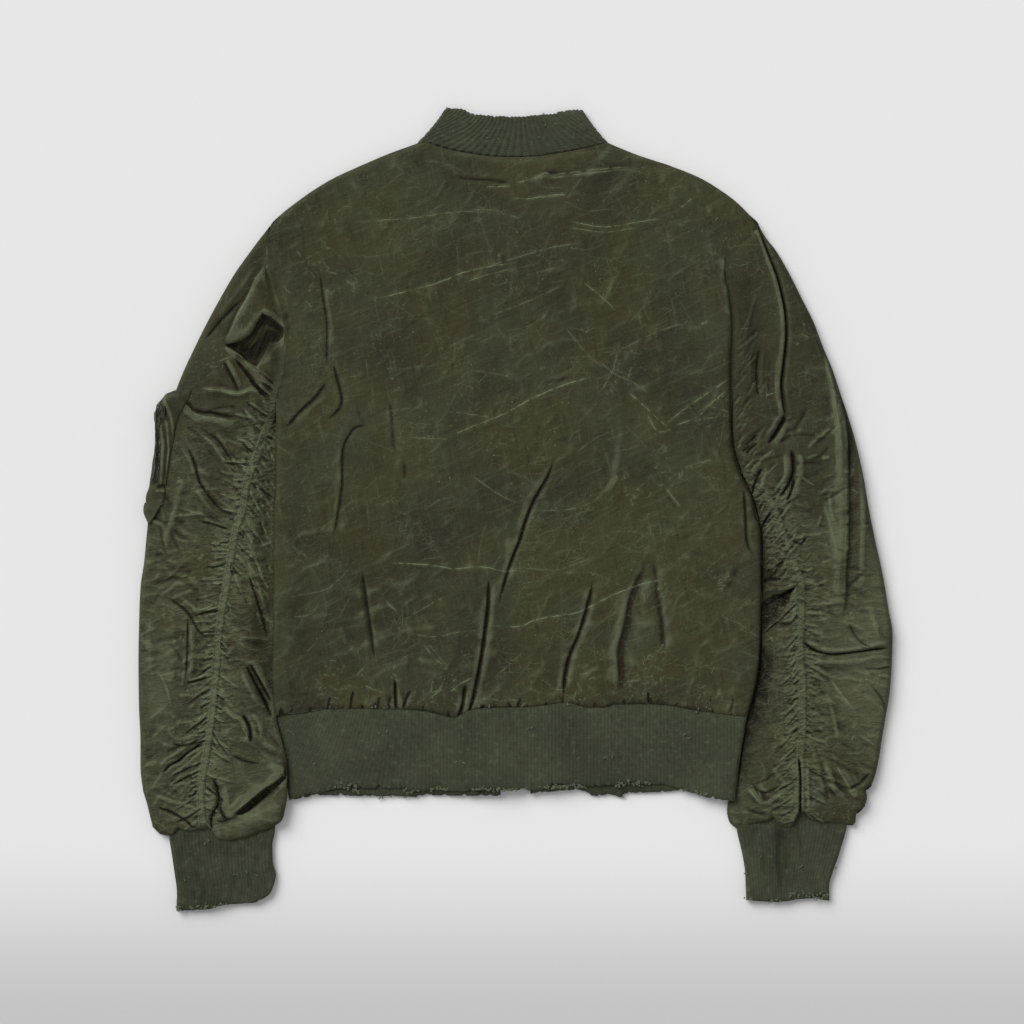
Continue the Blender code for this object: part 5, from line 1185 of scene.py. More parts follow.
def seam_puckers(sleeve, seed):
    """Short creases that run out from the gathered seam on both sides."""
    rng = np.random.default_rng(seed)
    made, y = [], sleeve.seam[0][0] + 6
    while y < sleeve.gathered:
        x = float(flow(sleeve.seam, y))
        for out, table in ((1, PUCKERS_OUT), (-1, PUCKERS_IN)):
            calm = out > 0 and sleeve.side > 0 and y > -90
            if rng.random() < (0.3 if calm else 0.8) and (out > 0 or y < sleeve.underarm - 12):
                turn = math.radians(float(flow(table, y)) + rng.normal(0, 11))
                length = rng.uniform(6, 17) if rng.random() < 0.65 else rng.uniform(17, 38)
                way = np.array((sleeve.side * out * math.cos(turn), -math.sin(turn)))
                start = np.array((x, y + rng.uniform(-1, 1))) + rng.uniform(2.2, 4.5) * way
                bend = start + 0.55 * length * way + rng.normal(0, 1.1, 2)
                height = rng.uniform(-1.9, -0.6) * pucker_share(sleeve, y)
                widths = rng.uniform(0.8, 1.2, 2)
                made.append(Fold(height, *widths, (start, bend, start + length * way), 0.25, 1.6))
                crest = (start + (0, 2.1), bend + (0, 2.3), start + (0, 2.0) + 0.9 * length * way)
                made.append(Fold(-0.7 * height, 1.6, 1.6, crest))
        y += rng.uniform(2.7, 4.6)
    return made


def armhole_puckers(sleeve, seed):
    """Close creases that slant up from the edge of the body, where the sleeve is pushed together."""
    rng = np.random.default_rng(seed)
    y, high = sleeve.pushed
    made = []
    while y < high:
        turn = math.radians(rng.normal(54, 6))
        way = np.array((sleeve.side * math.cos(turn), math.sin(turn)))
        start = np.array((float(body_edge(sleeve, y)) + sleeve.side * rng.uniform(2, 22), y))
        length = rng.uniform(6, 16) if rng.random() < 0.7 else rng.uniform(16, 30)
        bend = start + 0.5 * length * way + rng.normal(0, 0.8, 2)
        height = rng.uniform(-1.5, -0.4)
        made.append(Fold(height, *rng.uniform(0.8, 1.1, 2), (start, bend, start + length * way), 0.25, 1.5))
        start, bend = start + (1.6, -1.2), bend + (1.6, -1.2)
        made.append(Fold(-0.7 * height, 1.3, 1.3, (start, bend, start + 0.9 * length * way)))
        y += rng.uniform(2.0, 4.6)
    return made


def pucker_crests(folds, seed):
    """The worn crests of the puckers, as fine light lines, faint on the right sleeve."""
    rng = np.random.default_rng(seed)
    return [Crack(rng.uniform(0.4, 0.95) * (0.25 if fold.path[0][0] > 200 else 1), fold.path)
            for fold in folds if fold.height > 0 and rng.random() < 0.8]


def cross_creases(sleeve, seed):
    """Short slanting creases between the seam and the outer edge, where the sleeve has slid up the arm."""
    rng = np.random.default_rng(seed)
    made = []
    for _ in range(220):
        y = rng.uniform(sleeve.seam[0][0] + 12, 90)
        seam, outer, body = (float(flow(t, y)) for t in (sleeve.seam, sleeve.outer, sleeve.inner))
        far = outer if rng.random() < 0.72 or y > sleeve.underarm - 10 else body
        share = rng.uniform(0.1, 0.9)
        middle = np.array((seam + share * (far - seam), y))
        turn = math.radians(float(flow(PUCKERS_OUT, y)) + rng.normal(0, 22))
        length = rng.uniform(10, 42)
        half = 0.5 * length * np.array((math.copysign(1, far - seam) * math.cos(turn), -math.sin(turn)))
        path = bowed(middle, half, rng.normal(0, 0.09))
        height = rng.uniform(0.35, 1.1) * rng.choice((-1, 1))
        made.append(Fold(height, *rng.uniform(0.9, 3.0, 2), path, 0.35, 1.5))
    return made


def body_edge(sleeve, y):
    """Where the sleeve meets the body: the back's edge or, below the hem seam, its own inner edge."""
    edge = flow(BODY_LEFT if sleeve.side < 0 else BODY_RIGHT, y)
    return edge + (flow(sleeve.inner, y) - edge) * smooth((-200 - y) / 12)


def sleeve_low(sleeve, x, y):
    """The height of the lower side: over the body's tucked edge or the hem, and over the pocket."""
    inner = flow(sleeve.inner, y)
    low = OFF_FLOOR + flow(sleeve.under_lift, y) * smooth(1 - (np.abs(inner - x) - 14) / 16)
    if sleeve.side < 0:
        over_pocket = 2.9 * smooth((164 - y) / 25) * smooth((y + 31) / 30)
        low = np.maximum(low, over_pocket * smooth(1 - (x - flow(sleeve.outer, y) - 52) / 20))
    return low


def sleeve_base(sleeve, x, y):
    """The height of the upper side before its folds and its rounded edges."""
    outer, body = flow(sleeve.outer, y), body_edge(sleeve, y)
    width = np.maximum(np.abs(body - outer), 1)
    from_body = np.abs(x - body) * (np.sign(body - x) == -sleeve.side)
    bulge = (1 - np.clip(2 * np.abs(x - outer) / width - 1, -1, 1) ** 2) * smooth(width / 60)
    at_body = flow(sleeve.at_body, y)
    at_body += smooth((y - sleeve.level) / 18) * (back_height(body, y) + crushed(body, y) - at_body)
    reach = 24 - 8 * smooth((y - sleeve.underarm) / 40)
    crown = flow(sleeve.crown, y) + 2.0 * bulge + 0.8 * ripple(x, y, 80, 41) + 0.3 * ripple(x, y, 30, 42)
    return at_body + (crown - at_body) * smooth(from_body / reach)


def inside_share(x, y, hollow):
    """How far down a hollow's walls points lie: 0 outside it and 1 on its floor."""
    outline = np.array(hollow.outline)
    share = np.zeros(x.shape)
    near = near_path(x, y, outline, 1)
    near_x, near_y = x[near], y[near]
    inside = np.zeros(near_x.shape, bool)
    for (ax, ay), (bx, by) in zip(outline, outline[1:]):
        if ay != by:
            inside ^= ((ay > near_y) != (by > near_y)) & (near_x < ax + (near_y - ay) * (bx - ax) / (by - ay))
    if inside.any():
        share[near] = inside * smooth(np.abs(nearest(near_x, near_y, outline)[0]) / hollow.wall)
    return share


def sleeve_rise(sleeve, x, y, folds):
    """The height of the folds and the crushed cloth, calmer next to the body and the outer edge."""
    body = body_edge(sleeve, y)
    share = 0.3 + 0.7 * smooth((sleeve.underarm + 20 - y) / 160)
    raised = relief(x, y, folds) + share * (
        0.8 * crumple(x, y, 46, 44, 1.5) + 0.6 * crumple(x, y, 20, 47, 1.7))
    reach = 6 - 3 * smooth((-200 - y) / 10)
    calm = smooth((np.abs(x - body) - 1) / reach) * smooth(np.abs(x - flow(sleeve.outer, y)) / 5)
    return raised * calm - sum(hollow.depth * inside_share(x, y, hollow) for hollow in sleeve.hollows)


def sleeve_surface(sleeve, x, y, folds, by_body):
    """Upper and lower heights of a sleeve, with the folded edges rounded."""
    low = sleeve_low(sleeve, x, y)
    raised = sleeve_rise(sleeve, x, y, folds)
    top = np.maximum(sleeve_base(sleeve, x, y) + raised, low + 3.2)
    outer = np.abs(nearest(x, y, outline_path(sleeve.outer))[0])
    width = np.minimum(6.0, 0.8 * np.maximum(np.abs(body_edge(sleeve, y) - flow(sleeve.outer, y)), 0.3))
    share = rolled(outer, width)
    if by_body:
        inner = np.abs(nearest(x, y, outline_path(sleeve.inner))[0])
        share = np.minimum(share, rolled(inner, 5.0))
    at_end = y - flow(sleeve.end, x)
    share = np.minimum(share, 0.45 + 0.55 * rolled(at_end, 7.0))
    middle = low + np.minimum(3.2, 0.5 * (top - low))
    return middle + (top - middle) * share, middle - (middle - low) * share, raised


def felled_band(away, y):
    """The raised seam: its two rows of stitches and the cloth bunched between them."""
    shape = 1.2 * smooth((BAND_HALF - np.abs(away)) / 2.2)
    shape -= 0.15 * np.exp(-((np.abs(away) - 2.6) / 0.5) ** 2)
    bunched = 0.12 * np.cos(2 * math.pi * (y + 0.5 * away) / 4.3 + 1.3 * np.sin(y / 17))
    bunched += 0.14 * ripple(away, y, 7, 43)
    return shape * (1 + bunched)


def band_tint(sleeve):
    """The felled band is faded all along."""
    path = [(x, y) for y, x in sleeve.seam if y < sleeve.underarm]
    return Fold(0.45 if sleeve.side < 0 else 0.22, 4.6, 4.6, path, 0.02, 4.0)


def join_solids(name, solids):
    """One piece from many small ones, each its points in millimetres and its faces."""
    points, faces = [], []
    for solid_points, solid_faces in solids:
        faces += [[index + len(points) for index in face] for face in solid_faces]
        points += [tuple(point) for point in solid_points]
    piece = new_piece(name, points, faces)
    piece.data.set_sharp_from_angle(angle=math.radians(40))
    return piece


def thread_tube(path, radius, sides=5):
    """A thread along a path of points, pointed at its ends."""
    path = np.array(path, float)
    points, faces = [], []
    ways = np.gradient(path, axis=0)
    ways /= np.maximum(np.linalg.norm(ways, axis=1, keepdims=True), 1e-9)
    for number, (place, way) in enumerate(zip(path, ways)):
        across = np.cross(way, (0.13, 0.21, 0.97))
        across /= max(np.linalg.norm(across), 1e-9)
        up = np.cross(across, way)
        thin = radius * (0.35 if number in (0, len(path) - 1) else 1.0)
        for side in range(sides):
            turn = 2 * math.pi * side / sides
            points.append(place + thin * (math.cos(turn) * across + math.sin(turn) * up))
    for ring in range(len(path) - 1):
        for side in range(sides):
            a, b = ring * sides + side, ring * sides + (side + 1) % sides
            faces.append((a, b, b + sides, a + sides))
    faces.append(tuple(range(sides))[::-1])
    faces.append(tuple(range(len(points) - sides, len(points))))
    return points, faces


STITCH_PITCH, STITCH_LONG, THREAD_RADIUS = 3.4, 2.5, 0.24


def stitch_row(line):
    """A row of stitches on a line of points, each a short thread that rises between its two holes."""
    along = np.concatenate(([0.0], np.cumsum(np.linalg.norm(np.diff(line, axis=0), axis=1))))
    solids = []
    for start in np.arange(0.5 * STITCH_PITCH, along[-1] - STITCH_LONG, STITCH_PITCH):
        at = start + STITCH_LONG * np.array((0.0, 0.2, 0.5, 0.8, 1.0))
        path = np.stack([np.interp(at, along, line[:, axis]) for axis in range(3)], -1)
        path[:, 2] += (-0.2, 0.16, 0.22, 0.16, -0.2)
        solids.append(thread_tube(path, THREAD_RADIUS))
    return solids


END_TURN = ((12.0, 0.30), (3.5, 0.30), (0.6, 0.42), (-0.6, 0.75))    # inwards, and the height kept
END_MIDDLE = 4.6                                                     # the height it is kept from


def with_turned_end(grid):
    """Adds the rows that turn the end of a sleeve in over its cuff."""
    rows = []
    for inwards, kept in END_TURN:
        row = grid[0].copy()
        row[:, 1] += inwards
        row[:, 2] = END_MIDDLE + (row[:, 2] - END_MIDDLE) * kept
        rows.append(row)
    return np.concatenate((np.stack(rows), grid))


def sleeve_folds(sleeve, seed, cut, x, y):
    """A piece's puckers, and all its folds."""
    puckers = seam_puckers(sleeve, seed) + armhole_puckers(sleeve, seed + 9)
    return puckers, (list(sleeve.folds) + puckers + cross_creases(sleeve, seed + 1)
                     + small_creases(x, y, cut.creases, seed + cut.seeds[0], (0.1, 0.35)))


def sleeve_sheet(name, sleeve, seed, cut, upper_side, raised, puckers, beneath):
    """A piece of a sleeve from its upper side, whose first column is its folded edge. There it turns under,
    and has points beneath some of its columns."""
    x, y = upper_side[:2]
    under_x, under_y = x[:, beneath[::-1]], y[:, beneath[::-1]]
    under_z = sleeve_surface(sleeve, under_x, under_y, (), cut.by_body)[1]
    grid = np.concatenate((np.stack((under_x, under_y, under_z), -1)[:, :-1], np.stack(upper_side, -1)), 1)
    grid = with_turned_end(grid)
    obj = cloth_mesh(name, grid, flip=(sleeve.side > 0) != cut.by_body)
    raised = np.concatenate((np.repeat(raised[:, :1], len(beneath) - 1, 1), raised), 1)
    raised = np.vstack((raised[:1],) * len(END_TURN) + (raised,))
    cracks = list(sleeve.cracks) + random_cracks(x, y, cut.cracks, seed + cut.seeds[1], (8, cut.longest))
    cracks += scuff_cracks(sleeve.scuffs, seed + 4) + pucker_crests(puckers, seed + cut.seeds[2])
    x, y = grid[..., 0], grid[..., 1]
    from_seam = np.abs(x - flow(sleeve.seam, y))
    gathered = (0.35 + 0.65 * smooth(1 - from_seam / 34)) * smooth((sleeve.underarm + 40 - y) / 60)
    creases = crease_shadow_lines(sleeve.folds) + crease_shadow_lines(puckers, 1.6) + list(sleeve.gaps)
    add_wear_and_shade(obj, x, y, raised, cracks, (0.15 + 0.85 * gathered, 0.15), (*sleeve.tints, band_tint(sleeve)),
             sleeve.faded * smooth((160 - y) / 120), creases)
    return obj, grid


def make_top_sleeve(name, sleeve, seed):
    """The top sleeve, from its seam beneath round the outer edge and over to the felled back seam."""
    side = sleeve.side
    fade = [(y, smooth((sleeve.underarm + 4 - y) / 14)) for y, x in sleeve.seam]
    width = BAND_HALF * np.array([0.06 + 0.94 * share for y, share in fade])
    near = [(y, x + side * w) for (y, x), w in zip(sleeve.seam, width)]
    near[-1] = (ARMHOLE_TOP, 0.5 * (sleeve.seam[-1][1] + sleeve.outer[-1][1]))
    across = lengthwise(TOP_CUT.wide, 1.25, side < 0, side > 0)
    left, right = (sleeve.outer, near) if side < 0 else (near, sleeve.outer)
    top = ((left[-1][1] - 0.05, ARMHOLE_TOP), (right[-1][1] + 0.05, ARMHOLE_TOP))
    x, y = patch(left, right, sleeve.end, top, across, lengthwise(TOP_CUT.long, 1.05), 5.0)
    puckers, folds = sleeve_folds(sleeve, seed, TOP_CUT, x, y)
    # From here on the columns run from the outer edge to the seam, and over the felled band.
    x, y = x[:, ::-side], y[:, ::-side]
    turned = x.shape[1] - 1
    width = 0.06 + 0.94 * flow(fade, y[:, -1])
    band = [flow(sleeve.seam, y[:, -1]) - side * step * width
            for step in (*(-step for step in SEAM_STEPS[-2:0:-1]), *SEAM_STEPS)]
    x = np.column_stack((x, *band))
    y = np.column_stack((y, *[y[:, -1]] * len(band)))
    upper, _, raised = sleeve_surface(sleeve, x, y, folds, False)
    away = (flow(sleeve.seam, y) - x) * side
    below = smooth((sleeve.underarm - 2 - y) / 16)
    band_height = felled_band(away, y) * below * smooth((y - flow(sleeve.end, x)) / 6)
    upper += band_height
    upper += 0.9 * np.exp(-(away / 2.2) ** 2) * (1 - below) * smooth((272 - y) / 20) * (side < 0)
    upper[:, -1] -= 0.2 * below[:, -1]
    beneath = [0, 2, 4, 5, 6, *range(9, turned, 9), turned + len(SEAM_STEPS) - 1]
    return sleeve_sheet(name, sleeve, seed, TOP_CUT, (x, y, upper), raised + band_height, puckers, beneath)


def make_under_sleeve(name, sleeve, seed):
    """The under sleeve, from the felled seam to the edge by the body and back beneath."""
    side, top_y = sleeve.side, sleeve.inner[-1][0]
    seam = [(y, x) for y, x in sleeve.seam if y < sleeve.underarm]
    seam.append((top_y, float(flow(sleeve.seam, top_y)) + side * 0.2))
    across = lengthwise(UNDER_CUT.wide, 1.3, side > 0, side < 0)
    left, right = (seam, sleeve.inner) if side < 0 else (sleeve.inner, seam)
    top = ((min(left[-1][1], right[-1][1]) - 0.05, top_y), (max(left[-1][1], right[-1][1]) + 0.05, top_y))
    x, y = patch(left, right, sleeve.end, top, across, lengthwise(UNDER_CUT.long, 1.05), 5.0)
    puckers, folds = sleeve_folds(sleeve, seed, UNDER_CUT, x, y)
    # From here on the columns run from the body to the seam.
    x, y = x[:, ::side], y[:, ::side]
    upper, _, raised = sleeve_surface(sleeve, x, y, folds, True)
    last = x.shape[1] - 1
    beneath = [0, 2, 4, 5, 6, *range(9, last, 7), last]
    return sleeve_sheet(name, sleeve, seed, UNDER_CUT, (x, y, upper), raised, puckers, beneath)


left_top, left_grid = make_top_sleeve("left_top_sleeve", LEFT_SLEEVE, 51)
right_top, right_grid = make_top_sleeve("right_top_sleeve", RIGHT_SLEEVE, 61)
left_under = make_under_sleeve("left_under_sleeve", LEFT_SLEEVE, 51)[0]
right_under = make_under_sleeve("right_under_sleeve", RIGHT_SLEEVE, 61)[0]
for piece, node in ((left_top, "sleeve_left_top"), (right_top, "sleeve_right_top"),
                    (left_under, "sleeve_left_under"), (right_under, "sleeve_right_under")):
    dress(piece, waxed_cotton, "waxed_cloth", "jacket", node)


def make_thread(name, colour):
    """Spun thread, a little lighter where it is fuzzy."""
    material, tree, shader = new_material(name)
    fuzz = noise(tree, add_node(tree, "TexCoord").outputs["Object"], 900, 3, 0.6)
    shade = mix_colour(tree, remap(tree, fuzz, 0.4, 0.7, 0, 0.5), colour, WAX_LIGHT)
    set_inputs(tree, shader, {"Base Color": shade, "Roughness": 0.85, "Specular IOR Level": 0.15})
    return material


seam_thread = make_thread("seam_thread", linear(58, 62, 42))
# Columns of a top sleeve's points, counted from its last, that lie under the band's two rows of stitches.
STITCHED_COLUMNS = (-4, -10)


def make_band_stitches(name, sleeve, grid):
    """The two rows of topstitching on the felled seam."""
    solids = []
    for column in STITCHED_COLUMNS:
        line = grid[len(END_TURN):, column]
        solids += stitch_row(line[(line[:, 1] < sleeve.underarm - 10) & (line[:, 1] > line[0, 1] + 2)])
    return join_solids(name, solids)


left_stitches = make_band_stitches("left_sleeve_stitches", LEFT_SLEEVE, left_grid)
right_stitches = make_band_stitches("right_sleeve_stitches", RIGHT_SLEEVE, right_grid)
dress(left_stitches, seam_thread, "waxed_cloth", "jacket")
dress(right_stitches, seam_thread, "waxed_cloth", "jacket")

# ------------------------------------------------------------------ the hem band
# The hem band is one strip of rib knit, folded along its free edge, sewn to the gathered body and open
# at the zip. Its free edge is worn through: holes, broken loops and loose threads.

RIB_PITCH = 3.5
HEM_EDGE = (
    (-226.5, -291), (-213.5, -287), (-195, -283.3), (-176.5, -279), (-156, -278.8), (-112, -279),
    (-105.5, -282), (-45.5, -281.5), (-15.5, -280.7), (12, -280.7), (30.5, -278.8), (40, -275),
    (58.5, -276.5), (73.3, -277), (103, -275.2), (110.3, -274.8), (132.5, -275.0), (147.3, -275),
    (160.2, -278), (173, -282.5), (184.2, -286), (197, -289), (219.4, -291),
)
FRONT_HEM_EDGE = (
    (-226.5, -291), (-190, -286), (-170, -286.5), (-155, -287), (-110, -287), (-100, -288), (-90, -286),
    (-45, -286.5), (0, -286), (22, -283.5), (62, -280.7), (73, -283.5), (77, -287), (95.5, -285.3),
    (104.7, -288), (110, -284.4), (151, -282.5), (165.7, -281), (190, -284), (219.4, -291),
)
HEM_LEFT = ((0, -241.0), (0.3, -237.5), (0.6, -232.0), (0.85, -228.5), (1, -226.5))
HEM_RIGHT = ((0, 231.0), (0.3, 227.0), (0.6, 223.0), (0.85, 220.5), (1, 219.4))
HEM_THICK = 8.6
RIB_HEIGHT = 0.09
COLLAR_RIB_HEIGHT = 0.34


def rib_profile(phase):
    """The height of a rib knit across its ribs, from -1 in the gaps to 1 on the ribs."""
    wave = np.cos(2 * math.pi * phase)
    return 1 - 2 * ((1 - wave) / 2) ** 1.6


def make_rib_group():
    """The shades of rib knit: V-shaped stitches along each rib, painted shade in the gaps, a faint fuzz,
    and each piece's own grime and painted shade.
    """
    group, out = new_shades("rib_shades")
    place = add_node(group, "TexCoord").outputs["Object"]
    knit = add_node(group, "SeparateXYZ", {0: read_field(group, "knit").outputs["Vector"]})
    ribs, rows = knit.outputs["X"], knit.outputs["Y"]
    from_rib = math_node(group, "ABSOLUTE", math_node(group, "SUBTRACT", math_node(
        group, "FRACT", math_node(group, "ADD", ribs, 0.5)), 0.5))
    slant = math_node(group, "ADD", rows, math_node(group, "MULTIPLY", from_rib, 1.3))
    stitch = math_node(group, "SINE", math_node(group, "MULTIPLY", slant, 2 * math.pi))
    stitch = remap(group, stitch, -1, 1)
    gap = remap(group, from_rib, 0.22, 0.47)
    clouds = noise(group, place, 14, 4, 0.6)
    fuzz = noise(group, place, 1100, 3, 0.7)
    tufts = noise(group, place, 200, 3, 0.6)
    colour = mix_colour(group, remap(group, clouds, 0.35, 0.65), RIB_DARK, RIB_MID)
    colour = mix_colour(group, math_node(group, "MULTIPLY", gap, 0.24), colour, RIB_GAP)
    # Painted shade: the gaps between the ribs and the low sides of the stitches are darkened.
    colour = mix_colour(group, remap(group, stitch, 0.6, 0.05, 0, 0.1), colour, RIB_GAP)
    colour = mix_colour(group, remap(group, fuzz, 0.5, 0.75, 0, 0.12), colour, RIB_LIGHT)
    colour = mix_colour(group, remap(group, tufts, 0.52, 0.78, 0, 0.42), colour, RIB_LIGHT)
    colour = mix_colour(group, remap(group, tufts, 0.48, 0.24, 0, 0.55), colour, RIB_GAP)
    # Each piece's own darkening: grime, and painted shade at holes, creases and seams.
    colour = mix_colour(group, knit.outputs["Z"], colour, RIB_SHADE_AND_GRIME)
    rough = remap(group, fuzz, 0.3, 0.7, 0.85, 0.98)
    height = math_node(group, "ADD", stitch, math_node(group, "MULTIPLY", fuzz, 0.4))
    set_inputs(group, out, {"Color": colour, "Roughness": rough, "Height": height})
    return group


RIB_DARK = linear(56, 60, 43)
RIB_MID = linear(67, 71, 53)
RIB_LIGHT = linear(96, 101, 80)
RIB_GAP = linear(36, 38, 25)
RIB_SHADE_AND_GRIME = linear(20, 20, 12)
rib_shades = make_rib_group()


rib_knit = make_fabric("rib_knit", rib_shades, 0.6, 0.0006, 0.15, 0.1)
STITCH_LENGTH = 1.9             # of one knitted stitch along its rib
HEM_WIDE = 460
# A folded free edge, seen from the side: how far out it goes, and how far in from the surface.
FREE_EDGE = ((0.7, 0.7), (0.75, 1.7), (-0.3, 2.4), (-3.0, 2.8), (-10.0, 2.9))
HOLE_REACH = 1.3


def faces_of(grid):
    """The way each point of a grid of points faces."""
    way = np.cross(np.gradient(grid, axis=1), np.gradient(grid, axis=0))
    return way / np.maximum(np.linalg.norm(way, axis=-1, keepdims=True), 1e-9)


def knit_sheet(name, x, y, z, ribs, rows, grime, rib_height=RIB_HEIGHT):
    """A sheet of rib knit from its middle surface, its ribs' phase, its rows' phase and how dark it is
    painted, by grime and by painted shade.
    """
    grid = np.stack((x, y, z), -1)
    grid = grid + rib_height * rib_profile(ribs)[..., None] * faces_of(grid)
    grid[..., 2] = np.maximum(grid[..., 2], 0.0)
    obj = cloth_mesh(name, grid)
    add_field(obj, "knit", np.stack((ribs, rows, grime + 0 * ribs), -1))
    return obj


def hem_base(x, right):
    """The height of the hem band's lower side, over the zip and over the right sleeve."""
    over_right = 5.9 * smooth(1 - (right - 10 - x) / 40)
    return np.maximum(over_zip(x), over_right) + OFF_FLOOR


def worn_edge(x, seed, depth=1.6):
    """How far a frayed edge is eaten away at x: small nicks and a few larger bites."""
    rng = np.random.default_rng(seed)
    total = 0.5 * np.abs(ripple(x, 0 * x, 9, seed)) * depth * 0.5
    low, high = float(np.min(x)), float(np.max(x))
    for place in rng.uniform(low, high, round((high - low) / 11)):
        total = total + rng.uniform(0.4, 1.0) * depth * np.exp(-((x - place) / rng.uniform(0.8, 2.2)) ** 2)
    return total


def worn_holes(x, y, places):
    """How much shade is painted at a knit's small worn holes, where the layer beneath shows."""
    total = np.zeros(x.shape)
    for px, py in places:
        total += np.exp(-(((x - px) / HOLE_REACH) ** 2 + ((y - py) / HOLE_REACH) ** 2) ** 2)
    return 0.95 * np.minimum(total, 1)


def make_hem():
    """The hem band as one sheet, from the zip round the left end, across the back and round to the zip."""
    upper_across = lengthwise(HEM_WIDE, 0.5, True, True)
    lower_across = np.linspace(0, 1, 260)
    columns = []
    for down in np.linspace(0, 1, 32):
        left, right = float(flow(HEM_LEFT, down)), float(flow(HEM_RIGHT, down))
        upper_x = left + upper_across * (right - left)
        lower_left = left + (lower_across**1.15) * (-ZIP_HALF - left)
        lower_right = right - (lower_across**1.15) * (right - ZIP_HALF)
        x = np.concatenate((lower_left[:0:-1], upper_x, lower_right[1:]))
        is_upper = np.concatenate((lower_left[1:] * 0, upper_x * 0 + 1, lower_right[1:] * 0))
        seam_left, seam_right = HEM_SEAM[0][0], HEM_SEAM[-1][0]
        seam_x = seam_left + (x - left) / (right - left) * (seam_right - seam_left)
        top_y = flow(HEM_SEAM, seam_x) + 1.5 * is_upper - 0.5 * (1 - is_upper)
        edge_x = HEM_EDGE[0][0] + (x - left) / (right - left) * (HEM_EDGE[-1][0] - HEM_EDGE[0][0])
        edge_y = np.where(is_upper > 0, flow(HEM_EDGE, edge_x) + worn_edge(edge_x, 71),
                          flow(FRONT_HEM_EDGE, edge_x) + worn_edge(edge_x, 72))
        y = top_y + down * (edge_y - top_y)
        base = hem_base(x, right)
        fold = rolled(np.minimum(x - left, right - x).clip(0), 4.5)
        wave = 0.5 * ripple(x, y, 60, 73) * smooth(down * 4)
        top = base + HEM_THICK + wave - 1.6 * (1 - smooth(down / 0.09)) - 1.0 * smooth((down - 0.94) / 0.06)
        top -= 2.4 * smooth(1 - (x - left) / 18) * smooth((0.45 - down) / 0.4)
        middle = base + HEM_THICK / 2
        z = np.where(is_upper > 0, middle + (top - middle) * fold, middle - (middle - base) * fold)
        lean = 0.45 * smooth((-80 - x) / 150)
        along = np.where(is_upper > 0, x + lean * (HEM_SEAM[0][1] - y), 2 * np.where(x < 0, left, right) - x)
        columns.append((x, y, z, along / RIB_PITCH, (top_y - y) / STITCH_LENGTH, is_upper))
    x, y, z, ribs, rows, is_upper = (np.stack(part) for part in zip(*columns))
    way_in = np.where(is_upper > 0, -1.0, 1.9)
    wraps = [(x[-1], y[-1] - out, z[-1] + way_in[-1] * drop, ribs[-1], rows[-1] + (out + drop) / 2)
             for out, drop in FREE_EDGE]
    x, y, z, ribs, rows = (np.vstack((grid, *(wrap[number] for wrap in wraps)))[::-1]
                           for number, grid in enumerate((x, y, z, ribs, rows)))
    # Painted shade: at the worn holes, where the layer beneath shows, and where the free edge turns under.
    grime = worn_holes(x, y, HEM_HOLES) * (z > 6)
    grime[:len(wraps)] += np.where(is_upper[-1] > 0, 1.0, 0.1) * np.array((0.9, 0.9, 0.7, 0.2, 0.0))[:, None]
    z = z - 1.2 * grime * (z > 6)
    return knit_sheet("hem_rib", x, y, z, ribs, rows, grime)


LOOSE_STEPS = 7


def loose_ends(places, height, count, length, seed, towards=-90, turn=0.45):
    """Broken yarn that curls out of a knit near some places. height is that of the knit at an x."""
    rng = np.random.default_rng(seed)
    solids = []
    for px, py in places:
        for _ in range(count):
            spot = (px + rng.normal(0, 1.5), py + rng.normal(0, 0.8), height(px) + rng.uniform(-0.2, 0.5))
            way = math.radians(towards + rng.normal(0, 50))
            bend = rng.choice((-1, 1)) * rng.uniform(0.4, 1.4) * turn
            step = rng.uniform(0.5, 1.0) * length / LOOSE_STEPS
            path = [np.array(spot)]
            for _ in range(LOOSE_STEPS):
                path.append(path[-1] + step * np.array((math.cos(way), math.sin(way), rng.normal(0, 0.12))))
                way += bend + rng.normal(0, 0.25)
            solids.append(thread_tube(path, rng.uniform(0.42, 0.68)))
    return solids


# Where the hem has worn through along its free edge, where single loops are pulled out of it, where ends
# hang below it, and where the stitches of its seam have come loose.
HEM_FRAYS = (
    (-177.5, -278), (-173.5, -275), (-169.5, -279), (-165.5, -276), (-162.5, -281), (-158.5, -277),
    (-155.5, -282), (-109.5, -280), (-105.5, -283), (-101.5, -282), (-81.5, -280), (-77.5, -279),
    (-73.5, -281), (-69.5, -280), (-41.5, -281), (-37.5, -280), (-33.5, -281), (-28.5, -281),
    (-23.5, -280), (-18.5, -281), (-14.5, -280), (-9.5, -281), (-4.5, -281), (-0.5, -280),
    (28.5, -279), (31.5, -277), (35.5, -279), (39.5, -277), (43.5, -278), (47.5, -277), (51.5, -278),
    (55.5, -277), (59.5, -278), (63.5, -277), (67.5, -278), (101.5, -276), (105.5, -274),
    (109.5, -276), (113.5, -273), (117.5, -275), (121.5, -274), (125.5, -276), (129.5, -274),
    (133.5, -275), (169.5, -281), (181.5, -283), (185.5, -285), (190.5, -285),
)
HEM_DRIPS = ((-133.5, -287), (-123.5, -286), (76.5, -284), (105.5, -286), (-105.5, -287))
HEM_SNAGS = (
    (-136.5, -223), (-131.5, -222), (-60.5, -253), (-55.5, -254), (-200.5, -255), (11.5, -219),
    (15.5, -217), (88.5, -248), (95.5, -249), (167.5, -225), (171.5, -228),
)
HEM_HOLES = (
    (-170.5, -281), (-163.5, -278), (-157.5, -283), (-35.5, -282), (-28.5, -279), (-20.5, -281),
    (-11.5, -280), (-4.5, -282), (33.5, -279), (41.5, -277), (50.5, -279), (59.5, -278),
    (106.5, -276), (115.5, -275), (124.5, -277), (132.5, -276),
)
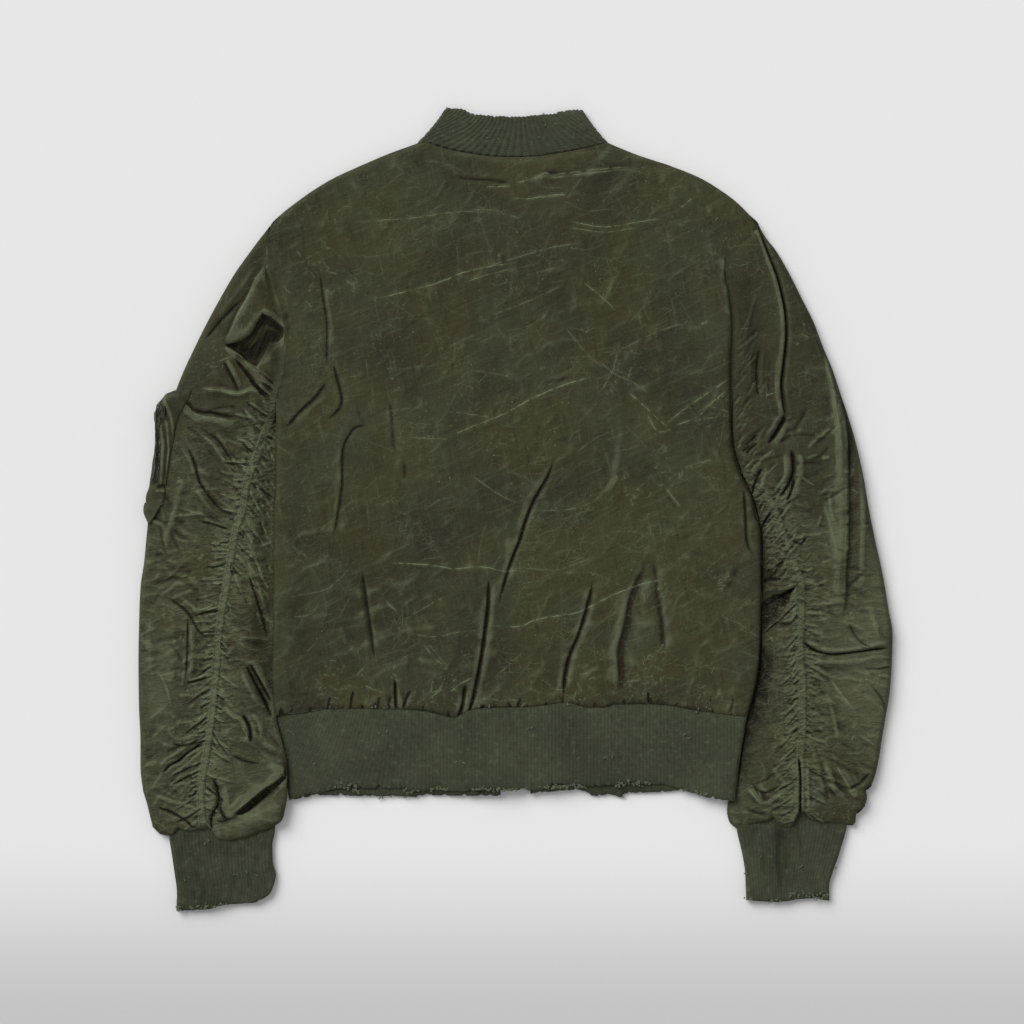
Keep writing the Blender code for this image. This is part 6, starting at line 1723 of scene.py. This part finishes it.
SEAM_ENDS = (
    (-185.5, -198), (-179.5, -199), (-173.5, -197), (-162.5, -197), (-157.5, -196), (-145.5, -199),
    (-139.5, -198), (-133.5, -200), (-129.5, -197), (-104.5, -199), (-99.5, -199), (-95.5, -197),
    (-37.5, -197), (-34.5, -194), (-29.5, -200), (51.5, -194), (56.5, -195), (61.5, -193),
    (105.5, -195), (111.5, -194), (117.5, -193), (129.5, -191), (176.5, -202), (182.5, -200),
    (188.5, -198), (194.5, -200),
)


def hem_top(x):
    """The height of the hem band's upper side."""
    return float(hem_base(x, HEM_RIGHT[-1][1])) + HEM_THICK


loose_yarn = make_thread("loose_yarn", linear(92, 100, 80))
hem_threads = join_solids("hem_threads", [
    *loose_ends(HEM_FRAYS, lambda x: hem_top(x) + 0.4, 3, 6.0, 121, 90, 1.1),
    *loose_ends(HEM_DRIPS, lambda x: 3.0, 3, 6.0, 122),
    *loose_ends(HEM_SNAGS, lambda x: hem_top(x) + 1.2, 1, 4.5, 123, 0),
    *loose_ends(SEAM_ENDS, lambda x: hem_top(x) + 0.3, 1, 5.0, 124, 60, 0.9),
])
hem_rib = make_hem()
dress(hem_rib, rib_knit, "rib_knit", "jacket", "hem_band")
dress(hem_threads, loose_yarn, "rib_knit", "jacket")

# ------------------------------------------------------------------ the cuffs
# Each cuff is a ring of rib knit, folded along its free edge and sewn inside the end of its sleeve. The
# free edges are frayed like the hem's.

CUFF_THICK = 8.4
CUFF_SEWN = (1.6, 6.4)              # the heights of its two sides where it is sewn inside the sleeve
CUFF_WIDE, CUFF_ROLL = 104, 4.2
LEFT_CUFF_SIDES = (
    (-401, -339.5, -247), (-398, -339.5, -244), (-390, -338.7, -241.2), (-380, -338.9, -239.7), (-364,
    -341, -242.8), (-343, -344.2, -243.2), (-327, -346.5, -240.8), (-312, -347, -240),
)
LEFT_CUFF_EDGE = ((-340, -401), (-325, -400.5), (-310, -400), (-291, -395.5), (-275, -394), (-258, -393),
                  (-252, -390), (-244, -386), (-240, -380))
RIGHT_CUFF_SIDES = ((-396, 231.1, 314.5), (-391, 231.0, 314.0), (-379, 230.5, 314.0), (-365, 230.0, 317.5),
                    (-348, 227.5, 323.5), (-341, 226.0, 325.5), (-320, 221.5, 331.5), (-306, 220.5, 333.5))
RIGHT_CUFF_EDGE = ((231, -391), (245, -391.5), (260, -392.5), (272, -391.5), (285, -389.5), (300, -388.5),
                   (308, -390), (314.5, -391))
LEFT_CUFF_FRAYS = (
    (-339.5, -399), (-335.5, -400), (-322.5, -399), (-316.5, -398), (-311.5, -399), (-306.5, -397),
    (-301.5, -398), (-296.5, -396), (-292.5, -396),
)
LEFT_CUFF_SNAGS = (
    (-311.5, -334), (-307.5, -332), (-330.5, -369), (-327.5, -368), (-282.5, -365), (-277.5, -367),
    (-271.5, -366), (-261.5, -366),
)
RIGHT_CUFF_FRAYS = (
    (232.5, -390), (256.5, -391), (261.5, -392), (274.5, -387), (278.5, -384), (283.5, -387),
    (287.5, -383), (291.5, -387), (295.5, -385), (299.5, -389), (303.5, -385), (307.5, -388),
    (311.5, -386),
)
RIGHT_CUFF_SNAGS = ((228.5, -364), (246.5, -349), (284.5, -359), (320.5, -359))
RIGHT_CUFF_HOLES = ((281.5, -386), (288.5, -382.5), (296.5, -388), (302.5, -385.5), (308.5, -384))
# A cuff's outline, where it is sewn, the middle of its lengthwise crease, how much its ribs sway, how deep
# # its nicks are, its marks, how deep the crease is and how much shade is painted along it, and how dark the
# whole cuff.
Cuff = namedtuple("Cuff", "sides edge end crease lean worn frays snags holes shade grime")
LEFT_CUFF = Cuff(LEFT_CUFF_SIDES, LEFT_CUFF_EDGE, end=-308, crease=(-300, -360), lean=0.0, worn=1.2,
                 frays=LEFT_CUFF_FRAYS, snags=LEFT_CUFF_SNAGS, holes=(), shade=0.0, grime=0.12)
RIGHT_CUFF = Cuff(RIGHT_CUFF_SIDES, RIGHT_CUFF_EDGE, end=-300, crease=(265, -355), lean=0.1, worn=1.8,
                  frays=RIGHT_CUFF_FRAYS, snags=RIGHT_CUFF_SNAGS, holes=RIGHT_CUFF_HOLES, shade=0.4,
                  grime=0.0)
CUFF_RIB_HEIGHT = 0.13


def make_cuff(name, cuff, seed):
    """A cuff as one sheet round its ring, with its free edge turned inside."""
    lefts = [(y, left) for y, left, right in cuff.sides]
    rights = [(y, right) for y, left, right in cuff.sides]
    upper_across = lengthwise(CUFF_WIDE, 0.5, True, True)
    lower_across = lengthwise(CUFF_WIDE, 0.8, True, True)[1:-1]
    across = np.concatenate((upper_across, lower_across[::-1], upper_across[:1]))
    is_upper = np.concatenate((upper_across * 0 + 1, lower_across * 0, (1.0,)))
    edge_x = cuff.edge[0][0] + across * (cuff.edge[-1][0] - cuff.edge[0][0])
    worn = (worn_edge(edge_x, seed, cuff.worn) * is_upper
            + worn_edge(edge_x, seed + 1, 0.8 * cuff.worn) * (1 - is_upper))
    edge_y = flow(cuff.edge, edge_x) + worn + 0.8 * (is_upper - 1)
    sewn_low, sewn_top = CUFF_SEWN
    made = []
    for down in np.linspace(0, 1, 36):
        mid_y = cuff.end + down * (cuff.sides[0][0] + 4 - cuff.end)
        left, right = float(flow(lefts, mid_y)), float(flow(rights, mid_y))
        x = left + across * (right - left)
        y = cuff.end + down * (edge_y - cuff.end)
        fold = rolled(np.minimum(x - left, right - x), CUFF_ROLL)
        puff = 0.6 * ripple(x, y, 45, seed + 2)
        crease = -4.0 * cuff.shade * np.exp(-((x - cuff.crease[0]) / 4) ** 2) * smooth(
            1.2 - np.abs(y - cuff.crease[1]) / 45)
        inside = smooth((down - 0.05) / 0.16)
        top = (sewn_top + (CUFF_THICK - sewn_top + puff) * inside + crease * is_upper
               - 0.8 * smooth((down - 0.94) / 0.06))
        low = sewn_low - 1.45 * inside
        middle = (top + low) / 2
        z = np.where(is_upper > 0, middle + (top - middle) * fold, middle - (middle - low) * fold)
        swing = cuff.lean * 8 * np.sin((y - cuff.end) / 9 + x / 30) * smooth(1 - (x - left) / 50)
        along = np.where(is_upper > 0, x - left + swing, 2 * (right - left) - (x - left))
        along[-1] = 2 * (right - left)
        count = round(2 * CUFF_WIDE / RIB_PITCH)
        made.append((x, y, z, along / (2 * (right - left)) * count, (cuff.end - y) / STITCH_LENGTH))
    x, y, z, ribs, rows = (np.stack(part) for part in zip(*made))
    way_in = np.where(is_upper > 0, -1.0, 1.0)
    near_fold = rolled(np.minimum(x[-1] - x[-1].min(), x[-1].max() - x[-1]), CUFF_ROLL)
    wraps = [(x[-1], y[-1] - out, z[-1] + way_in * drop * near_fold, ribs[-1], rows[-1] + out)
             for out, drop in FREE_EDGE]
    x, y, z, ribs, rows = (np.vstack((grid, *(wrap[number] for wrap in wraps)))[::-1]
                           for number, grid in enumerate((x, y, z, ribs, rows)))
    # Painted shade along the crease and at the worn holes, over an even grime and blotches of it.
    grime = cuff.grime + cuff.shade * np.exp(-((x - cuff.crease[0]) / 6) ** 2) + worn_holes(x, y, cuff.holes)
    grime += 0.11 * ripple(x, 0.25 * y, 8, seed + 3) + 0.09 * ripple(x, y, 26, seed + 4)
    return knit_sheet(name, x, y, z, ribs, rows, grime.clip(0, 0.95), CUFF_RIB_HEIGHT)


cuff_left = make_cuff("left_cuff_rib", LEFT_CUFF, 81)
cuff_right = make_cuff("right_cuff_rib", RIGHT_CUFF, 91)
dress(cuff_left, rib_knit, "rib_knit", "jacket", "cuff_left")
dress(cuff_right, rib_knit, "rib_knit", "jacket", "cuff_right")
for piece, name, cuff, seed in ((cuff_left, "left_cuff_threads", LEFT_CUFF, 131),
                                (cuff_right, "right_cuff_threads", RIGHT_CUFF, 135)):
    threads = join_solids(name, [
        *loose_ends(cuff.frays, lambda x: CUFF_THICK + 0.3, 3, 5.5, seed, 90, 1.1),
        *loose_ends(cuff.snags, lambda x: CUFF_THICK + 1.2, 1, 4.5, seed + 1, 0),
    ])
    dress(threads, loose_yarn, "rib_knit", "jacket")

# ------------------------------------------------------------------ the collar
# The collar is a strip of rib knit, folded along its free edge and sewn round the neck. It is stretched
# at the seam, so its ribs fan out there. The jacket lies on its open front part.

COLLAR_EDGE = (
    (-71, 399.5), (-65, 400.4), (-60.4, 399.7), (-56.6, 400), (-49.7, 398), (-45, 395.4), (-36, 394),
    (-20.6, 392.8), (4, 392), (17.7, 393.2), (25.3, 394), (33, 394.2), (45.2, 397.3), (62, 399.3),
    (67.5, 398.5),
)
COLLAR_THICK, COLLAR_ROLL, COLLAR_WIDE, COLLAR_DEEP = 8.2, 4.0, 150, 44
COLLAR_MIDDLE = 5           # the x that its ribs fan out from
COLLAR_RIB_PITCH = 3.9
FOLD_HEIGHT = 4.1           # of the folds between its back and its front part
FAN = 1.25                  # how much wider the ribs are at the seam than at the free edge, over 1
FRONT_EDGE_Y, FRONT_EDGE_TOP = 329.5, 398


def collar_front(side, down, across, end_x, end_y, end_rib):
    """A line across the collar's front part, from the zip to the end of its back part."""
    neck_y = FRONT_EDGE_Y - COLLAR_DEEP + across * 81
    neck_x = ZIP_HALF + flow(FRONT_NECK, neck_y) + 0.8
    free_x = np.maximum(ZIP_HALF + 0.2, 68 * across)
    free_y = FRONT_EDGE_Y + (FRONT_EDGE_TOP - FRONT_EDGE_Y) * smooth(across)
    x = side * (free_x + (neck_x - free_x) * down)
    y = free_y + (neck_y - free_y) * down
    # The front part starts where the back part ends.
    last = smooth((across - 0.72) / 0.28)
    x = x + (end_x - x) * last
    y = y + (end_y - y) * last
    base = OFF_FLOOR + over_zip(x)
    z = base + (FOLD_HEIGHT - base) * (1 - rolled(np.abs(x - end_x), COLLAR_ROLL))
    step = np.hypot(np.diff(x), np.diff(y))[::-1]
    along = np.concatenate(([0.3], step)).cumsum()[::-1] / COLLAR_RIB_PITCH
    return x, y, z, end_rib - along if side < 0 else end_rib + along


def make_collar():
    """The collar as one sheet, from the zip along the front, round its left end, across the back and on."""
    across = lengthwise(COLLAR_WIDE, 0.55, True, True)
    front_across = np.linspace(0, 1, 110)[1:]
    edge_x = COLLAR_EDGE[0][0] + across * (COLLAR_EDGE[-1][0] - COLLAR_EDGE[0][0])
    seam_x = NECK_SEAM[0][0] + across * (NECK_SEAM[-1][0] - NECK_SEAM[0][0])
    edge_y = flow(COLLAR_EDGE, edge_x) - worn_edge(edge_x, 101, 0.8)
    seam_y = flow(NECK_SEAM, seam_x) - 1.6
    made = []
    for down in np.linspace(0, 1, 30):
        side_bow = 0.3 * math.sin(math.pi * down)
        x = edge_x + (seam_x - edge_x) * down**1.05 - side_bow * np.sign(edge_x) * np.abs(2 * across - 1) ** 4
        y = edge_y + (seam_y - edge_y) * down
        # The base of each end flares out on to the shoulder.
        flare = down**3 * np.abs(2 * across - 1) ** 12
        x = x + np.where(edge_x < 0, -6.0, 3.0) * flare
        y = y - np.where(edge_x < 0, 3.0, 1.0) * flare
        top = COLLAR_THICK + 1.2 * np.sin(math.pi * min(1, down * 1.1)) + 0.3 * ripple(x, y, 50, 102)
        top -= 3.4 * smooth((down - 0.93) / 0.07) + 0.9 * smooth((0.06 - down) / 0.06)
        z = FOLD_HEIGHT + (top - FOLD_HEIGHT) * rolled(np.minimum(x - x[0], x[-1] - x), COLLAR_ROLL)
        ribs = (COLLAR_MIDDLE + (x - COLLAR_MIDDLE) / (1 + FAN * down**1.4)) / COLLAR_RIB_PITCH
        left, right = (collar_front(side, down, front_across, x[end], y[end], ribs[end])
                       for side, end in ((-1, 0), (1, -1)))
        parts = (left, (x, y, z, ribs), [line[::-1] for line in right])
        x, y, z, ribs = (np.concatenate(lines) for lines in zip(*parts))
        made.append((x, y, z, ribs, 0 * x + down * COLLAR_DEEP / STITCH_LENGTH))
    x, y, z, ribs, rows = (np.stack(part) for part in zip(*made))
    is_back = np.zeros(x.shape[1])
    is_back[len(front_across):-len(front_across)] = 1
    # The sewn edge reaches up under the back.
    inside = is_back * smooth((np.minimum(x[-1] - x[-1].min(), x[-1].max() - x[-1]) - 6) / 16)
    x, y, z, ribs, rows = (np.vstack((grid, grid[-1:] + more)) for grid, more in (
        (x, 0), (y, -0.4 - 2.2 * inside), (z, 1.7 * inside), (ribs, 0), (rows, 1)))
    inwards = np.where(is_back > 0, -1.0, 1.0)
    out_x, out_y = x[0] - x[1], y[0] - y[1]
    length = np.maximum(np.hypot(out_x, out_y), 1e-6)
    wraps = [(x[0] + out * out_x / length, y[0] + out * out_y / length, z[0] + drop * inwards, ribs[0],
              rows[0] - out) for out, drop in FREE_EDGE[::-1]]
    x, y, z, ribs, rows = (np.vstack((*(wrap[number] for wrap in wraps), grid))[::-1]
                           for number, grid in enumerate((x, y, z, ribs, rows)))
    # Painted shade: a dark band where the collar runs under the back at the neck seam.
    grime = 0.8 * smooth((rows * STITCH_LENGTH / COLLAR_DEEP - 0.93) / 0.06)
    return knit_sheet("collar_rib", x, y, z, ribs, rows, grime, COLLAR_RIB_HEIGHT)


collar_rib = make_collar()
dress(collar_rib, rib_knit, "rib_knit", "jacket", "collar")
COLLAR_FRAYS = ((-66.5, 399), (-63.5, 399), (-59.5, 398), (28.5, 393), (32.5, 392))
COLLAR_SNAGS = ((-28.5, 372), (-18.5, 370), (24.5, 372), (29.5, 386), (40.5, 384))
collar_threads = join_solids("collar_threads", [
    *loose_ends(COLLAR_FRAYS, lambda x: 6.5, 3, 3.6, 141, 90),
    *loose_ends(COLLAR_SNAGS, lambda x: COLLAR_THICK + 1.8, 1, 3.6, 142, 45),
])
dress(collar_threads, loose_yarn, "rib_knit", "jacket")

# ------------------------------------------------------------------ the sleeve pocket
# The utility pocket is a patch of the same cloth, stitched round the outer edge of the left sleeve. It has
# a zip under a welt, the zip's metal slider at the top and a folded cloth tab at the lower end.

POCKET_LOW, POCKET_TOP = 3.0, 119.0
POCKET_OVER, POCKET_UNDER = 17.5, 48.0
POCKET_BULGE = (
    (3, 3.6), (13, 3.8), (24, 1.6), (38, 1.2), (61, 1.3), (72, 2.6), (84, 5.2), (95, 8.2), (105, 10),
    (113, 7.6), (119, 1.2),
)
POCKET_FOLDS = (
    Fold(1.6, 1.3, 1.5, ((-351.5, 115), (-351.5, 89), (-351.5, 59), (-353.5, 23)), 0.06, 1.6),
    Fold(1.5, 1.2, 1.4, ((-346, 117), (-346, 89), (-346, 59), (-348.5, 21)), 0.06, 1.6),
    Fold(1.3, 1.2, 1.6, ((-341, 119), (-341.5, 89), (-341.5, 59), (-344.5, 20)), 0.06, 1.6),
    Fold(-2.6, 1, 1.2, ((-356.5, 65), (-356, 51), (-356, 37)), 0.25, 1.4),
    Fold(-1.4, 1.4, 1.4, ((-358.5, 21), (-351.5, 23), (-344.5, 21)), 0.3, 1.4),
    Fold(1.2, 1.6, 1.6, ((-359.5, 17), (-352.5, 18), (-345.5, 16))),
    Fold(-1.2, 1.2, 1.2, ((-355.5, 89), (-354.5, 75), (-355.5, 65)), 0.3, 1.4),
)


def pocket_grid():
    """The part of the sleeve's points that the pocket covers, and the column of the outer edge in it."""
    edge = int(np.argmin(left_grid[len(left_grid) // 2, :, 0]))
    height = left_grid[:, edge, 1]
    rows = np.flatnonzero((height > POCKET_LOW) & (height < POCKET_TOP))
    rows = rows[rows > len(END_TURN)]
    middle_row = left_grid[rows[len(rows) // 2]]
    reach = middle_row[:, 0] - middle_row[edge, 0]
    limit = np.where(np.arange(len(reach)) > edge, POCKET_OVER, POCKET_UNDER)
    columns = np.flatnonzero(reach <= limit)
    return left_grid[rows[0]:rows[-1] + 1, columns[0]:columns[-1] + 1], edge - columns[0]


def make_pocket():
    """The pocket's cloth, with its welt and its turned edges."""
    grid, edge = pocket_grid()
    x, y = grid[..., 0], grid[..., 1]
    column = np.arange(grid.shape[1])
    from_edge = np.minimum.reduce((
        y - y[0], y[-1] - y, (x[:, -1:] - x) + 99 * (column < edge), (x[:, :1] - x) + 99 * (column > edge),
    )).clip(0)
    lift = 0.15 + 1.5 * rolled(from_edge, 1.6) - 0.35 * np.exp(-((from_edge - 2.6) / 0.6) ** 2)
    raised = relief(x, y, POCKET_FOLDS) * (column >= edge)
    lift = lift + raised + 0.25 * ripple(x, y, 16, 111) * smooth(from_edge / 4)
    made = grid + faces_of(grid) * lift[..., None]
    reach = x - x[:, edge][:, None]
    made[..., 0] -= (flow(POCKET_BULGE, y) - 1.2) * smooth(1 - reach / 19) * smooth(from_edge / 3)
    made[..., 2] = np.maximum(made[..., 2], 0.05)
    obj = cloth_mesh("sleeve_pocket_cloth", made)
    x, y = made[..., 0], made[..., 1]
    add_wear_and_shade(obj, x, y, raised, random_cracks(x, y, 26, 112, (6, 26)))
    return obj, made


pocket, pocket_points = make_pocket()
dress(pocket, waxed_cotton, "waxed_cloth", "jacket", "sleeve_pocket")


def surface_height(points, x, y):
    """The height of the topmost point of a grid near a place."""
    away = np.hypot(points[..., 0] - x, points[..., 1] - y)
    return float(np.max(points[..., 2][away < 2.2]))


BOX_FACES = ((0, 1, 2, 3), (7, 6, 5, 4), (0, 4, 5, 1), (1, 5, 6, 2), (2, 6, 7, 3), (3, 7, 4, 0))


def tapered_box(centre, half, top_share, along=(0.0, 1.0)):
    """A box round a centre whose top is smaller than its bottom, turned so its length runs along."""
    ax, ay = along
    points = []
    for level, share in ((-1, 1.0), (1, top_share)):
        for sx, sy in ((-1, -1), (-1, 1), (1, 1), (1, -1)):
            across, forth = sx * half[0] * share, sy * half[1] * share
            points.append((centre[0] + across * ay + forth * ax, centre[1] - across * ax + forth * ay,
                           centre[2] + level * half[2]))
    return points, BOX_FACES


ZIP_PATH = ((-355.5, 105), (-357, 89), (-356.8, 62), (-358, 39), (-360.5, 27))
POCKET_TEETH_PITCH = 2.2


def make_pocket_zip():
    """The pocket's zip: its row of small teeth between two lips of tape."""
    path = curve(ZIP_PATH, POCKET_TEETH_PITCH)
    ways = np.gradient(path, axis=0)
    heights = [surface_height(pocket_points, x, y) + 0.1 for x, y in path]
    solids = []
    for number, ((x, y), way, z) in enumerate(zip(path, ways, heights)):
        way = way / np.hypot(*way)
        side = 0.5 if number % 2 else -0.5
        centre = (x + side * way[1], y - side * way[0], z)
        solids.append(tapered_box(centre, (0.8, 0.75, 0.4), 0.75, tuple(way)))
    for side in (-1.9, 1.9):
        rail = [(x + side * way[1] / np.hypot(*way), y - side * way[0] / np.hypot(*way), z)
                for (x, y), way, z in zip(path, ways, heights)]
        solids.append(thread_tube(rail, 0.8, 7))
    return join_solids("pocket_zip_teeth", solids)


def make_metal(name, colour, roughness):
    """Worn metal with a little grime in patches."""
    material, tree, shader = new_material(name)
    grime = noise(tree, add_node(tree, "TexCoord").outputs["Object"], 500, 4, 0.6)
    shade = mix_colour(tree, remap(tree, grime, 0.45, 0.7, 0, 0.6), colour, linear(62, 60, 52))
    dulled = remap(tree, grime, 0.3, 0.7, roughness, roughness + 0.25)
    set_inputs(tree, shader, {"Base Color": shade, "Roughness": dulled, "Metallic": 1.0})
    return material


zip_metal = make_metal("zip_metal", linear(170, 170, 164), 0.32)
dark_metal = make_metal("dark_zip_metal", linear(66, 66, 60), 0.4)
pocket_zip = make_pocket_zip()
dress(pocket_zip, dark_metal, "zip_metal", "jacket", "pocket_zip")


def make_pocket_slider():
    """The slider: a rounded body over the teeth with a raised bridge and a short pull folded down."""
    x, y = -351.3, 97.0
    z = surface_height(pocket_points, x, y)
    return join_solids("pocket_slider_body", (
        tapered_box((x, y + 1.5, z + 0.9), (2.3, 4.2, 0.9), 0.82),
        tapered_box((x, y + 1.8, z + 2.2), (0.8, 2.6, 0.5), 0.6),
        tapered_box((x + 0.2, y - 3.2, z + 1.6), (1.6, 4.4, 0.45), 0.85),
    ))


pocket_slider = make_pocket_slider()
dress(pocket_slider, dark_metal, "zip_metal", "jacket", "pocket_slider")
TAB_LEFT = ((-370.5, 6), (-371.5, 1), (-371, -5), (-366.5, -15))
TAB_RIGHT = ((-350.5, 11), (-353.5, 4), (-358, -4), (-365, -15))
TAB_ACROSS = (0.0, 0.0, 0.03, 0.1, 0.2, 0.35, 0.5, 0.65, 0.8, 0.9, 0.97, 1.0, 1.0)


def tab_side(points, down):
    """Points down one side of the tab, at shares of its length."""
    path = curve(points, 0.4)
    return np.array([path[round(share * (len(path) - 1))] for share in down])


def make_pocket_tab():
    """The tab: a folded strip of cloth, its end cut to a point and its edges stitched."""
    down = np.linspace(0, 1, 22)
    left, right = tab_side(TAB_LEFT, down), tab_side(TAB_RIGHT, down)
    across = np.array(TAB_ACROSS)
    x = left[:, :1] + across * (right[:, :1] - left[:, :1])
    y = left[:, 1:] + across * (right[:, 1:] - left[:, 1:])
    fold = rolled(np.minimum(np.minimum(across, 1 - across) * np.abs(right[:, :1] - left[:, :1]),
                             (1 - down[:, None]) * 12), 1.3)
    base = 13.5 + 1.6 * smooth((x + 372) / 14) + 0.6 * np.sin(down[:, None] * 3)
    z = base + 1.7 * fold + 0.25 * ripple(x, y, 7, 113)
    z[:, [0, -1]] = base[:, [0, -1]] - 1.0
    grid = np.stack((x, y, z), -1)[::-1]
    obj = cloth_mesh("pocket_tab_cloth", grid)
    add_wear_and_shade(obj, grid[..., 0], grid[..., 1], 0.8 * fold[::-1] - 0.5, ())
    return obj


pocket_tab = make_pocket_tab()
dress(pocket_tab, waxed_cotton, "waxed_cloth", "jacket", "pocket_tab")

# ------------------------------------------------------------------ the front zip
# A metal zip joins the fronts, with its face down: two woven tapes, each with half of the teeth, and the
# slider at the top with its pull tab, which turns about its lugs.

TEETH_Z, TEETH_LOW, TEETH_TOP, TEETH_PITCH = 5.0, -277.0, 317.0, 2.5
TOOTH_HALF = (1.5, 0.55, 0.9)
TAPE_LOW, TAPE_TOP, TAPE_BACK = -278.5, 329.5, 5.55
TAPE_ACROSS = (2.8, 2.85, 3.3, 3.9, 4.3, 5.2, 7.0, 9.0, 11.0, 13.0, 14.8, 14.8)


def make_tape(name, side):
    """A woven tape with a bead along its inner edge, where the teeth are clamped."""
    x, y = np.meshgrid(np.array(TAPE_ACROSS), np.arange(TAPE_LOW, TAPE_TOP, 3.0))
    bead = 0.45 * np.exp(-((x - 3.5) / 0.7) ** 2)
    z = 4.55 - bead - 0.1 * np.sin(y / 9)
    z[:, 0] = z[:, -1] = TAPE_BACK
    tape = cloth_mesh(name, np.stack((side * x, y, z), -1), flip=side > 0)
    add_field(tape, "knit", np.stack((x / 0.7, y / 0.8, 0 * x), -1))
    return tape


tape_cotton = make_fabric("tape_cotton", rib_shades, 0.6, 0.0003, 0.15, 0.1)
left_tape, right_tape = make_tape("left_tape", -1), make_tape("right_tape", 1)
dress(left_tape, tape_cotton, "zip_cloth", "jacket", "zip_tape_left")
dress(right_tape, tape_cotton, "zip_cloth", "jacket", "zip_tape_right")


def make_teeth():
    """The two rows of teeth, closed."""
    solids = []
    for number in range(int((TEETH_TOP - TEETH_LOW) / TEETH_PITCH) * 2):
        side = 1 if number % 2 else -1
        y = TEETH_LOW + number * TEETH_PITCH / 2
        solids.append(tapered_box((side, y, TEETH_Z), TOOTH_HALF, 0.9))
    return join_solids("zip_teeth", solids)


zip_teeth = make_teeth()
dress(zip_teeth, zip_metal, "zip_metal", "jacket", "zip_chain")
for node in ("zip_slider", "zip_pull"):
    kept = bpy.data.objects[node]
    kept.data.materials.clear()
    kept.data.materials.append(zip_metal)

# ------------------------------------------------------------------ floor, light and camera
# The jacket lies on a pale paper floor under one large soft light from the upper left.

FRAME_CENTRE = (-3.5, -3.0)     # the middle of what the camera sees
FRAME_WIDE = 1024
TOP_HEIGHT = 8                  # of the cloth that is seen in its own size
LENS = 120.0
SENSOR = 36.0
CAMERA_AWAY = FRAME_WIDE * LENS / SENSOR + TOP_HEIGHT
FLOOR_LIGHT, FLOOR_DARK = linear(232, 232, 232), linear(197, 197, 197)


def make_floor():
    """A pale sheet that goes a little darker towards the bottom."""
    mesh = bpy.data.meshes.new("floor")
    corners = [(x, y, 0.0) for x, y in ((-30, -30), (30, -30), (30, 30), (-30, 30))]
    mesh.from_pydata(corners, [], [(0, 1, 2, 3)])
    floor = bpy.data.objects.new("floor", mesh)
    bpy.context.scene.collection.objects.link(floor)
    material, tree, shader = new_material("floor_paper")
    place = add_node(tree, "SeparateXYZ", {0: add_node(tree, "TexCoord").outputs["Object"]})
    down = remap(tree, place.outputs["Y"], -0.315, -0.515)
    colour = mix_colour(tree, down, FLOOR_LIGHT, FLOOR_DARK)
    set_inputs(tree, shader, {"Base Color": colour, "Roughness": 1.0, "Specular IOR Level": 0.0})
    mesh.materials.append(material)
    return floor


floor = make_floor()

sun_data = bpy.data.lights.new("window", "SUN")
sun_data.energy = 2.66
sun_data.angle = math.radians(38)
sun = bpy.data.objects.new("window", sun_data)
sun.rotation_euler = (math.radians(-36), math.radians(-38), 0)
bpy.context.scene.collection.objects.link(sun)

world = bpy.data.worlds.new("room")
world.use_nodes = True
world.node_tree.nodes["Background"].inputs["Color"].default_value = (1, 1, 1, 1)
world.node_tree.nodes["Background"].inputs["Strength"].default_value = 0.45
bpy.context.scene.world = world
bpy.context.scene.view_settings.view_transform = "Standard"

camera_data = bpy.data.cameras.new("camera")
camera_data.lens = LENS
camera_data.sensor_width = SENSOR
camera_data.clip_end = 50
camera = bpy.data.objects.new("camera", camera_data)
camera.location = (FRAME_CENTRE[0] * MM, FRAME_CENTRE[1] * MM, CAMERA_AWAY * MM)
bpy.context.scene.collection.objects.link(camera)
bpy.context.scene.camera = camera
